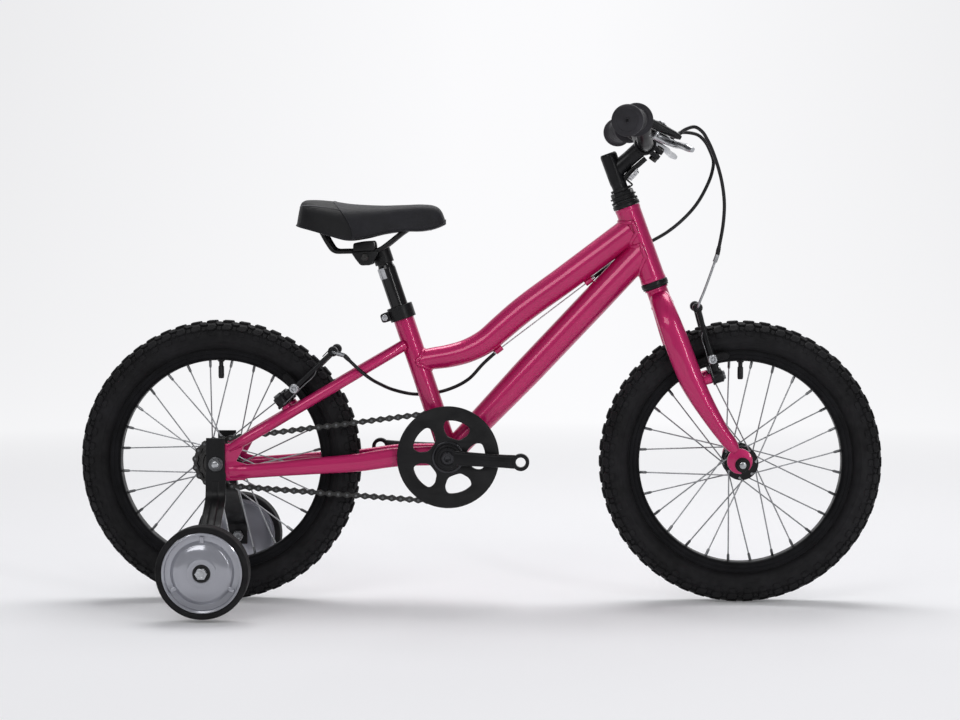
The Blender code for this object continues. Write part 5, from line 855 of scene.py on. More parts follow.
class BICYCLE_OT_chain(Operator):
    """Roller chain with every plate, roller and pin"""
    bl_idname = "bicycle.chain"
    bl_label = "Chain"

    def execute(self, context):
        pins = chain_pins() - Y * CHAIN_LINE
        ends = np.roll(pins, -1, 0)
        ways = unit(ends - pins)
        matrices = np.stack([ways, np.broadcast_to(Y, ways.shape), np.cross(ways, Y)], -1)
        middles = (pins + ends) / 2
        parts = []
        for side in (LEFT, RIGHT):
            outer = link_solid(link_plate(0.0044, 0.0017), side * 0.0035, side * 0.0044)
            inner = link_solid(link_plate(0.0042, 0.0021), side * 0.0024, side * 0.0033)
            parts.append(blocks(*outer, matrices[::2], middles[::2]))
            parts.append(blocks(*inner, matrices[1::2], middles[1::2]))
        parts.append(tubes(pins - Y * 0.0024, pins + Y * 0.0024, 0.0037, 10))
        piece("chain_links", parts, "frame", "chain", "chain", sharp=30)
        pegs = tubes(pins - Y * 0.005, pins + Y * 0.005, 0.0019, 8)
        piece("chain_pins", [pegs], "frame", "dark_steel", slot="chain_steel")
        return {"FINISHED"}


class BICYCLE_OT_drive(Operator):
    """Chainring, guard disc and freewheel"""
    bl_idname = "bicycle.drive"
    bl_label = "Chainring and freewheel"

    def execute(self, context):
        centre = CRANK - Y * CHAIN_LINE
        ring = plate([sprocket(RING_TEETH)] + spider_openings() + [disc_outline(0.0133)], 0.0024, centre,
                     DRIVE, SQUARE)
        piece("chainring_teeth", [ring], "crank", "black_steel", "chainring")
        disc = CRANK - Y * GUARD_LINE
        guard = plate([disc_outline(0.0723, 120)] + spider_openings() + [disc_outline(0.0133)], 0.0018, disc,
                      DRIVE, SQUARE, 0.0005)
        rim = turned([(0.07, -0.0004), (0.0727, -0.0006), (0.0727, 0.0014), (0.07, 0.0012)], 0.0006, 2,
                     disc - Y * -0.0004, -Y, 120)
        collar = turned([(0.0133, 0.0008), (0.0225, 0.0008), (0.0235, 0.0018), (0.0225, 0.0028),
                         (0.0133, 0.0028)], 0.0006, 2, disc, -Y, 64)
        piece("chain_guard_disc", [guard, rim], "crank", "black_steel", "chain_guard")
        piece("chain_guard_collar", [collar], "crank", "dark_gloss", slot="black_steel")
        hub = REAR - Y * CHAIN_LINE
        cog = plate([sprocket(SPROCKET_TEETH), disc_outline(0.017)], 0.0024, hub, DRIVE, SQUARE)
        body = turned([(0.0156, -0.0085), (0.0235, -0.0085), (0.0242, -0.002), (0.025, 0.0016),
                       (0.0246, 0.0064), (0.0205, 0.0066), (0.02, 0.0052), (0.0156, 0.0052)], 0.0006, 2, hub,
                      -Y, 64)
        lock = turned(band(0.011, 0.0198, 0.003, 0.006), 0.0005, 2, hub, -Y, 72,
                      wave=lambda angle: 0.0009 * np.sign(np.sin(4 * angle)) * 0.5)
        piece("freewheel_cog", [cog, body, lock], "freewheel", "chain", "freewheel")
        return {"FINISHED"}


def crank_point(side, along, across=0.0, reach=0.0):
    """Points on a crank: along the arm from the spindle, square to it, and out to its side."""
    turn = CRANK_ANGLE if side == RIGHT else CRANK_ANGLE + np.pi
    way = np.array([np.cos(turn), 0.0, np.sin(turn)])
    square = np.array([-way[2], 0.0, way[0]])
    along, across, reach = [value[..., None] for value in np.broadcast_arrays(along, across, reach)]
    return CRANK + way * along + square * across + Y * (side * reach)


def crank_arm(side, word):
    """Arm with a raised spine, its two eyes, and on the right the seat of the chainring."""
    out = Y * side
    along, deep, wide, reach = smooth(
        [(0.0, 0.0108, 0.0055, 0.0555), (0.02, 0.0102, 0.0053, 0.0564), (0.055, 0.0095, 0.005, 0.058),
         (0.085, 0.0095, 0.005, 0.0594), (0.095, 0.0098, 0.005, 0.0598)], 25).T
    arm = sweep(crank_point(side, along, 0.0, reach), deep, wide, across=Y, sides=32, power=3.4)
    run = np.linspace(0.25, np.pi - 0.25, 13)
    route = crank_point(side, np.linspace(0.016, 0.088, 13), 0.0, np.linspace(0.0602, 0.0637, 13))
    spine = sweep(route, 0.004 * np.sin(run) ** 0.3, 0.0012, across=Y, sides=16, power=2.4)
    eye = turned([(0.0074, 0.0545), (0.0122, 0.0545), (0.0122, 0.0655), (0.0074, 0.0655), (0.007, 0.0648),
                  (0.007, 0.0552)], 0.0008, 2, crank_point(side, CRANK_LENGTH), out, 48)
    low = 0.043 if side == LEFT else 0.0478
    boss = turned([(0.0086, low), (0.0138, low), (0.0145, low + 0.002), (0.0142, 0.0608), (0.0096, 0.061),
                   (0.0092, 0.059), (0.0086, 0.0585)], 0.0008, 3, CRANK, out, 48)
    parts = [arm, spine, eye, boss]
    if side == RIGHT:
        parts += [turned(band(0.0088, 0.0126, 0.038, 0.048), 0.0006, 2, CRANK, out, 40),
                  turned([(0.01, 0.048), (0.0213, 0.048), (0.018, 0.0518), (0.01, 0.0518)], 0.0008, 3, CRANK,
                         out, 48)]
    piece("crank_" + word, parts, "crank", "alloy", "crank_arm_" + word, bevel=0.0003)


class BICYCLE_OT_cranks(Operator):
    """Crank arms, spindle with its bolts, and the bearing cups"""
    bl_idname = "bicycle.cranks"
    bl_label = "Cranks"

    def execute(self, context):
        for side, word in SIDES:
            crank_arm(side, word)
        bolts = [rod(CRANK - Y * 0.037, CRANK + Y * 0.037, 0.0078, 32)]
        for side in (LEFT, RIGHT):
            out = Y * side
            taper = [(0, 0.03), (0.008, 0.034), (0.0078, 0.0605), (0, 0.0606)]
            socket = [(0.0, 0.0612), (0.008, 0.0612), (0.0084, 0.062), (0.0084, 0.0644), (0.0078, 0.0652),
                      (0.0046, 0.0652), (0.0043, 0.0648), (0.0041, 0.062), (0.0, 0.062)]
            washer = [(0.004, 0.0596), (0.0094, 0.0596), (0.0092, 0.0618), (0.004, 0.0618)]
            bolts += [lathe(taper, CRANK, out, 4, turn=np.pi / 4),
                      lathe(soften(socket, 0.0003, 2), CRANK, out, 48),
                      turned(washer, 0.0004, 2, CRANK, out, 40)]
        piece("crank_axle", bolts, "crank", "dark_gloss", "crank_spindle", slot="black_steel", bevel=0.0002)
        face = 0.0343
        cup = [(0.0083, -0.01), (0.0171, -0.01), (0.0171, 0.0), (0.0192, 0.0002), (0.0192, 0.002),
               (0.015, 0.0022), (0.0145, 0.001), (0.0083, 0.001)]
        cups = [turned(cup, 0.0004, 2, CRANK + Y * side * face, Y * side, 96,
                       wave=lambda angle: -0.0004 * (np.sin(16 * angle) > 0.55)) for side in (LEFT, RIGHT)]
        piece("bearing_cups", cups, "frame", "black_steel", "bottom_bracket")
        return {"FINISHED"}


# Frame

def head_point(along, ahead=0.0, side=0.0):
    """Points in the steering frame: along its axis, ahead of it and out to a side."""
    along, ahead, side = [np.asarray(value, float)[..., None] for value in (along, ahead, side)]
    return HEAD + UP * along + AHEAD * ahead + Y * side


def seat_point(height, behind=0.0, side=0.0):
    """Points of the seat tube's axis at a height over the floor, moved square to it and sideways."""
    back = np.array([-SEAT_UP[2], 0.0, SEAT_UP[0]])
    root = CRANK + SEAT_UP * ((height - CRANK[2]) / SEAT_UP[2]) + back * behind
    return root + Y * np.asarray(side, float)[..., None]


def past(route, reach):
    """Point a reach past the last point of a route."""
    return route[-1] + unit(route[-1] - route[-2]) * reach


def slab(start, end, deep, wide, across, power=6.0, sides=32, round_by=0.0008):
    """Block between two points: the superellipse |a / wide|^p + |b / deep|^p = 1 with rounded rims."""
    start, end = np.asarray(start, float), np.asarray(end, float)
    way = unit(end - start)
    cut = min(round_by, np.linalg.norm(end - start) * 0.3)
    route = np.stack([start, start + way * cut * 0.3, start + way * cut, end - way * cut,
                      end - way * cut * 0.3, end])
    inset = cut * np.array([1.0, 0.3, 0.0, 0.0, 0.3, 1.0])
    return sweep(route, deep - inset, wide - inset, across, sides, power)


def meeting(start, way, radius, centre, axis, other, count=120):
    """Closed curve where a tube of one radius first meets the tube round another axis."""
    way, axis = unit(way), unit(axis)
    u = unit(np.cross(way, axis))
    v = np.cross(way, u)
    angle = TURN * np.arange(count) / count
    ring = start + radius * (np.cos(angle)[:, None] * u + np.sin(angle)[:, None] * v)
    gap = ring - centre
    gap = gap - (gap @ axis)[:, None] * axis
    square = way - (way @ axis) * axis
    a, b, c = square @ square, gap @ square, (gap * gap).sum(1) - other ** 2
    reach = (-b - np.sqrt(np.maximum(b * b - a * c, 0))) / a
    return ring + reach[:, None] * way


def bead(route, sizes, ripples=34):
    """Weld bead: a ring bar that swells and thins as it goes round."""
    angle = TURN * np.arange(len(route)) / len(route)
    radius = sizes.weld_radius * (1 + sizes.weld_ripple * np.cos(ripples * angle))
    return sweep(route, radius, sides=10, ring=True)


def mirrored(points, side):
    """The points as they are, or with their sides exchanged."""
    return np.asarray(points, float) * np.r_[1.0, side, 1.0]


def clear_of_post(surface, wall=0.014):
    """Surface with its points inside the seat tube moved out into the tube's wall."""
    points, faces = surface
    along = ((points - CRANK) @ SEAT_UP)[:, None] * SEAT_UP
    away = points - CRANK - along
    reach = np.linalg.norm(away, axis=1)[:, None]
    return CRANK + along + away * np.maximum(1, wall / reach), faces


# Rows of a place and half a thickness, which the seat stay works out; the top tube runs to the rear, and
# the stays run forwards from the rear axle
TOP_TUBE = np.array([(0.215, 0, 0.5333, 0.0198), (0.1269, 0, 0.4671, 0.0196), (0.0507, 0, 0.4104, 0.019),
                     (0.03, 0, 0.3925, 0.0186), (0.008, 0, 0.3738, 0.018), (-0.0183, 0, 0.3601, 0.0172),
                     (-0.0471, 0, 0.3522, 0.0165), (-0.0704, 0, 0.3486, 0.0158), (-0.093, 0, 0.343, 0.0152)])
SEAT_STAY = np.array([(-0.355, 0.0575, 0.2231), (-0.3445, 0.0575, 0.2293), (-0.302, 0.0545, 0.2544),
                      (-0.275, 0.047, 0.2704), (-0.2007, 0.0375, 0.3143), (-0.15, 0.0262, 0.3442),
                      (-0.115, 0.0138, 0.3648), (-0.1085, 0.0108, 0.3687)])
CHAIN_STAY = np.array([(-0.354, 0.0575, 0.1896, 0.0098), (-0.3303, 0.0575, 0.1915, 0.01),
                       (-0.3, 0.053, 0.1936, 0.0104), (-0.24, 0.044, 0.1978, 0.0118),
                       (-0.17, 0.034, 0.2026, 0.013), (-0.12, 0.0275, 0.2092, 0.0136),
                       (-0.056, 0.021, 0.2112, 0.0138)])
# Outline of the rear tips, ahead of the axle and above it
REAR_PLATE = [(0.035, 0.03), (0.0105, 0.0283), (-0.011, 0.0165), (-0.0145, 0.01), (-0.0145, 0.00535),
              (0.004, 0.00535), (0.007, 0.003), (0.007, -0.003), (0.004, -0.00535), (-0.0145, -0.00535),
              (-0.013, -0.013), (0.002, -0.0248), (0.042, -0.0228), (0.044, -0.0008), (0.0283, 0.0036),
              (0.0385, 0.0225)]
# Along the steering axis, ahead of it, out to a side, half depth and half width
FORK_BLADE = np.array([(-0.02, 0, 0.006, 0.012, 0.008), (-0.026, 0, 0.013, 0.0146, 0.0098),
                       (-0.038, 0, 0.027, 0.0152, 0.0105), (-0.057, 0, 0.039, 0.016, 0.0105),
                       (-0.09, 0, 0.044, 0.0175, 0.0105), (-0.14, 0.0012, 0.046, 0.0172, 0.0103),
                       (-0.175, 0.005, 0.047, 0.0152, 0.01), (-0.205, 0.0105, 0.048, 0.013, 0.0092),
                       (-0.235, 0.0175, 0.0495, 0.0106, 0.008), (-0.256, 0.024, 0.0503, 0.009, 0.0068),
                       (-0.264, 0.026, 0.0505, 0.006, 0.0048)])


class BICYCLE_OT_frame(Operator):
    """Painted frame: tubes, stays, dropouts, brake posts, cable stops and weld beads"""
    bl_idname = "bicycle.frame"
    bl_label = "Frame"

    def execute(self, context):
        sizes = context.scene.bicycle_frame
        down = head_point(0.0465) - CRANK
        seat_top = (SEAT_TUBE_TOP - CRANK[2]) / SEAT_UP[2]
        head = [(0.014, 0.0), (0.0184, 0.0), (0.0184, 0.004), (0.0179, 0.0062), (0.0179, HEAD_TUBE - 0.0062),
                (0.0184, HEAD_TUBE - 0.004), (0.0184, HEAD_TUBE), (0.014, HEAD_TUBE)]
        parts = [turned(head, 0.0005, 2, HEAD, UP, 72),
                 turned(band(0.0131, 0.0148, 0.0, seat_top), 0.0004, 2, CRANK, SEAT_UP, 64),
                 turned(band(0.0174, 0.02, -0.034, 0.034), 0.0005, 2, CRANK, Y, 64)]
        table = smooth(TOP_TUBE, 81)
        parts.append(sweep(table[:, :3], table[:, 3], across=Y, sides=48))
        share = np.linspace(0.02, 1, 41)
        radius = np.interp(share, (0, 0.15, 0.4, 0.75, 1), (0.0172, 0.018, 0.0208, 0.021, 0.0202))
        parts.append(sweep(CRANK + share[:, None] * down, radius, across=Y, sides=48))
        for side in (LEFT, RIGHT):
            stay = smooth(mirrored(SEAT_STAY, side), 61)
            run = np.linspace(0, 1, 61)
            deep = 0.008 - 0.0022 * np.exp(-(run / 0.05) ** 2)
            wide = 0.008 - 0.004 * np.exp(-(run / 0.05) ** 2)
            table = smooth(CHAIN_STAY, 61)
            flat = 0.007 - 0.0036 * np.exp(-(run / 0.04) ** 2)
            outline = soften(REAR_PLATE, 0.002, 3, ring=True)
            parts += [clear_of_post(sweep(stay, deep, wide, Y, 28)),
                      sweep(mirrored(table[:, :3], side), table[:, 3], flat, Y, 32, 2.5),
                      plate([outline], 0.005, REAR + Y * side * REAR_TIP, X, Z, 0.0007)]
            parts += BRAKES["rear"].post(side, 0.021)
        parts += [rod((-0.172, -0.031, 0.331), (-0.172, 0.031, 0.331), 0.006, 28),
                  rod((-0.152, -0.032, 0.203), (-0.152, 0.032, 0.203), 0.006, 28)]
        run = unit(np.subtract(REAR_STOP, FRONT_STOP))
        for stop, way in ((FRONT_STOP, run), (REAR_STOP, -run)):
            section = [(0.0012, 0.006), (0.004, 0.006), (0.0042, 0.0045), (0.0042, -0.006),
                       (0.0029, -0.006), (0.0027, 0.003), (0.0012, 0.0034)]
            base = slab(np.array(stop) - way * 0.005, np.array(stop) + way * 0.005, 0.0036, 0.0022, Y, 3.0)
            parts += [turned(section, 0.0004, 2, stop, way, 28), base]
        piece("frame_tubes", parts, "frame", "paint", "frame", sharp=40)
        way = unit(TOP_TUBE[0, :3] - TOP_TUBE[1, :3])
        rear = unit(TOP_TUBE[-1, :3] - TOP_TUBE[-2, :3])
        beads = [meeting(TOP_TUBE[0, :3] - way * 0.06, way, 0.0188, HEAD, UP, 0.0168),
                 meeting(head_point(0.0465) - unit(down) * 0.07, down, 0.0191, HEAD, UP, 0.0168),
                 meeting(TOP_TUBE[-2, :3], rear, 0.0142, CRANK, SEAT_UP, 0.0137),
                 meeting(CRANK + unit(down) * 0.07, -down, 0.0162, CRANK, Y, 0.0189),
                 meeting(CRANK + SEAT_UP * 0.06, -SEAT_UP, 0.0137, CRANK, Y, 0.0189)]
        for side in (LEFT, RIGHT):
            stay = mirrored(CHAIN_STAY[:, :3], side)
            beads.append(meeting(stay[-2], stay[-1] - stay[-2], 0.0086, CRANK, Y, 0.0189))
        piece("frame_welds", [bead(route, sizes) for route in beads], "frame", "paint", sharp=60)
        return {"FINISHED"}


class BICYCLE_OT_fork(Operator):
    """Painted fork: crown, two bowed blades, tips with their slots and brake posts"""
    bl_idname = "bicycle.fork"
    bl_label = "Fork"

    def execute(self, context):
        sizes = context.scene.bicycle_frame
        race = [(0.01, -0.0123), (0.0172, -0.0123), (0.0172, -0.0106), (0.016, -0.0098), (0.01, -0.0098)]
        parts = [rod(*head_point((-0.037, -0.0118)), 0.0152, 56, 0.0012),
                 rod(*head_point((-0.0123, 0.134)), 0.0125, 40), turned(race, 0.0004, 2, HEAD, UP, 56)]
        along, ahead, aside, deep, wide = smooth(FORK_BLADE, 73).T
        tip = FRONT + UP * 0.0055 - X * 0.002
        slot = np.array([(FRONT - tip) @ AHEAD, (FRONT - tip) @ UP])
        wall, radius = 0.00535, 0.018
        first = np.arctan2(-np.sqrt(radius ** 2 - (slot[0] + wall) ** 2), slot[0] + wall)
        last = TURN + np.arctan2(-np.sqrt(radius ** 2 - (slot[0] - wall) ** 2), slot[0] - wall)
        round_by = np.linspace(first, last, 44)
        arch = np.linspace(np.pi, 0, 12)
        outline = np.concatenate([polar(radius, round_by), slot + polar(wall, arch)])
        for side in (LEFT, RIGHT):
            parts += [sweep(head_point(along, ahead, side * aside), deep, wide, Y, 40, 2.15),
                      plate([outline], 0.006, tip + Y * side * FORK_TIP, AHEAD, UP, 0.001)]
            parts += BRAKES["front"].post(side, 0.033)
        piece("fork_blades", parts, "steer", "paint", "fork", sharp=40)
        angle = TURN * np.arange(96) / 96
        rim = head_point(-0.0364, *polar(0.013, angle).T)
        piece("fork_welds", [bead(rim, sizes)], "steer", "paint", sharp=60)
        return {"FINISHED"}


class BICYCLE_OT_headset(Operator):
    """Headset cups, and the locknut with its knurled ring"""
    bl_idname = "bicycle.headset"
    bl_label = "Headset"

    def execute(self, context):
        lower = [(0.013, -0.0003), (0.0189, -0.0003), (0.0195, -0.0012), (0.0195, -0.0062), (0.0186, -0.007),
                 (0.0188, -0.0095), (0.013, -0.0095)]
        upper = [(0.013, 0.1128), (0.019, 0.1128), (0.0195, 0.1136), (0.0195, 0.1178), (0.0184, 0.1188),
                 (0.0186, 0.1203), (0.013, 0.1203)]
        for name, profile in (("headset_lower", lower), ("headset_upper", upper)):
            piece(name + "_ring", [turned(profile, 0.0004, 2, HEAD, UP, 72)], "frame", "black_steel",
                  name + "_cup")
        base = 0.1206
        knurled = [(0.0128, base, 0), (0.0189, base, 1), (0.0191, base + 0.0004, 1),
                   (0.0191, base + 0.0026, 1), (0.0189, base + 0.003, 1), (0.0165, base + 0.0038, 0),
                   (0.0165, base + 0.0064, 0), (0.0187, base + 0.0067, 0), (0.0189, base + 0.0072, 0),
                   (0.0189, base + 0.0088, 0), (0.0187, base + 0.0092, 0), (0.0128, base + 0.0092, 0)]
        nut = [(0.0128, base + 0.009), (0.016, base + 0.009), (0.0167, base + 0.0098),
               (0.0167, base + 0.0144), (0.0158, base + 0.0157), (0.0128, base + 0.0158)]
        ring = lathe(knurled, HEAD, UP, 144, ring=True,
                     wave=lambda angle: -0.0005 * (np.cos(36 * angle) < -0.2))
        piece("headset_nut", [ring, lathe(nut, HEAD, UP, 8, ring=True)], "steer", "black_steel",
              "headset_locknut", bevel=0.0002)
        return {"FINISHED"}


# Bar, stem, grips and levers

CLAMP_CENTRE = np.array([0.235, 0.0, 0.655])
BAR_HALF = np.array([(0.235, 0.0, 0.655), (0.235, 0.027, 0.655), (0.2335, 0.044, 0.657),
                     (0.231, 0.062, 0.664), (0.2283, 0.082, 0.6745), (0.2262, 0.097, 0.6825),
                     (0.2245, 0.112, 0.6861), (0.2134, 0.1805, 0.683), (0.2022, 0.249, 0.68)])
EAR_WAY = np.array([0.81, 0.0, -0.586])
EAR_SQUARE = np.array([0.586, 0.0, 0.81])
LEVER_UP = np.array([0.454, 0.0, 0.891])
LEVER_AHEAD = np.array([0.891, 0.0, -0.454])
PIVOT_AHEAD, PIVOT_REACH = 0.03, 0.116


def bar_end(side):
    """Start of the straight end of the bar, and the way outwards along it."""
    start, end = mirrored(BAR_HALF[-3], side), mirrored(BAR_HALF[-1], side)
    return end, unit(end - start)


def lever_point(side, ahead, up, reach):
    """Points beside the bar: ahead of it and above it in the lever's plane, at a reach along Y."""
    ahead, up, reach = [value[..., None] for value in np.broadcast_arrays(ahead, up, reach)]
    share = (0.125 - BAR_HALF[-3, 1]) / (BAR_HALF[-1, 1] - BAR_HALF[-3, 1])
    base = (BAR_HALF[-3] + (BAR_HALF[-1] - BAR_HALF[-3]) * share) * (1, 0, 1)
    return base + LEVER_AHEAD * ahead + LEVER_UP * up + Y * (side * reach)


def pivot_points(side, low, high):
    """Two points on the axis round which a brake lever turns."""
    return lever_point(side, PIVOT_AHEAD, (low, high), PIVOT_REACH)


class BICYCLE_OT_bar(Operator):
    """Bent handlebar, quill stem with its clamp, and the ribbed grips"""
    bl_idname = "bicycle.bar"
    bl_label = "Bar, stem and grips"

    def execute(self, context):
        half = BAR_HALF.copy()
        half[-1] = half[-1] - bar_end(LEFT)[1] * 0.001
        route = smooth(np.concatenate([mirrored(half[:0:-1], RIGHT), half]), 161)
        piece("bar_tube", [sweep(route, BAR_RADIUS, across=X, sides=40)], "steer", "alloy", "handlebar")
        root = head_point(0.166)
        way = unit(CLAMP_CENTRE - root)
        route = root + (CLAMP_CENTRE - root) * np.linspace(0, 1, 17)[:, None]
        share = np.linspace(0, 1, 17)
        neck = sweep(route, np.interp(share, (0, 0.5, 1), (0.0122, 0.0112, 0.0118)),
                     np.interp(share, (0, 0.5, 1), (0.0107, 0.0112, 0.0162)), Y, 40, 2.5)
        quill = [(0, 0.0741), (0.0111, 0.0741), (0.0111, 0.146), (0.012, 0.15), (0.0122, 0.1905),
                 (0.0108, 0.1935), (0.0068, 0.1935), (0.0062, 0.1925), (0.006, 0.186), (0, 0.186)]
        clamp = clamp_profile(0.0112, 0.015, 0.0155, 0.022, 0.0212)
        parts = [neck, lathe(soften(quill, 0.0008, 3), HEAD, UP, 56),
                 turned(clamp, 0.0008, 3, CLAMP_CENTRE, Y, 64)]
        for low, high in ((-0.0075, -0.0009), (0.0009, 0.0075)):
            middle = CLAMP_CENTRE + EAR_WAY * 0.016
            parts.append(slab(middle + EAR_SQUARE * low, middle + EAR_SQUARE * high, 0.0122, 0.013, Y, 5.0))
        piece("stem_body", parts, "steer", "alloy", "stem", sharp=34)
        bolt = CLAMP_CENTRE + EAR_WAY * 0.0215
        hardware = [rod(bolt - EAR_SQUARE * 0.012, bolt + EAR_SQUARE * 0.0092, 0.0034, 24),
                    hexagon(bolt - EAR_SQUARE * 0.0074, bolt - EAR_SQUARE * 0.013, 0.006),
                    hexagon(bolt + EAR_SQUARE * 0.0074, bolt + EAR_SQUARE * 0.0108, 0.0056),
                    hexagon(*head_point((0.1855, 0.1912)), 0.0052)]
        piece("stem_bolts", hardware, "steer", "chain", slot="black_steel", bevel=0.0002)
        ribs = context.scene.bicycle_frame.grip_ribs
        along = np.linspace(0.0075, 0.083, ribs * 10 + 1)
        ripple = np.abs(np.sin(np.pi * ribs * (along - along[0]) / (along[-1] - along[0])))
        flange = [(0.0112, 0), (0.0228, 0), (0.0232, 0.0012), (0.0228, 0.003), (0.018, 0.0042),
                  (0.0158, 0.0066)]
        closed_end = [(0.0158, 0.085), (0.0178, 0.0895), (0.0211, 0.0915), (0.0216, 0.094), (0.0213, 0.0972),
                      (0.0182, 0.0997), (0.015, 0.1), (0.014, 0.099), (0.0045, 0.099), (0.0038, 0.1),
                      (0.0024, 0.1), (0.002, 0.099), (0.002, 0.0962), (0.0, 0.096)]
        profile = np.concatenate([soften(flange, 0.0012, 3),
                                  np.stack([0.015 + 0.0011 * ripple ** 0.6, along], -1),
                                  soften(closed_end, 0.0006, 3)])
        for side, word in SIDES:
            end, way = bar_end(side)
            start = end - way * 0.0962
            piece("grip_sleeve_" + word, [lathe(profile, start, way, 64)], "steer", "grip", "grip_" + word,
                  sharp=50)
        return {"FINISHED"}


def brake_lever(side, word):
    """Bracket with its clamp and cheek, the barrel and the pivot, and the blade of one lever."""
    end, way = bar_end(side)
    ring = end + way * ((0.13 - abs(end[1])) / abs(way[1]))
    clamp = clamp_profile(0.0112, 0.0146, 0.015, 0.0075, 0.0068)
    ahead, reach, up, deep, wide = smooth(
        [(0.008, 0.1225, 0.004, 0.0056, 0.0098), (0.018, 0.1195, 0.004, 0.0058, 0.0122),
         (0.03, 0.116, 0.004, 0.0058, 0.0138), (0.045, 0.1135, 0.004, 0.0054, 0.012),
         (0.057, 0.113, 0.004, 0.0044, 0.0092), (0.063, 0.113, 0.004, 0.0026, 0.006)], 33).T
    parts = [turned(clamp, 0.0008, 3, ring, way, 56),
             sweep(lever_point(side, ahead, up, reach), deep, wide, Y, 36, 2.8),
             slab(*pivot_points(side, 0.009, 0.0104), 0.0075, 0.0085, Y, 2.2),
             rod(*lever_point(side, (0.0, 0.01), (-0.014, -0.015), 0.13), 0.0042, 24)]
    piece("lever_bracket_" + word, parts, "steer", "plastic", "brake_lever_bracket_" + word, sharp=40)
    start, stop = lever_point(side, (0.054, 0.0575), (0.004, 0.0065), (0.106, 0.09))
    reach = np.linalg.norm(stop - start)
    rings = [(0.0, 0.0), (0.0046, 0.0), (0.0046, reach * 0.3), (0.0035, reach * 0.34), (0.0035, reach * 0.42),
             (0.0046, reach * 0.46), (0.0046, reach * 0.86), (0.0038, reach), (0.0, reach)]
    barrel = lathe(soften(rings, 0.0003, 2), start, stop - start, 48,
                   wave=lambda angle: -0.0003 * (np.cos(14 * angle) < 0))
    parts = [barrel, rod(*pivot_points(side, -0.015, 0.012), 0.0025, 20),
             rod(*pivot_points(side, 0.01, 0.0122), 0.0046, 24)]
    piece("lever_fittings_" + word, parts, "steer", "steel", bevel=0.0001)
    ahead, reach, deep, wide = smooth(
        [(0.03, 0.116, 0.0062, 0.007), (0.042, 0.12, 0.006, 0.006), (0.055, 0.13, 0.0052, 0.0048),
         (0.061, 0.145, 0.0048, 0.0042), (0.0635, 0.17, 0.0046, 0.004), (0.068, 0.195, 0.0046, 0.004),
         (0.075, 0.216, 0.0048, 0.0042), (0.08, 0.225, 0.0034, 0.003)], 57).T
    way = unit(np.gradient(lever_point(side, ahead, 0.0, reach), axis=0).mean(0))
    across = np.cross(LEVER_UP, way)
    blade = sweep(lever_point(side, ahead, -0.0086, reach), deep, wide, across, 28, 2.6)
    root = rod(*pivot_points(side, -0.0138, -0.0034), 0.0075, 32)
    piece("lever_blade_" + word, [blade, root], "brake_lever_" + word, "steel", "brake_lever_" + word)


class BICYCLE_OT_levers(Operator):
    """Brake lever brackets with their barrels, and the levers"""
    bl_idname = "bicycle.levers"
    bl_label = "Brake levers"

    def execute(self, context):
        for side, word in SIDES:
            brake_lever(side, word)
        return {"FINISHED"}


# Brakes and cables

class Brake:
    """One rim brake: its boss beside the rim, the way up its arms and the way out along its pivots."""

    def __init__(self, axle, boss, out):
        self.axle = np.asarray(axle)
        self.boss = np.array([boss[0], 0.0, boss[1]])
        self.out = np.array([out[0], 0.0, out[1]])
        self.up = unit(self.boss - self.axle * (1, 0, 1))

    def at(self, up, out, side):
        up, out, side = [np.asarray(value, float)[..., None] for value in (up, out, side)]
        return self.boss + self.up * up + self.out * out + Y * side

    def post(self, side, depth):
        """Brake post on one side: its root, which starts at a depth, and the pin that the arm turns on."""
        place = self.at(0, 0, side * BRAKE_POST)
        return [rod(place - self.out * depth, place - self.out * 0.0084, 0.0072, 32),
                rod(place - self.out * 0.01, place + self.out * 0.008, 0.0048, 24)]


BRAKES = {"front": Brake(FRONT, (0.336943, 0.326403), (0.961262, 0.275637)),
          "rear": Brake(REAR, (-0.281144, 0.290622), (-0.622515, 0.782608))}
L = BRAKE_ARM
FRONT_NOODLE = np.concatenate([
    BRAKES["front"].at((L, L, L + 0.002, L + 0.007), (0, 0, 0.0012, 0.004),
                       (-0.026, -0.0385, -0.043, -0.0452)),
    [(0.3165, -0.045, 0.445), (0.3349, -0.043, 0.496)]])
REAR_NOODLE = BRAKES["rear"].at(
    (L, L, L + 0.0008, L + 0.004, L + 0.009), (0, 0, -0.0015, -0.006, -0.013),
    (-0.026, -0.0385, -0.0435, -0.047, -0.048))
FRONT_STOP, REAR_STOP = (0.1555, 0.0, 0.46), (0.027, 0.0, 0.362)
FRONT_HOUSING = [(0.2885, -0.087, 0.6737), (0.3014, -0.082, 0.6768), (0.3118, -0.078, 0.6702),
                 (0.3191, -0.073, 0.6592), (0.333, -0.062, 0.6276), (0.3411, -0.054, 0.5995),
                 (0.3449, -0.048, 0.5711), (0.3437, -0.045, 0.5426), (0.3392, -0.0435, 0.515)]
REAR_HOUSING_AT_BAR = [(0.2885, 0.087, 0.6737), (0.3036, 0.084, 0.674), (0.3159, 0.081, 0.6703),
                       (0.3244, 0.078, 0.6622), (0.3322, 0.072, 0.6473), (0.3367, 0.066, 0.6326),
                       (0.3343, 0.058, 0.6164), (0.3247, 0.048, 0.5929), (0.3106, 0.039, 0.5696),
                       (0.2908, 0.032, 0.5479), (0.2692, 0.0275, 0.5306), (0.245, 0.0258, 0.5165),
                       (0.215, 0.025, 0.501), (0.195, 0.022, 0.489), (0.18, 0.0155, 0.4785),
                       (0.169, 0.0085, 0.4702)]
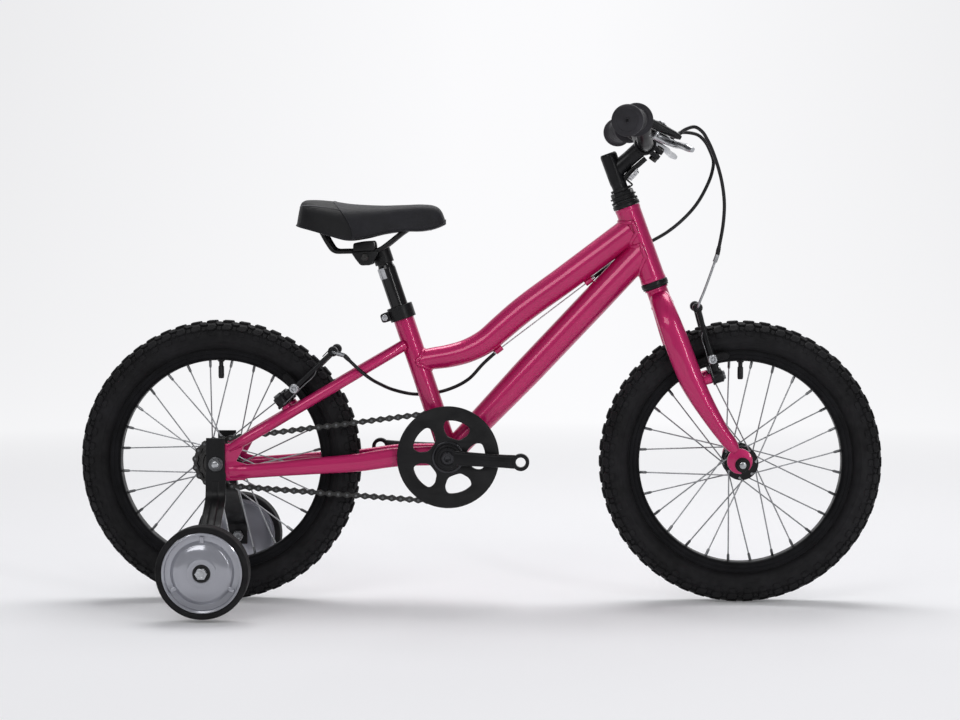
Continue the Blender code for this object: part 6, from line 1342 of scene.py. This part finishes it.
REAR_HOUSING = [(0.006, 0.002, 0.343), (-0.018, 0.012, 0.3178), (-0.0609, 0.0195, 0.2992),
                (-0.0961, 0.0185, 0.2965), (-0.123, 0.006, 0.303), (-0.142, -0.016, 0.313),
                (-0.158, -0.036, 0.3245), (-0.1715, -0.0455, 0.337)]


def brake_arm(name, brake, side, word):
    """One arm with its pivot, bolts and spring, and the pad: a bar along the rim with closed ends."""
    body = name + "_brake_arm_" + word
    share = np.array([0, 0.12, 0.25, 0.6, 0.84, 0.96])
    aside = np.interp(share, (0, 0.25, 0.6, 0.84, 1), (0.04, 0.0385, 0.0365, 0.034, 0.0315))
    deep = np.interp(share, (0, 0.25, 0.6, 1), (0.006, 0.0048, 0.0038, 0.0034))
    up, aside, _, deep = smooth(np.stack([share * L, aside, share * 0, deep], -1), 33).T
    post = side * BRAKE_POST
    ball = soften([(0, 0.0265), (0.006, 0.0265), (0.0074, 0.03), (0.0074, 0.0345), (0.0058, 0.0385),
                   (0, 0.039)], 0.0024, 4)
    parts = [sweep(brake.at(up, 0.0, side * aside), deep, 0.0046, Y, 32, 3.2),
             rod(*brake.at(0, (-0.008, 0.008), post), 0.0092, 40, 0.001),
             rod(*brake.at(0, (-0.0078, -0.004), post), 0.0106, 40, 0.0008),
             lathe(ball, brake.at(L, 0, 0), Y * side, 40),
             rod(*brake.at(PAD_UP, 0.0, (side * 0.033, side * 0.044)), 0.0078, 32)]
    piece(name + "_arm_" + word, parts, body, "alloy", body, sharp=36)
    bolt = [(0, 0.008), (0.007, 0.008), (0.007, 0.009), (0.006, 0.0092), (0.006, 0.0115), (0.0034, 0.0115),
            (0.003, 0.0098), (0, 0.0098)]
    screw = (rod(*brake.at(L - 0.006, (0.004, 0.0072), side * 0.032), 0.004, 24) if side == LEFT
             else rod(*brake.at(0.016, (0.004, 0.0066), side * 0.0395), 0.0022, 20))
    nut = [(0.0, 0.045), (0.0064, 0.045), (0.0064, 0.049), (0.0058, 0.0502), (0.0034, 0.0502),
           (0.0032, 0.046), (0.0, 0.046)]
    rods = ((0.025, 0.048, 0.003, 24), (0.0438, 0.0452, 0.0068, 32), (0.0285, 0.033, 0.007, 32))
    stud, washer, shank = [rod(*brake.at(PAD_UP, 0, (side * low, side * high)), radius, sides)
                           for low, high, radius, sides in rods]
    nut = lathe(soften(nut, 0.0004, 2), brake.at(PAD_UP, 0, 0), Y * side, 36)
    spring = smooth(brake.at((0.0, 0.018, 0.04, 0.062, 0.066), (-0.006, -0.0062, -0.006, -0.0052, -0.003),
                             side * np.array((0.05, 0.0462, 0.043, 0.0412, 0.0412))), 41)
    fittings = [lathe(soften(bolt, 0.0004, 2), brake.at(0, 0, post), brake.out, 36), screw,
                sweep(spring, 0.0009, sides=10)]
    piece(name + "_arm_stud_" + word, [stud, washer, nut, shank], body, "steel", bevel=0.0001)
    piece(name + "_arm_fittings_" + word, fittings, body, "dark_steel", slot="bright_steel", bevel=0.0001)
    radius = np.linalg.norm(brake.boss - brake.axle * (1, 0, 1)) + PAD_UP
    turn = np.linspace(-0.17, 0.17, 33)[:, None]
    arc = (brake.axle * (1, 0, 1) + Y * side * 0.0212 + radius
           * (brake.up * np.cos(turn) + brake.out * np.sin(turn)))
    run = np.abs(np.linspace(-1, 1, 33))
    closing = np.sqrt(np.clip(1 - run ** 9, 0.02, 1))
    grooves = 1 - 0.1 * (np.abs(run - 0.45) < 0.05)
    pad = sweep(arc, 0.0052 * closing, 0.0044 * closing * grooves, Y, 28, 4.0)
    piece(name + "_pad_block_" + word, [pad], body, "pad", name + "_brake_pad_" + word)


def brake_wire(name, brake):
    """Noodle between the two arms, the folded boot over its gap, and the inner wire with its loose end."""
    noodle = FRONT_NOODLE if name == "front" else REAR_NOODLE
    body = name + "_brake_arm_right"
    tube = sweep(smooth(noodle, 57), 0.0018, sides=20)
    collar = [rod(past(noodle, -0.008), past(noodle, 0.0035), 0.0032, 28),
              rod(*brake.at(L, 0, (-0.0385, -0.0262)), 0.0034, 28)]
    piece(name + "_noodle", [tube] + collar, body, "spoke", slot="bright_steel")
    place = np.linspace(0, 0.017, 52)
    folds = 0.0064 - 0.0026 * place / 0.017 + 0.0005 * np.sin(TURN * 7 * place / 0.017)
    boot = lathe(np.concatenate([[(0, 0)], np.stack([folds, place], -1), [(0, 0.017)]]),
                 brake.at(L, 0, -0.027), Y, 36)
    piece(name + "_boot", [boot], body, "pad", sharp=60)
    loose = brake.at((L, L - 0.004, L - 0.014, L - 0.024), (0.002, 0.0062, 0.0068, 0.0066),
                     (0.0335, 0.0345, 0.037, 0.039))
    wire = [tubes(brake.at(L, 0, -0.024)[None], brake.at(L, 0, 0.034)[None], 0.0008, 10),
            sweep(smooth(loose, 25), 0.0008, sides=10)]
    piece(name + "_brake_wire", wire, name + "_brake_arm_left", "spoke", slot="bright_steel")


class BICYCLE_OT_brakes(Operator):
    """Brake arms with springs, pads on their studs, noodles, boots and inner wire"""
    bl_idname = "bicycle.brakes"
    bl_label = "Brakes"

    def execute(self, context):
        for name, brake in BRAKES.items():
            for side, word in SIDES:
                brake_arm(name, brake, side, word)
            brake_wire(name, brake)
        return {"FINISHED"}


class BICYCLE_OT_cables(Operator):
    """Brake housings with their ferrules, and the bare wire under the top tube"""
    bl_idname = "bicycle.cables"
    bl_label = "Brake cables"

    def execute(self, context):
        radius = context.scene.bicycle_frame.housing_radius
        front_stop, rear_stop = np.array(FRONT_STOP), np.array(REAR_STOP)

        def ferrule(end, way, reach=0.012):
            profile = [(0, 0), (0.0032, 0), (0.0032, reach * 0.7), (0.0029, reach * 0.74), (0.0029, reach),
                       (0, reach)]
            return lathe(soften(profile, 0.0003, 2), end, unit(way), 28)

        start = lever_point(RIGHT, 0.057, 0.0062, 0.0915)
        end = past(FRONT_NOODLE, 0.003)
        route = np.concatenate([[start], FRONT_HOUSING, [end]])
        piece("front_housing", [sweep(smooth(route, 161), radius, sides=20)], "steer", "housing",
              "front_brake_housing")
        caps = [ferrule(end, route[-2] - route[-1]), ferrule(start, route[1] - route[0], 0.007)]
        piece("front_ferrules", caps, "steer", "plastic")
        start = lever_point(LEFT, 0.057, 0.0062, 0.0915)
        run = unit(rear_stop - front_stop)
        route = np.concatenate([[start], REAR_HOUSING_AT_BAR, [front_stop - run * 0.002]])
        loop = piece("rear_housing_loop", [sweep(smooth(route, 241), radius, sides=20)], None, "housing",
                     "rear_brake_front_housing")
        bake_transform(loop)
        piece("rear_loop_ferrule", [ferrule(front_stop + run * 0.0015, -run)], "frame", "steel")
        piece("rear_lever_ferrule", [ferrule(start, route[1] - route[0], 0.007)], "steer", "plastic")
        end = past(REAR_NOODLE, 0.003)
        route = np.concatenate([[rear_stop + run * 0.001], REAR_HOUSING, [end]])
        parts = [sweep(smooth(route, 161), radius, sides=20), ferrule(end, route[-2] - route[-1], 0.01)]
        piece("rear_housing", parts, "frame", "housing", "rear_brake_cable")
        wire = tubes(front_stop[None], rear_stop[None], 0.0009, 12)
        piece("rear_inner_wire", [wire, ferrule(rear_stop - run * 0.001, run, 0.009)], "frame", "steel")
        return {"FINISHED"}


# Seat

# Place, half width, top and bottom of the saddle, from its rear to its nose
SADDLE = np.array([(-0.2548, 0.014, 0.569, 0.5388), (-0.2543, 0.03, 0.5715, 0.538),
                   (-0.2525, 0.045, 0.5738, 0.5372), (-0.247, 0.058, 0.5762, 0.5352),
                   (-0.2338, 0.069, 0.5767, 0.531), (-0.215, 0.0735, 0.5755, 0.5255),
                   (-0.187, 0.065, 0.5716, 0.518), (-0.1634, 0.05, 0.5698, 0.5202),
                   (-0.1373, 0.038, 0.5688, 0.5264), (-0.106, 0.0285, 0.5696, 0.5306),
                   (-0.08, 0.0245, 0.5702, 0.5312), (-0.0669, 0.0225, 0.5688, 0.5336),
                   (-0.0575, 0.0185, 0.5648, 0.5368), (-0.0515, 0.013, 0.559, 0.5395),
                   (-0.0487, 0.006, 0.553, 0.5412)])
CLAMP_CRADLE = [(-0.02, 0.0075), (0.02, 0.009), (0.0165, 0.001), (0.0085, -0.0112), (-0.006, -0.0117),
                (-0.013, -0.003)]
CLAMP_LID = [(-0.017, 0.0085), (0.014, 0.0095), (0.014, 0.018), (0.012, 0.0235), (-0.005, 0.0225),
             (-0.0165, 0.02)]
RAIL = soften([(-0.229, 0.03, 0.539), (-0.2085, 0.023, 0.5025), (-0.19, 0.022, 0.503),
               (-0.1435, 0.022, 0.5035), (-0.1085, 0.018, 0.531), (-0.098, 0.015, 0.537),
               (-0.08, 0.01, 0.5375), (-0.077, 0.0, 0.5375)], 0.009, 5)


def saddle_size(share):
    """Place, half width, top and bottom of the saddle at shares of the way from its rear to its nose."""
    rows = smooth(SADDLE, 241)
    return [np.interp(share, np.linspace(0, 1, len(rows)), column) for column in rows.T]


def cover_point(share, angle, lift=0.0):
    """Cover surface: |y / half|^3.4 + |rise / height|^3.0 = 1 over its hem, pushed out by the lift.

    Both ends lean: the rear wall is furthest back at its hem, and the nose at its crown."""
    x, half, top, bottom = saddle_size(share)
    hem = bottom + 0.0018
    y = (half + lift) * power_of(np.cos(angle), 3.4)
    rise = np.abs(np.sin(angle)) ** (2 / 3.0)
    z = hem + ((top - hem) * 0.985 + lift) * rise
    rear, nose = [np.exp(-((x + end) / reach) ** 2) for end, reach in ((0.2548, 0.016), (0.0482, 0.01))]
    lean = 0.0052 * rear * (1 - rise) + 0.003 * nose * rise
    return np.stack([x - lean, y, z], -1)


def panel_place(angle):
    """X at which the rear panel of the cover ends: further forward at the sides than on the crown."""
    return -0.178 - 0.03 * np.abs(np.sin(angle)) ** 1.5


def panel_share(angle):
    """Share of the way along the saddle at which the rear panel ends."""
    share = np.linspace(0, 1, 241)
    return np.interp(panel_place(angle), saddle_size(share)[0], share)


def seat_collar():
    """Split collar round the top of the seat tube, with two ears and their bolt."""
    middle = seat_point(COLLAR_HEIGHT)
    profile = clamp_profile(0.0149, 0.0183, 0.0187, 0.01, 0.0092)
    collar = [turned(profile, 0.0006, 3, middle, SEAT_UP, 64)]
    for ear in ((-0.0075, -0.0008), (0.0008, 0.0075)):
        collar.append(slab(*seat_point(COLLAR_HEIGHT, 0.0215, ear), 0.009, 0.0068, SEAT_UP, 4.0))
    piece("collar_band", collar, "frame", "black_steel", "seat_collar", sharp=36)
    bolt = [rod(*seat_point(COLLAR_HEIGHT, 0.0245, (-0.0112, 0.0112)), 0.003, 24),
            hexagon(*seat_point(COLLAR_HEIGHT, 0.0245, (-0.0072, -0.0116)), 0.0052),
            hexagon(*seat_point(COLLAR_HEIGHT, 0.0245, (0.0072, 0.0112)), 0.005)]
    piece("collar_bolt", bolt, "frame", "steel", bevel=0.0002)


def seatpost():
    """Necked post with a bright steel band round its back, and the clamp on it with cheeks that hold the
    rails.
    """
    top = seat_point(POST_TOP)
    foot = seat_point(SEAT_TUBE_TOP) - SEAT_UP * 0.09
    shoulder = np.linalg.norm(top - foot) - 0.0255
    post = [(0.0112, 0.0), (0.0127, 0.0), (0.0127, shoulder - 0.006), (0.011, shoulder - 0.001),
            (0.011, shoulder + 0.025), (0.0098, shoulder + 0.025), (0.0096, 0.002)]
    piece("post_tube", [turned(post, 0.0006, 3, foot, SEAT_UP, 56)], "seatpost", "gloss", "seatpost",
          slot="black_alloy")
    # A bright steel band laid round the back half of the post, below its neck
    turn = np.radians(np.linspace(-78, 78, 33))
    rearward = unit(seat_point(0.4, 1.0) - seat_point(0.4))
    ring = rearward * np.cos(turn)[:, None] + Y * np.sin(turn)[:, None]
    bright_band = sweep(top - SEAT_UP * 0.0372 + ring * 0.0126, 0.0008, 0.008, SEAT_UP, 16, 6.0)
    piece("post_neck_window", [bright_band], "seatpost", "steel")
    sleeve = [(0.0111, -0.024), (0.0134, -0.024), (0.0138, -0.023), (0.0138, -0.003), (0.013, 0.0),
              (0.0, 0.0)]
    sleeve = lathe(soften(sleeve, 0.0008, 3), top, SEAT_UP, 56)
    drum = rod(CLAMP - Y * 0.0155, CLAMP + Y * 0.0155, 0.0112, 48, 0.0008)
    bridge = slab(CLAMP + Z * -0.004, CLAMP + Z * 0.0105, 0.01, 0.015, Y, 4.0)
    pinch = rod(top - SEAT_UP * 0.017 - Y * 0.017, top - SEAT_UP * 0.017 + Y * 0.017, 0.004, 24)
    piece("clamp_sleeve", [sleeve, drum, bridge, pinch], "seatpost", "black_steel", "saddle_clamp")
    caps, nuts = [], []
    for side in (LEFT, RIGHT):
        caps += [plate([soften(outline, 0.003, 3, ring=True)], 0.013, CLAMP + Y * side * 0.0224, X, Z, 0.0012)
                 for outline in (CLAMP_CRADLE, CLAMP_LID)]
        nuts.append(hexagon(CLAMP + Y * side * 0.0288, CLAMP + Y * side * 0.0335, 0.0058))
    nuts.append(rod(CLAMP - Y * 0.035, CLAMP + Y * 0.035, 0.0034, 24))
    piece("clamp_cheeks", caps, "saddle", "black_steel", "saddle_clamp_caps")
    piece("clamp_nuts", nuts, "saddle", "chain", slot="black_steel", bevel=0.0002)


def saddle(piping_radius):
    """Rails, base with its sockets, and the padded cover with its seam, hems and stitches."""
    route = smooth(np.concatenate([RAIL, mirrored(RAIL[-2::-1], RIGHT)]), 241)
    piece("rail_wires", [sweep(route, 0.0035, sides=20)], "saddle", "black_steel", "saddle_rails",
          slot="bright_steel")
    share = 0.5 - 0.5 * np.cos(np.linspace(0, np.pi, 105))[:, None]
    x, width, _, bottom = saddle_size(share)
    turn = np.linspace(0, TURN, 65)[None, :-1]
    wall = np.where(np.sin(turn) > 0, 0.0, 1.0)
    y = (width - 0.0014) * power_of(np.cos(turn), 4.0)
    z = bottom + 0.004 + np.where(wall > 0, 0.004, 0.0034) * power_of(np.sin(turn), 3.0)
    base = skin(np.stack([x + 0 * y, y, z], -1))
    pockets = [slab((-0.229, side * 0.03, 0.533), (-0.229, side * 0.03, 0.542), 0.008, 0.007, X, 3.5)
               for side in (LEFT, RIGHT)]
    nose = slab((-0.079, 0.0, 0.5325), (-0.079, 0.0, 0.541), 0.01, 0.012, Y, 3.5)
    piece("saddle_pan", [base, nose] + pockets, "saddle", "plastic", "saddle_base", sharp=44)
    turn = np.linspace(0, np.pi, 61)[None]
    over = cover_point(share, turn)
    under_y = np.linspace(-0.97, 0.97, 13)[None] * width
    under_z = bottom + 0.0014 + 0 * under_y
    under = np.stack([x + 0 * under_y, under_y, under_z], -1)
    tags = np.concatenate([np.clip((panel_place(turn) - x) / 0.0015 + 0.5, 0, 1), 0 * under_y], 1)
    cover = piece("saddle_skin", [skin(np.concatenate([over, under], 1))], "saddle", "vinyl", "saddle_cover",
                  sharp=70, tags=tags.ravel())
    angle = np.linspace(0.03, np.pi - 0.03, 121)
    seam = sweep(cover_point(panel_share(angle), angle, 0.0), piping_radius * 0.45, sides=10)
    edge = np.linspace(0.03, 0.97, 181)
    hems = [sweep(cover_point(edge, np.full(181, low), -0.0006), piping_radius * 0.8, sides=12)
            for low in (0.002, np.pi - 0.002)]
    piece("saddle_seams", [seam] + hems, "saddle", "vinyl", sharp=60)
    shoulder = 0.8
    run = np.linspace(0.99, 0.12, 34)
    sides = [cover_point(run * panel_share(way), np.full(34, way), 0.0002)
             for way in (shoulder, np.pi - shoulder)]
    stitches = []
    for line in sides:
        reach = unit(np.gradient(line, axis=0)) * 0.001
        stitches.append(tubes(line - reach, line + reach, 0.00045, 6))
    piece("saddle_stitches", stitches, "saddle", "thread", slot="saddle_vinyl")


class BICYCLE_OT_seat(Operator):
    """Seat collar, post, clamp, rails and the saddle with its padded cover"""
    bl_idname = "bicycle.seat"
    bl_label = "Seat"

    def execute(self, context):
        seat_collar()
        seatpost()
        saddle(context.scene.bicycle_frame.piping_radius)
        return {"FINISHED"}


# Stabilisers and reflector

def strap_route(path, side):
    """Path of (distance out, height) laid in the plane of the bracket on one side."""
    return np.stack([np.full(len(path), BRACKET_X), side * path[:, 0], path[:, 1]], -1)


def mark(values, place, width):
    """Bell curve of the values round a place: 1 there, and near 0 past twice the width."""
    return np.exp(-((values - place) / width) ** 2)


def stabiliser(side, word, disc_dome):
    """Strap with its rib, the axle bolt, and the small wheel: hub disc with three spokes, cap and tyre."""
    out = Y * side
    axle = pivot("stabiliser_wheel_" + word + "_turn") * (1, 0, 1)
    path = soften([(0.0626, 0.2394), (0.0626, 0.1537), (0.1797, 0.085), (0.1797, 0.056)], 0.014, 8)
    path = np.concatenate([np.linspace(path[0], path[1], 16)[:-1], path[1:]])
    route = strap_route(path, side)
    wide = np.where(route[:, 2] > 0.188, 0.0134, 0.0145)
    rib = [(0.0626, 0.176), (0.0626, 0.1537), (0.1797, 0.085), (0.1797, 0.08)]
    rib = strap_route(soften(rib, 0.014, 8) + (0.0012, 0.0018), side)
    strap = [sweep(route, 0.00225, wide, X, 20, 9.0), sweep(rib, 0.0018, 0.006, X, 20, 2.4)]
    piece("stabiliser_strap_" + word, strap, "frame", "black_steel", "stabiliser_bracket_" + word, sharp=34,
          bevel=0.0004)
    inner = STABILISER_INNER
    bolt = [hexagon(axle + out * 0.1776, axle + out * 0.1716, 0.0085),
            rod(axle + out * 0.172, axle + out * (inner + 0.0355), 0.005, 32),
            hexagon(axle + out * (inner + 0.0318), axle + out * (inner + 0.0368), 0.0088),
            rod(axle + out * (inner - 0.0026), axle + out * (inner - 0.0014), 0.009, 32)]
    piece("stabiliser_bolt_" + word, bolt, "frame", "steel", bevel=0.0002)
    body = "stabiliser_wheel_" + word
    r = np.linspace(0.0425, 0.0135, 31)
    rings = 0.0009 * (mark(r, 0.0385, 0.0009) + mark(r, 0.0195, 0.0009))
    dome = np.sqrt(np.clip(1 - ((r - 0.01) / 0.033) ** 2, 0, 1))
    dome = 0.0222 + disc_dome * dome + rings * 0.4
    shell = [(0.0053, -0.0012), (0.012, -0.0012), (0.013, 0.014), (0.048, 0.0165), (0.0515, 0.013),
             (0.0515, 0.002), (0.0552, 0.002), (0.0552, 0.0286), (0.054, 0.0292), (0.052, 0.0286),
             (0.0508, 0.024), (0.044, 0.0226), (0.0432, 0.0232)]
    shell = np.concatenate([shell, np.stack([r, dome], -1), [(0.0113, 0.0305), (0.0053, 0.0305)]])
    start = axle + out * inner
    spokes = [np.array([np.sin(a), 0.0, np.cos(a)]) for a in np.radians((0, 120, 240))]
    ribs = [slab(start + out * 0.0232 + spoke * 0.04, start + out * 0.0246 + spoke * 0.05, 0.003, 0.0018, out,
                 3.0) for spoke in spokes]
    piece("stabiliser_hub_" + word, [lathe(shell, start, out, 120, ring=True)] + ribs, body, "smoky",
          "stabiliser_disc_" + word, sharp=34)
    ring = turned(band(0.0054, 0.0124, 0.029, 0.0318), 0.0006, 3, start, out, 56)
    piece("stabiliser_cap_" + word, [ring], body, "plastic")
    width, radius = STABILISER_WIDTH, 0.064
    section = soften([(0.0555, 0.0), (radius, 0.0), (radius, 0.01), (radius, 0.015), (radius, 0.02),
                      (radius, width), (0.0555, width)], 0.006, 6, ring=True)
    grooves = mark(section[:, 1], 0.01, 0.0008) + mark(section[:, 1], 0.02, 0.0008)
    section[:, 0] -= 0.0008 * grooves * (section[:, 0] > 0.06)
    tread = lathe(section, start, out, 144, ring=True)
    piece("stabiliser_rubber_" + word, [tread], body, "tyre", "stabiliser_tyre_" + word, sharp=30)


class BICYCLE_OT_stabilisers(Operator):
    """Cranked straps, their axle bolts, and the small wheels with smoky discs and ribbed tyres"""
    bl_idname = "bicycle.stabilisers"
    bl_label = "Stabilisers"

    def execute(self, context):
        for side, word in SIDES:
            stabiliser(side, word, context.scene.bicycle_wheels.disc_dome)
        return {"FINISHED"}


class BICYCLE_OT_reflector(Operator):
    """Front reflector: its ring on the headset, the bent strap, the holder and the prismatic lens"""
    bl_idname = "bicycle.reflector"
    bl_label = "Reflector"

    def execute(self, context):
        centre = np.array([0.218, 0.0, 0.6125])
        edge, face = np.array([0.68, 0.0, 0.733]), np.array([0.733, 0.0, -0.68])
        ring = turned(band(0.0126, 0.0146, 0.1367, 0.1407), 0.0004, 2, HEAD, UP, 56)
        route = [head_point(0.1387, 0.013), head_point(0.1395, 0.0185),
                 centre - edge * 0.0115 - face * 0.004, centre + edge * 0.004 - face * 0.004]
        route = soften(route, 0.004, 5)
        strap = sweep(route, 0.0012, 0.007, Y, 20, 6.0)
        arm = smooth([(0.204, 0.0, 0.604), (0.213, 0.0, 0.615), (0.227, 0.0, 0.627), (0.236, 0.0, 0.635)], 17)
        arm = sweep(arm, 0.0036, 0.007, Y, 24, 4.0)
        piece("reflector_strap", [ring, strap, arm], "steer", "black_steel", sharp=34)
        holder = slab(centre - face * 0.0022, centre + face * 0.0014, 0.00975, 0.026, Y, 6.0)
        piece("reflector_holder", [holder], "steer", "lens")
        lens = slab(centre + face * 0.0006, centre + face * 0.0046, 0.00875, 0.0245, Y, 6.0)
        piece("reflector_lens", [lens], "steer", "lens", "front_reflector")
        return {"FINISHED"}


# Studio

def stand(name, data, place, aim):
    """Object at a place, turned towards the point that it aims at."""
    obj = bpy.data.objects.new(name, data)
    obj.location = place
    obj.rotation_euler = (Vector(aim) - Vector(place)).to_track_quat("-Z", "Y").to_euler()
    bpy.context.scene.collection.objects.link(obj)
    return obj


def backdrop(colour_of_floor):
    """Floor that curves up behind: near the bicycle it takes its shadow, further off it glows pale, with
    painted shade at the sides.
    """
    profile = soften([(-9.0, 0.0), (7.5, 0.0), (11.5, 7.5)], 4.0, 16)
    grid = np.stack([np.stack([np.full(len(profile), x), profile[:, 0], profile[:, 1]], -1)
                     for x in (-14.0, 14.0)])
    points, faces = skin(grid, wrap_columns=False)
    mesh = bpy.data.meshes.new("floor")
    mesh.from_pydata(points.tolist(), [], faces[0][:, ::-1].tolist())
    mesh.shade_smooth()
    floor = bpy.data.objects.new("floor", mesh)
    bpy.context.scene.collection.objects.link(floor)
    shade = Finish("studio_floor", colour_of_floor, Roughness=0.85, Specular_IOR_Level=0.2)
    rays = shade.add("ShaderNodeLightPath")
    seen = shade.math("MAXIMUM", rays.outputs["Is Camera Ray"], rays.outputs["Is Glossy Ray"])
    seen = shade.math("MAXIMUM", seen, rays.outputs["Is Transmission Ray"])
    place = shade.add("ShaderNodeSeparateXYZ", {0: shade.place}).outputs
    depth = shade.add("ShaderNodeVectorMath", {0: shade.place}, operation="LENGTH").outputs["Value"]
    depth = shade.spread(depth, 0.12, 0.97, 0.6, 3.0)
    share = shade.math("MULTIPLY", seen, depth)
    # Painted shade: the glow dims from full strength in the middle to 0.85 at the sides, a painted fall-off
    # of light
    strength = shade.spread(shade.math("ABSOLUTE", place["X"]), 1.0, 0.85, 0.3, 2.8)
    glow = shade.add("ShaderNodeEmission", {"Color": (0.985, 0.985, 1.0, 1.0), "Strength": strength})
    mixed = {0: share, 1: shade.shader.outputs[0], 2: glow.outputs[0]}
    mixed = shade.add("ShaderNodeMixShader", mixed).outputs[0]
    output = shade.tree.nodes["Material Output"]
    shade.tree.links.new(mixed, output.inputs["Surface"])
    mesh.materials.append(shade.material)


class BICYCLE_OT_studio(Operator):
    """Pale floor that curves up behind, soft lights and the camera"""
    bl_idname = "bicycle.studio"
    bl_label = "Studio"

    def execute(self, context):
        scene = context.scene
        studio = scene.bicycle_studio
        backdrop(scene.bicycle_colours.floor)
        lamps = (
            ("overhead", (0.1, 0.8, 2.5), (0.0, 0.0, 0.3), (2.2, 1.2), studio.overhead),
            ("near", (-1.7, -4.0, 2.6), (0.0, 0.0, 0.3), (2.2, 1.6), studio.near),
            ("strip", (1.7, -3.0, 1.35), (0.0, 0.0, 0.35), (0.13, 2.2), studio.near * 0.55),
            ("far", (1.8, 3.0, 2.2), (0.0, 0.0, 0.3), (1.8, 1.4), studio.near * 0.35))
        for name, place, aim, size, power in lamps:
            light = bpy.data.lights.new(name, "AREA")
            light.shape = "RECTANGLE"
            light.size, light.size_y = size
            light.energy = power
            stand(name, light, place, aim)
        world = bpy.data.worlds.new("studio")
        world.use_nodes = True
        sky = world.node_tree.nodes["Background"]
        sky.inputs["Color"].default_value = (0.93, 0.935, 0.97, 1.0)
        nodes, links = world.node_tree.nodes, world.node_tree.links
        rays = nodes.new("ShaderNodeLightPath")
        level = nodes.new("ShaderNodeMapRange")
        level.inputs["To Min"].default_value = studio.sky
        level.inputs["To Max"].default_value = 1.0
        links.new(rays.outputs["Is Camera Ray"], level.inputs["Value"])
        links.new(level.outputs[0], sky.inputs["Strength"])
        scene.world = world
        camera = bpy.data.cameras.new("camera")
        camera.lens = studio.lens
        camera.sensor_width = 36.0
        camera.clip_end = 60.0
        scene.camera = stand("camera", camera, (0.1015, -3.5, 0.5595), (0.0, 0.0, 0.347))
        scene.view_settings.view_transform = "Standard"
        return {"FINISHED"}


GROUPS = (("bicycle_colours", BICYCLE_PG_colours), ("bicycle_wheels", BICYCLE_PG_wheels),
          ("bicycle_frame", BICYCLE_PG_frame), ("bicycle_studio", BICYCLE_PG_studio))
OPERATORS = (BICYCLE_OT_studio, BICYCLE_OT_tyres, BICYCLE_OT_rims, BICYCLE_OT_hubs, BICYCLE_OT_chain,
             BICYCLE_OT_drive, BICYCLE_OT_cranks, BICYCLE_OT_frame, BICYCLE_OT_fork, BICYCLE_OT_headset,
             BICYCLE_OT_bar, BICYCLE_OT_levers, BICYCLE_OT_brakes, BICYCLE_OT_cables, BICYCLE_OT_seat,
             BICYCLE_OT_stabilisers, BICYCLE_OT_reflector)


class BICYCLE_PT_panel(Panel):
    """Lists the pieces, and the sizes and colours that can be changed"""
    bl_label = "Bicycle"
    bl_space_type = "VIEW_3D"
    bl_region_type = "UI"
    bl_category = "Bicycle"

    def draw(self, context):
        for name, group in GROUPS:
            box = self.layout.box()
            for setting in group.__annotations__:
                box.prop(getattr(context.scene, name), setting)
        for operator in OPERATORS:
            self.layout.operator(operator.bl_idname)


def register():
    for name, group in GROUPS:
        bpy.utils.register_class(group)
        setattr(bpy.types.Scene, name, PointerProperty(type=group))
    for entry in OPERATORS + (BICYCLE_PT_panel,):
        bpy.utils.register_class(entry)


def unregister():
    for entry in (BICYCLE_PT_panel,) + OPERATORS[::-1]:
        bpy.utils.unregister_class(entry)
    for name, group in GROUPS[::-1]:
        delattr(bpy.types.Scene, name)
        bpy.utils.unregister_class(group)


def main():
    register()
    for operator in OPERATORS:
        getattr(bpy.ops.bicycle, operator.bl_idname.split(".")[1])()


if __name__ == "__main__":
    main()
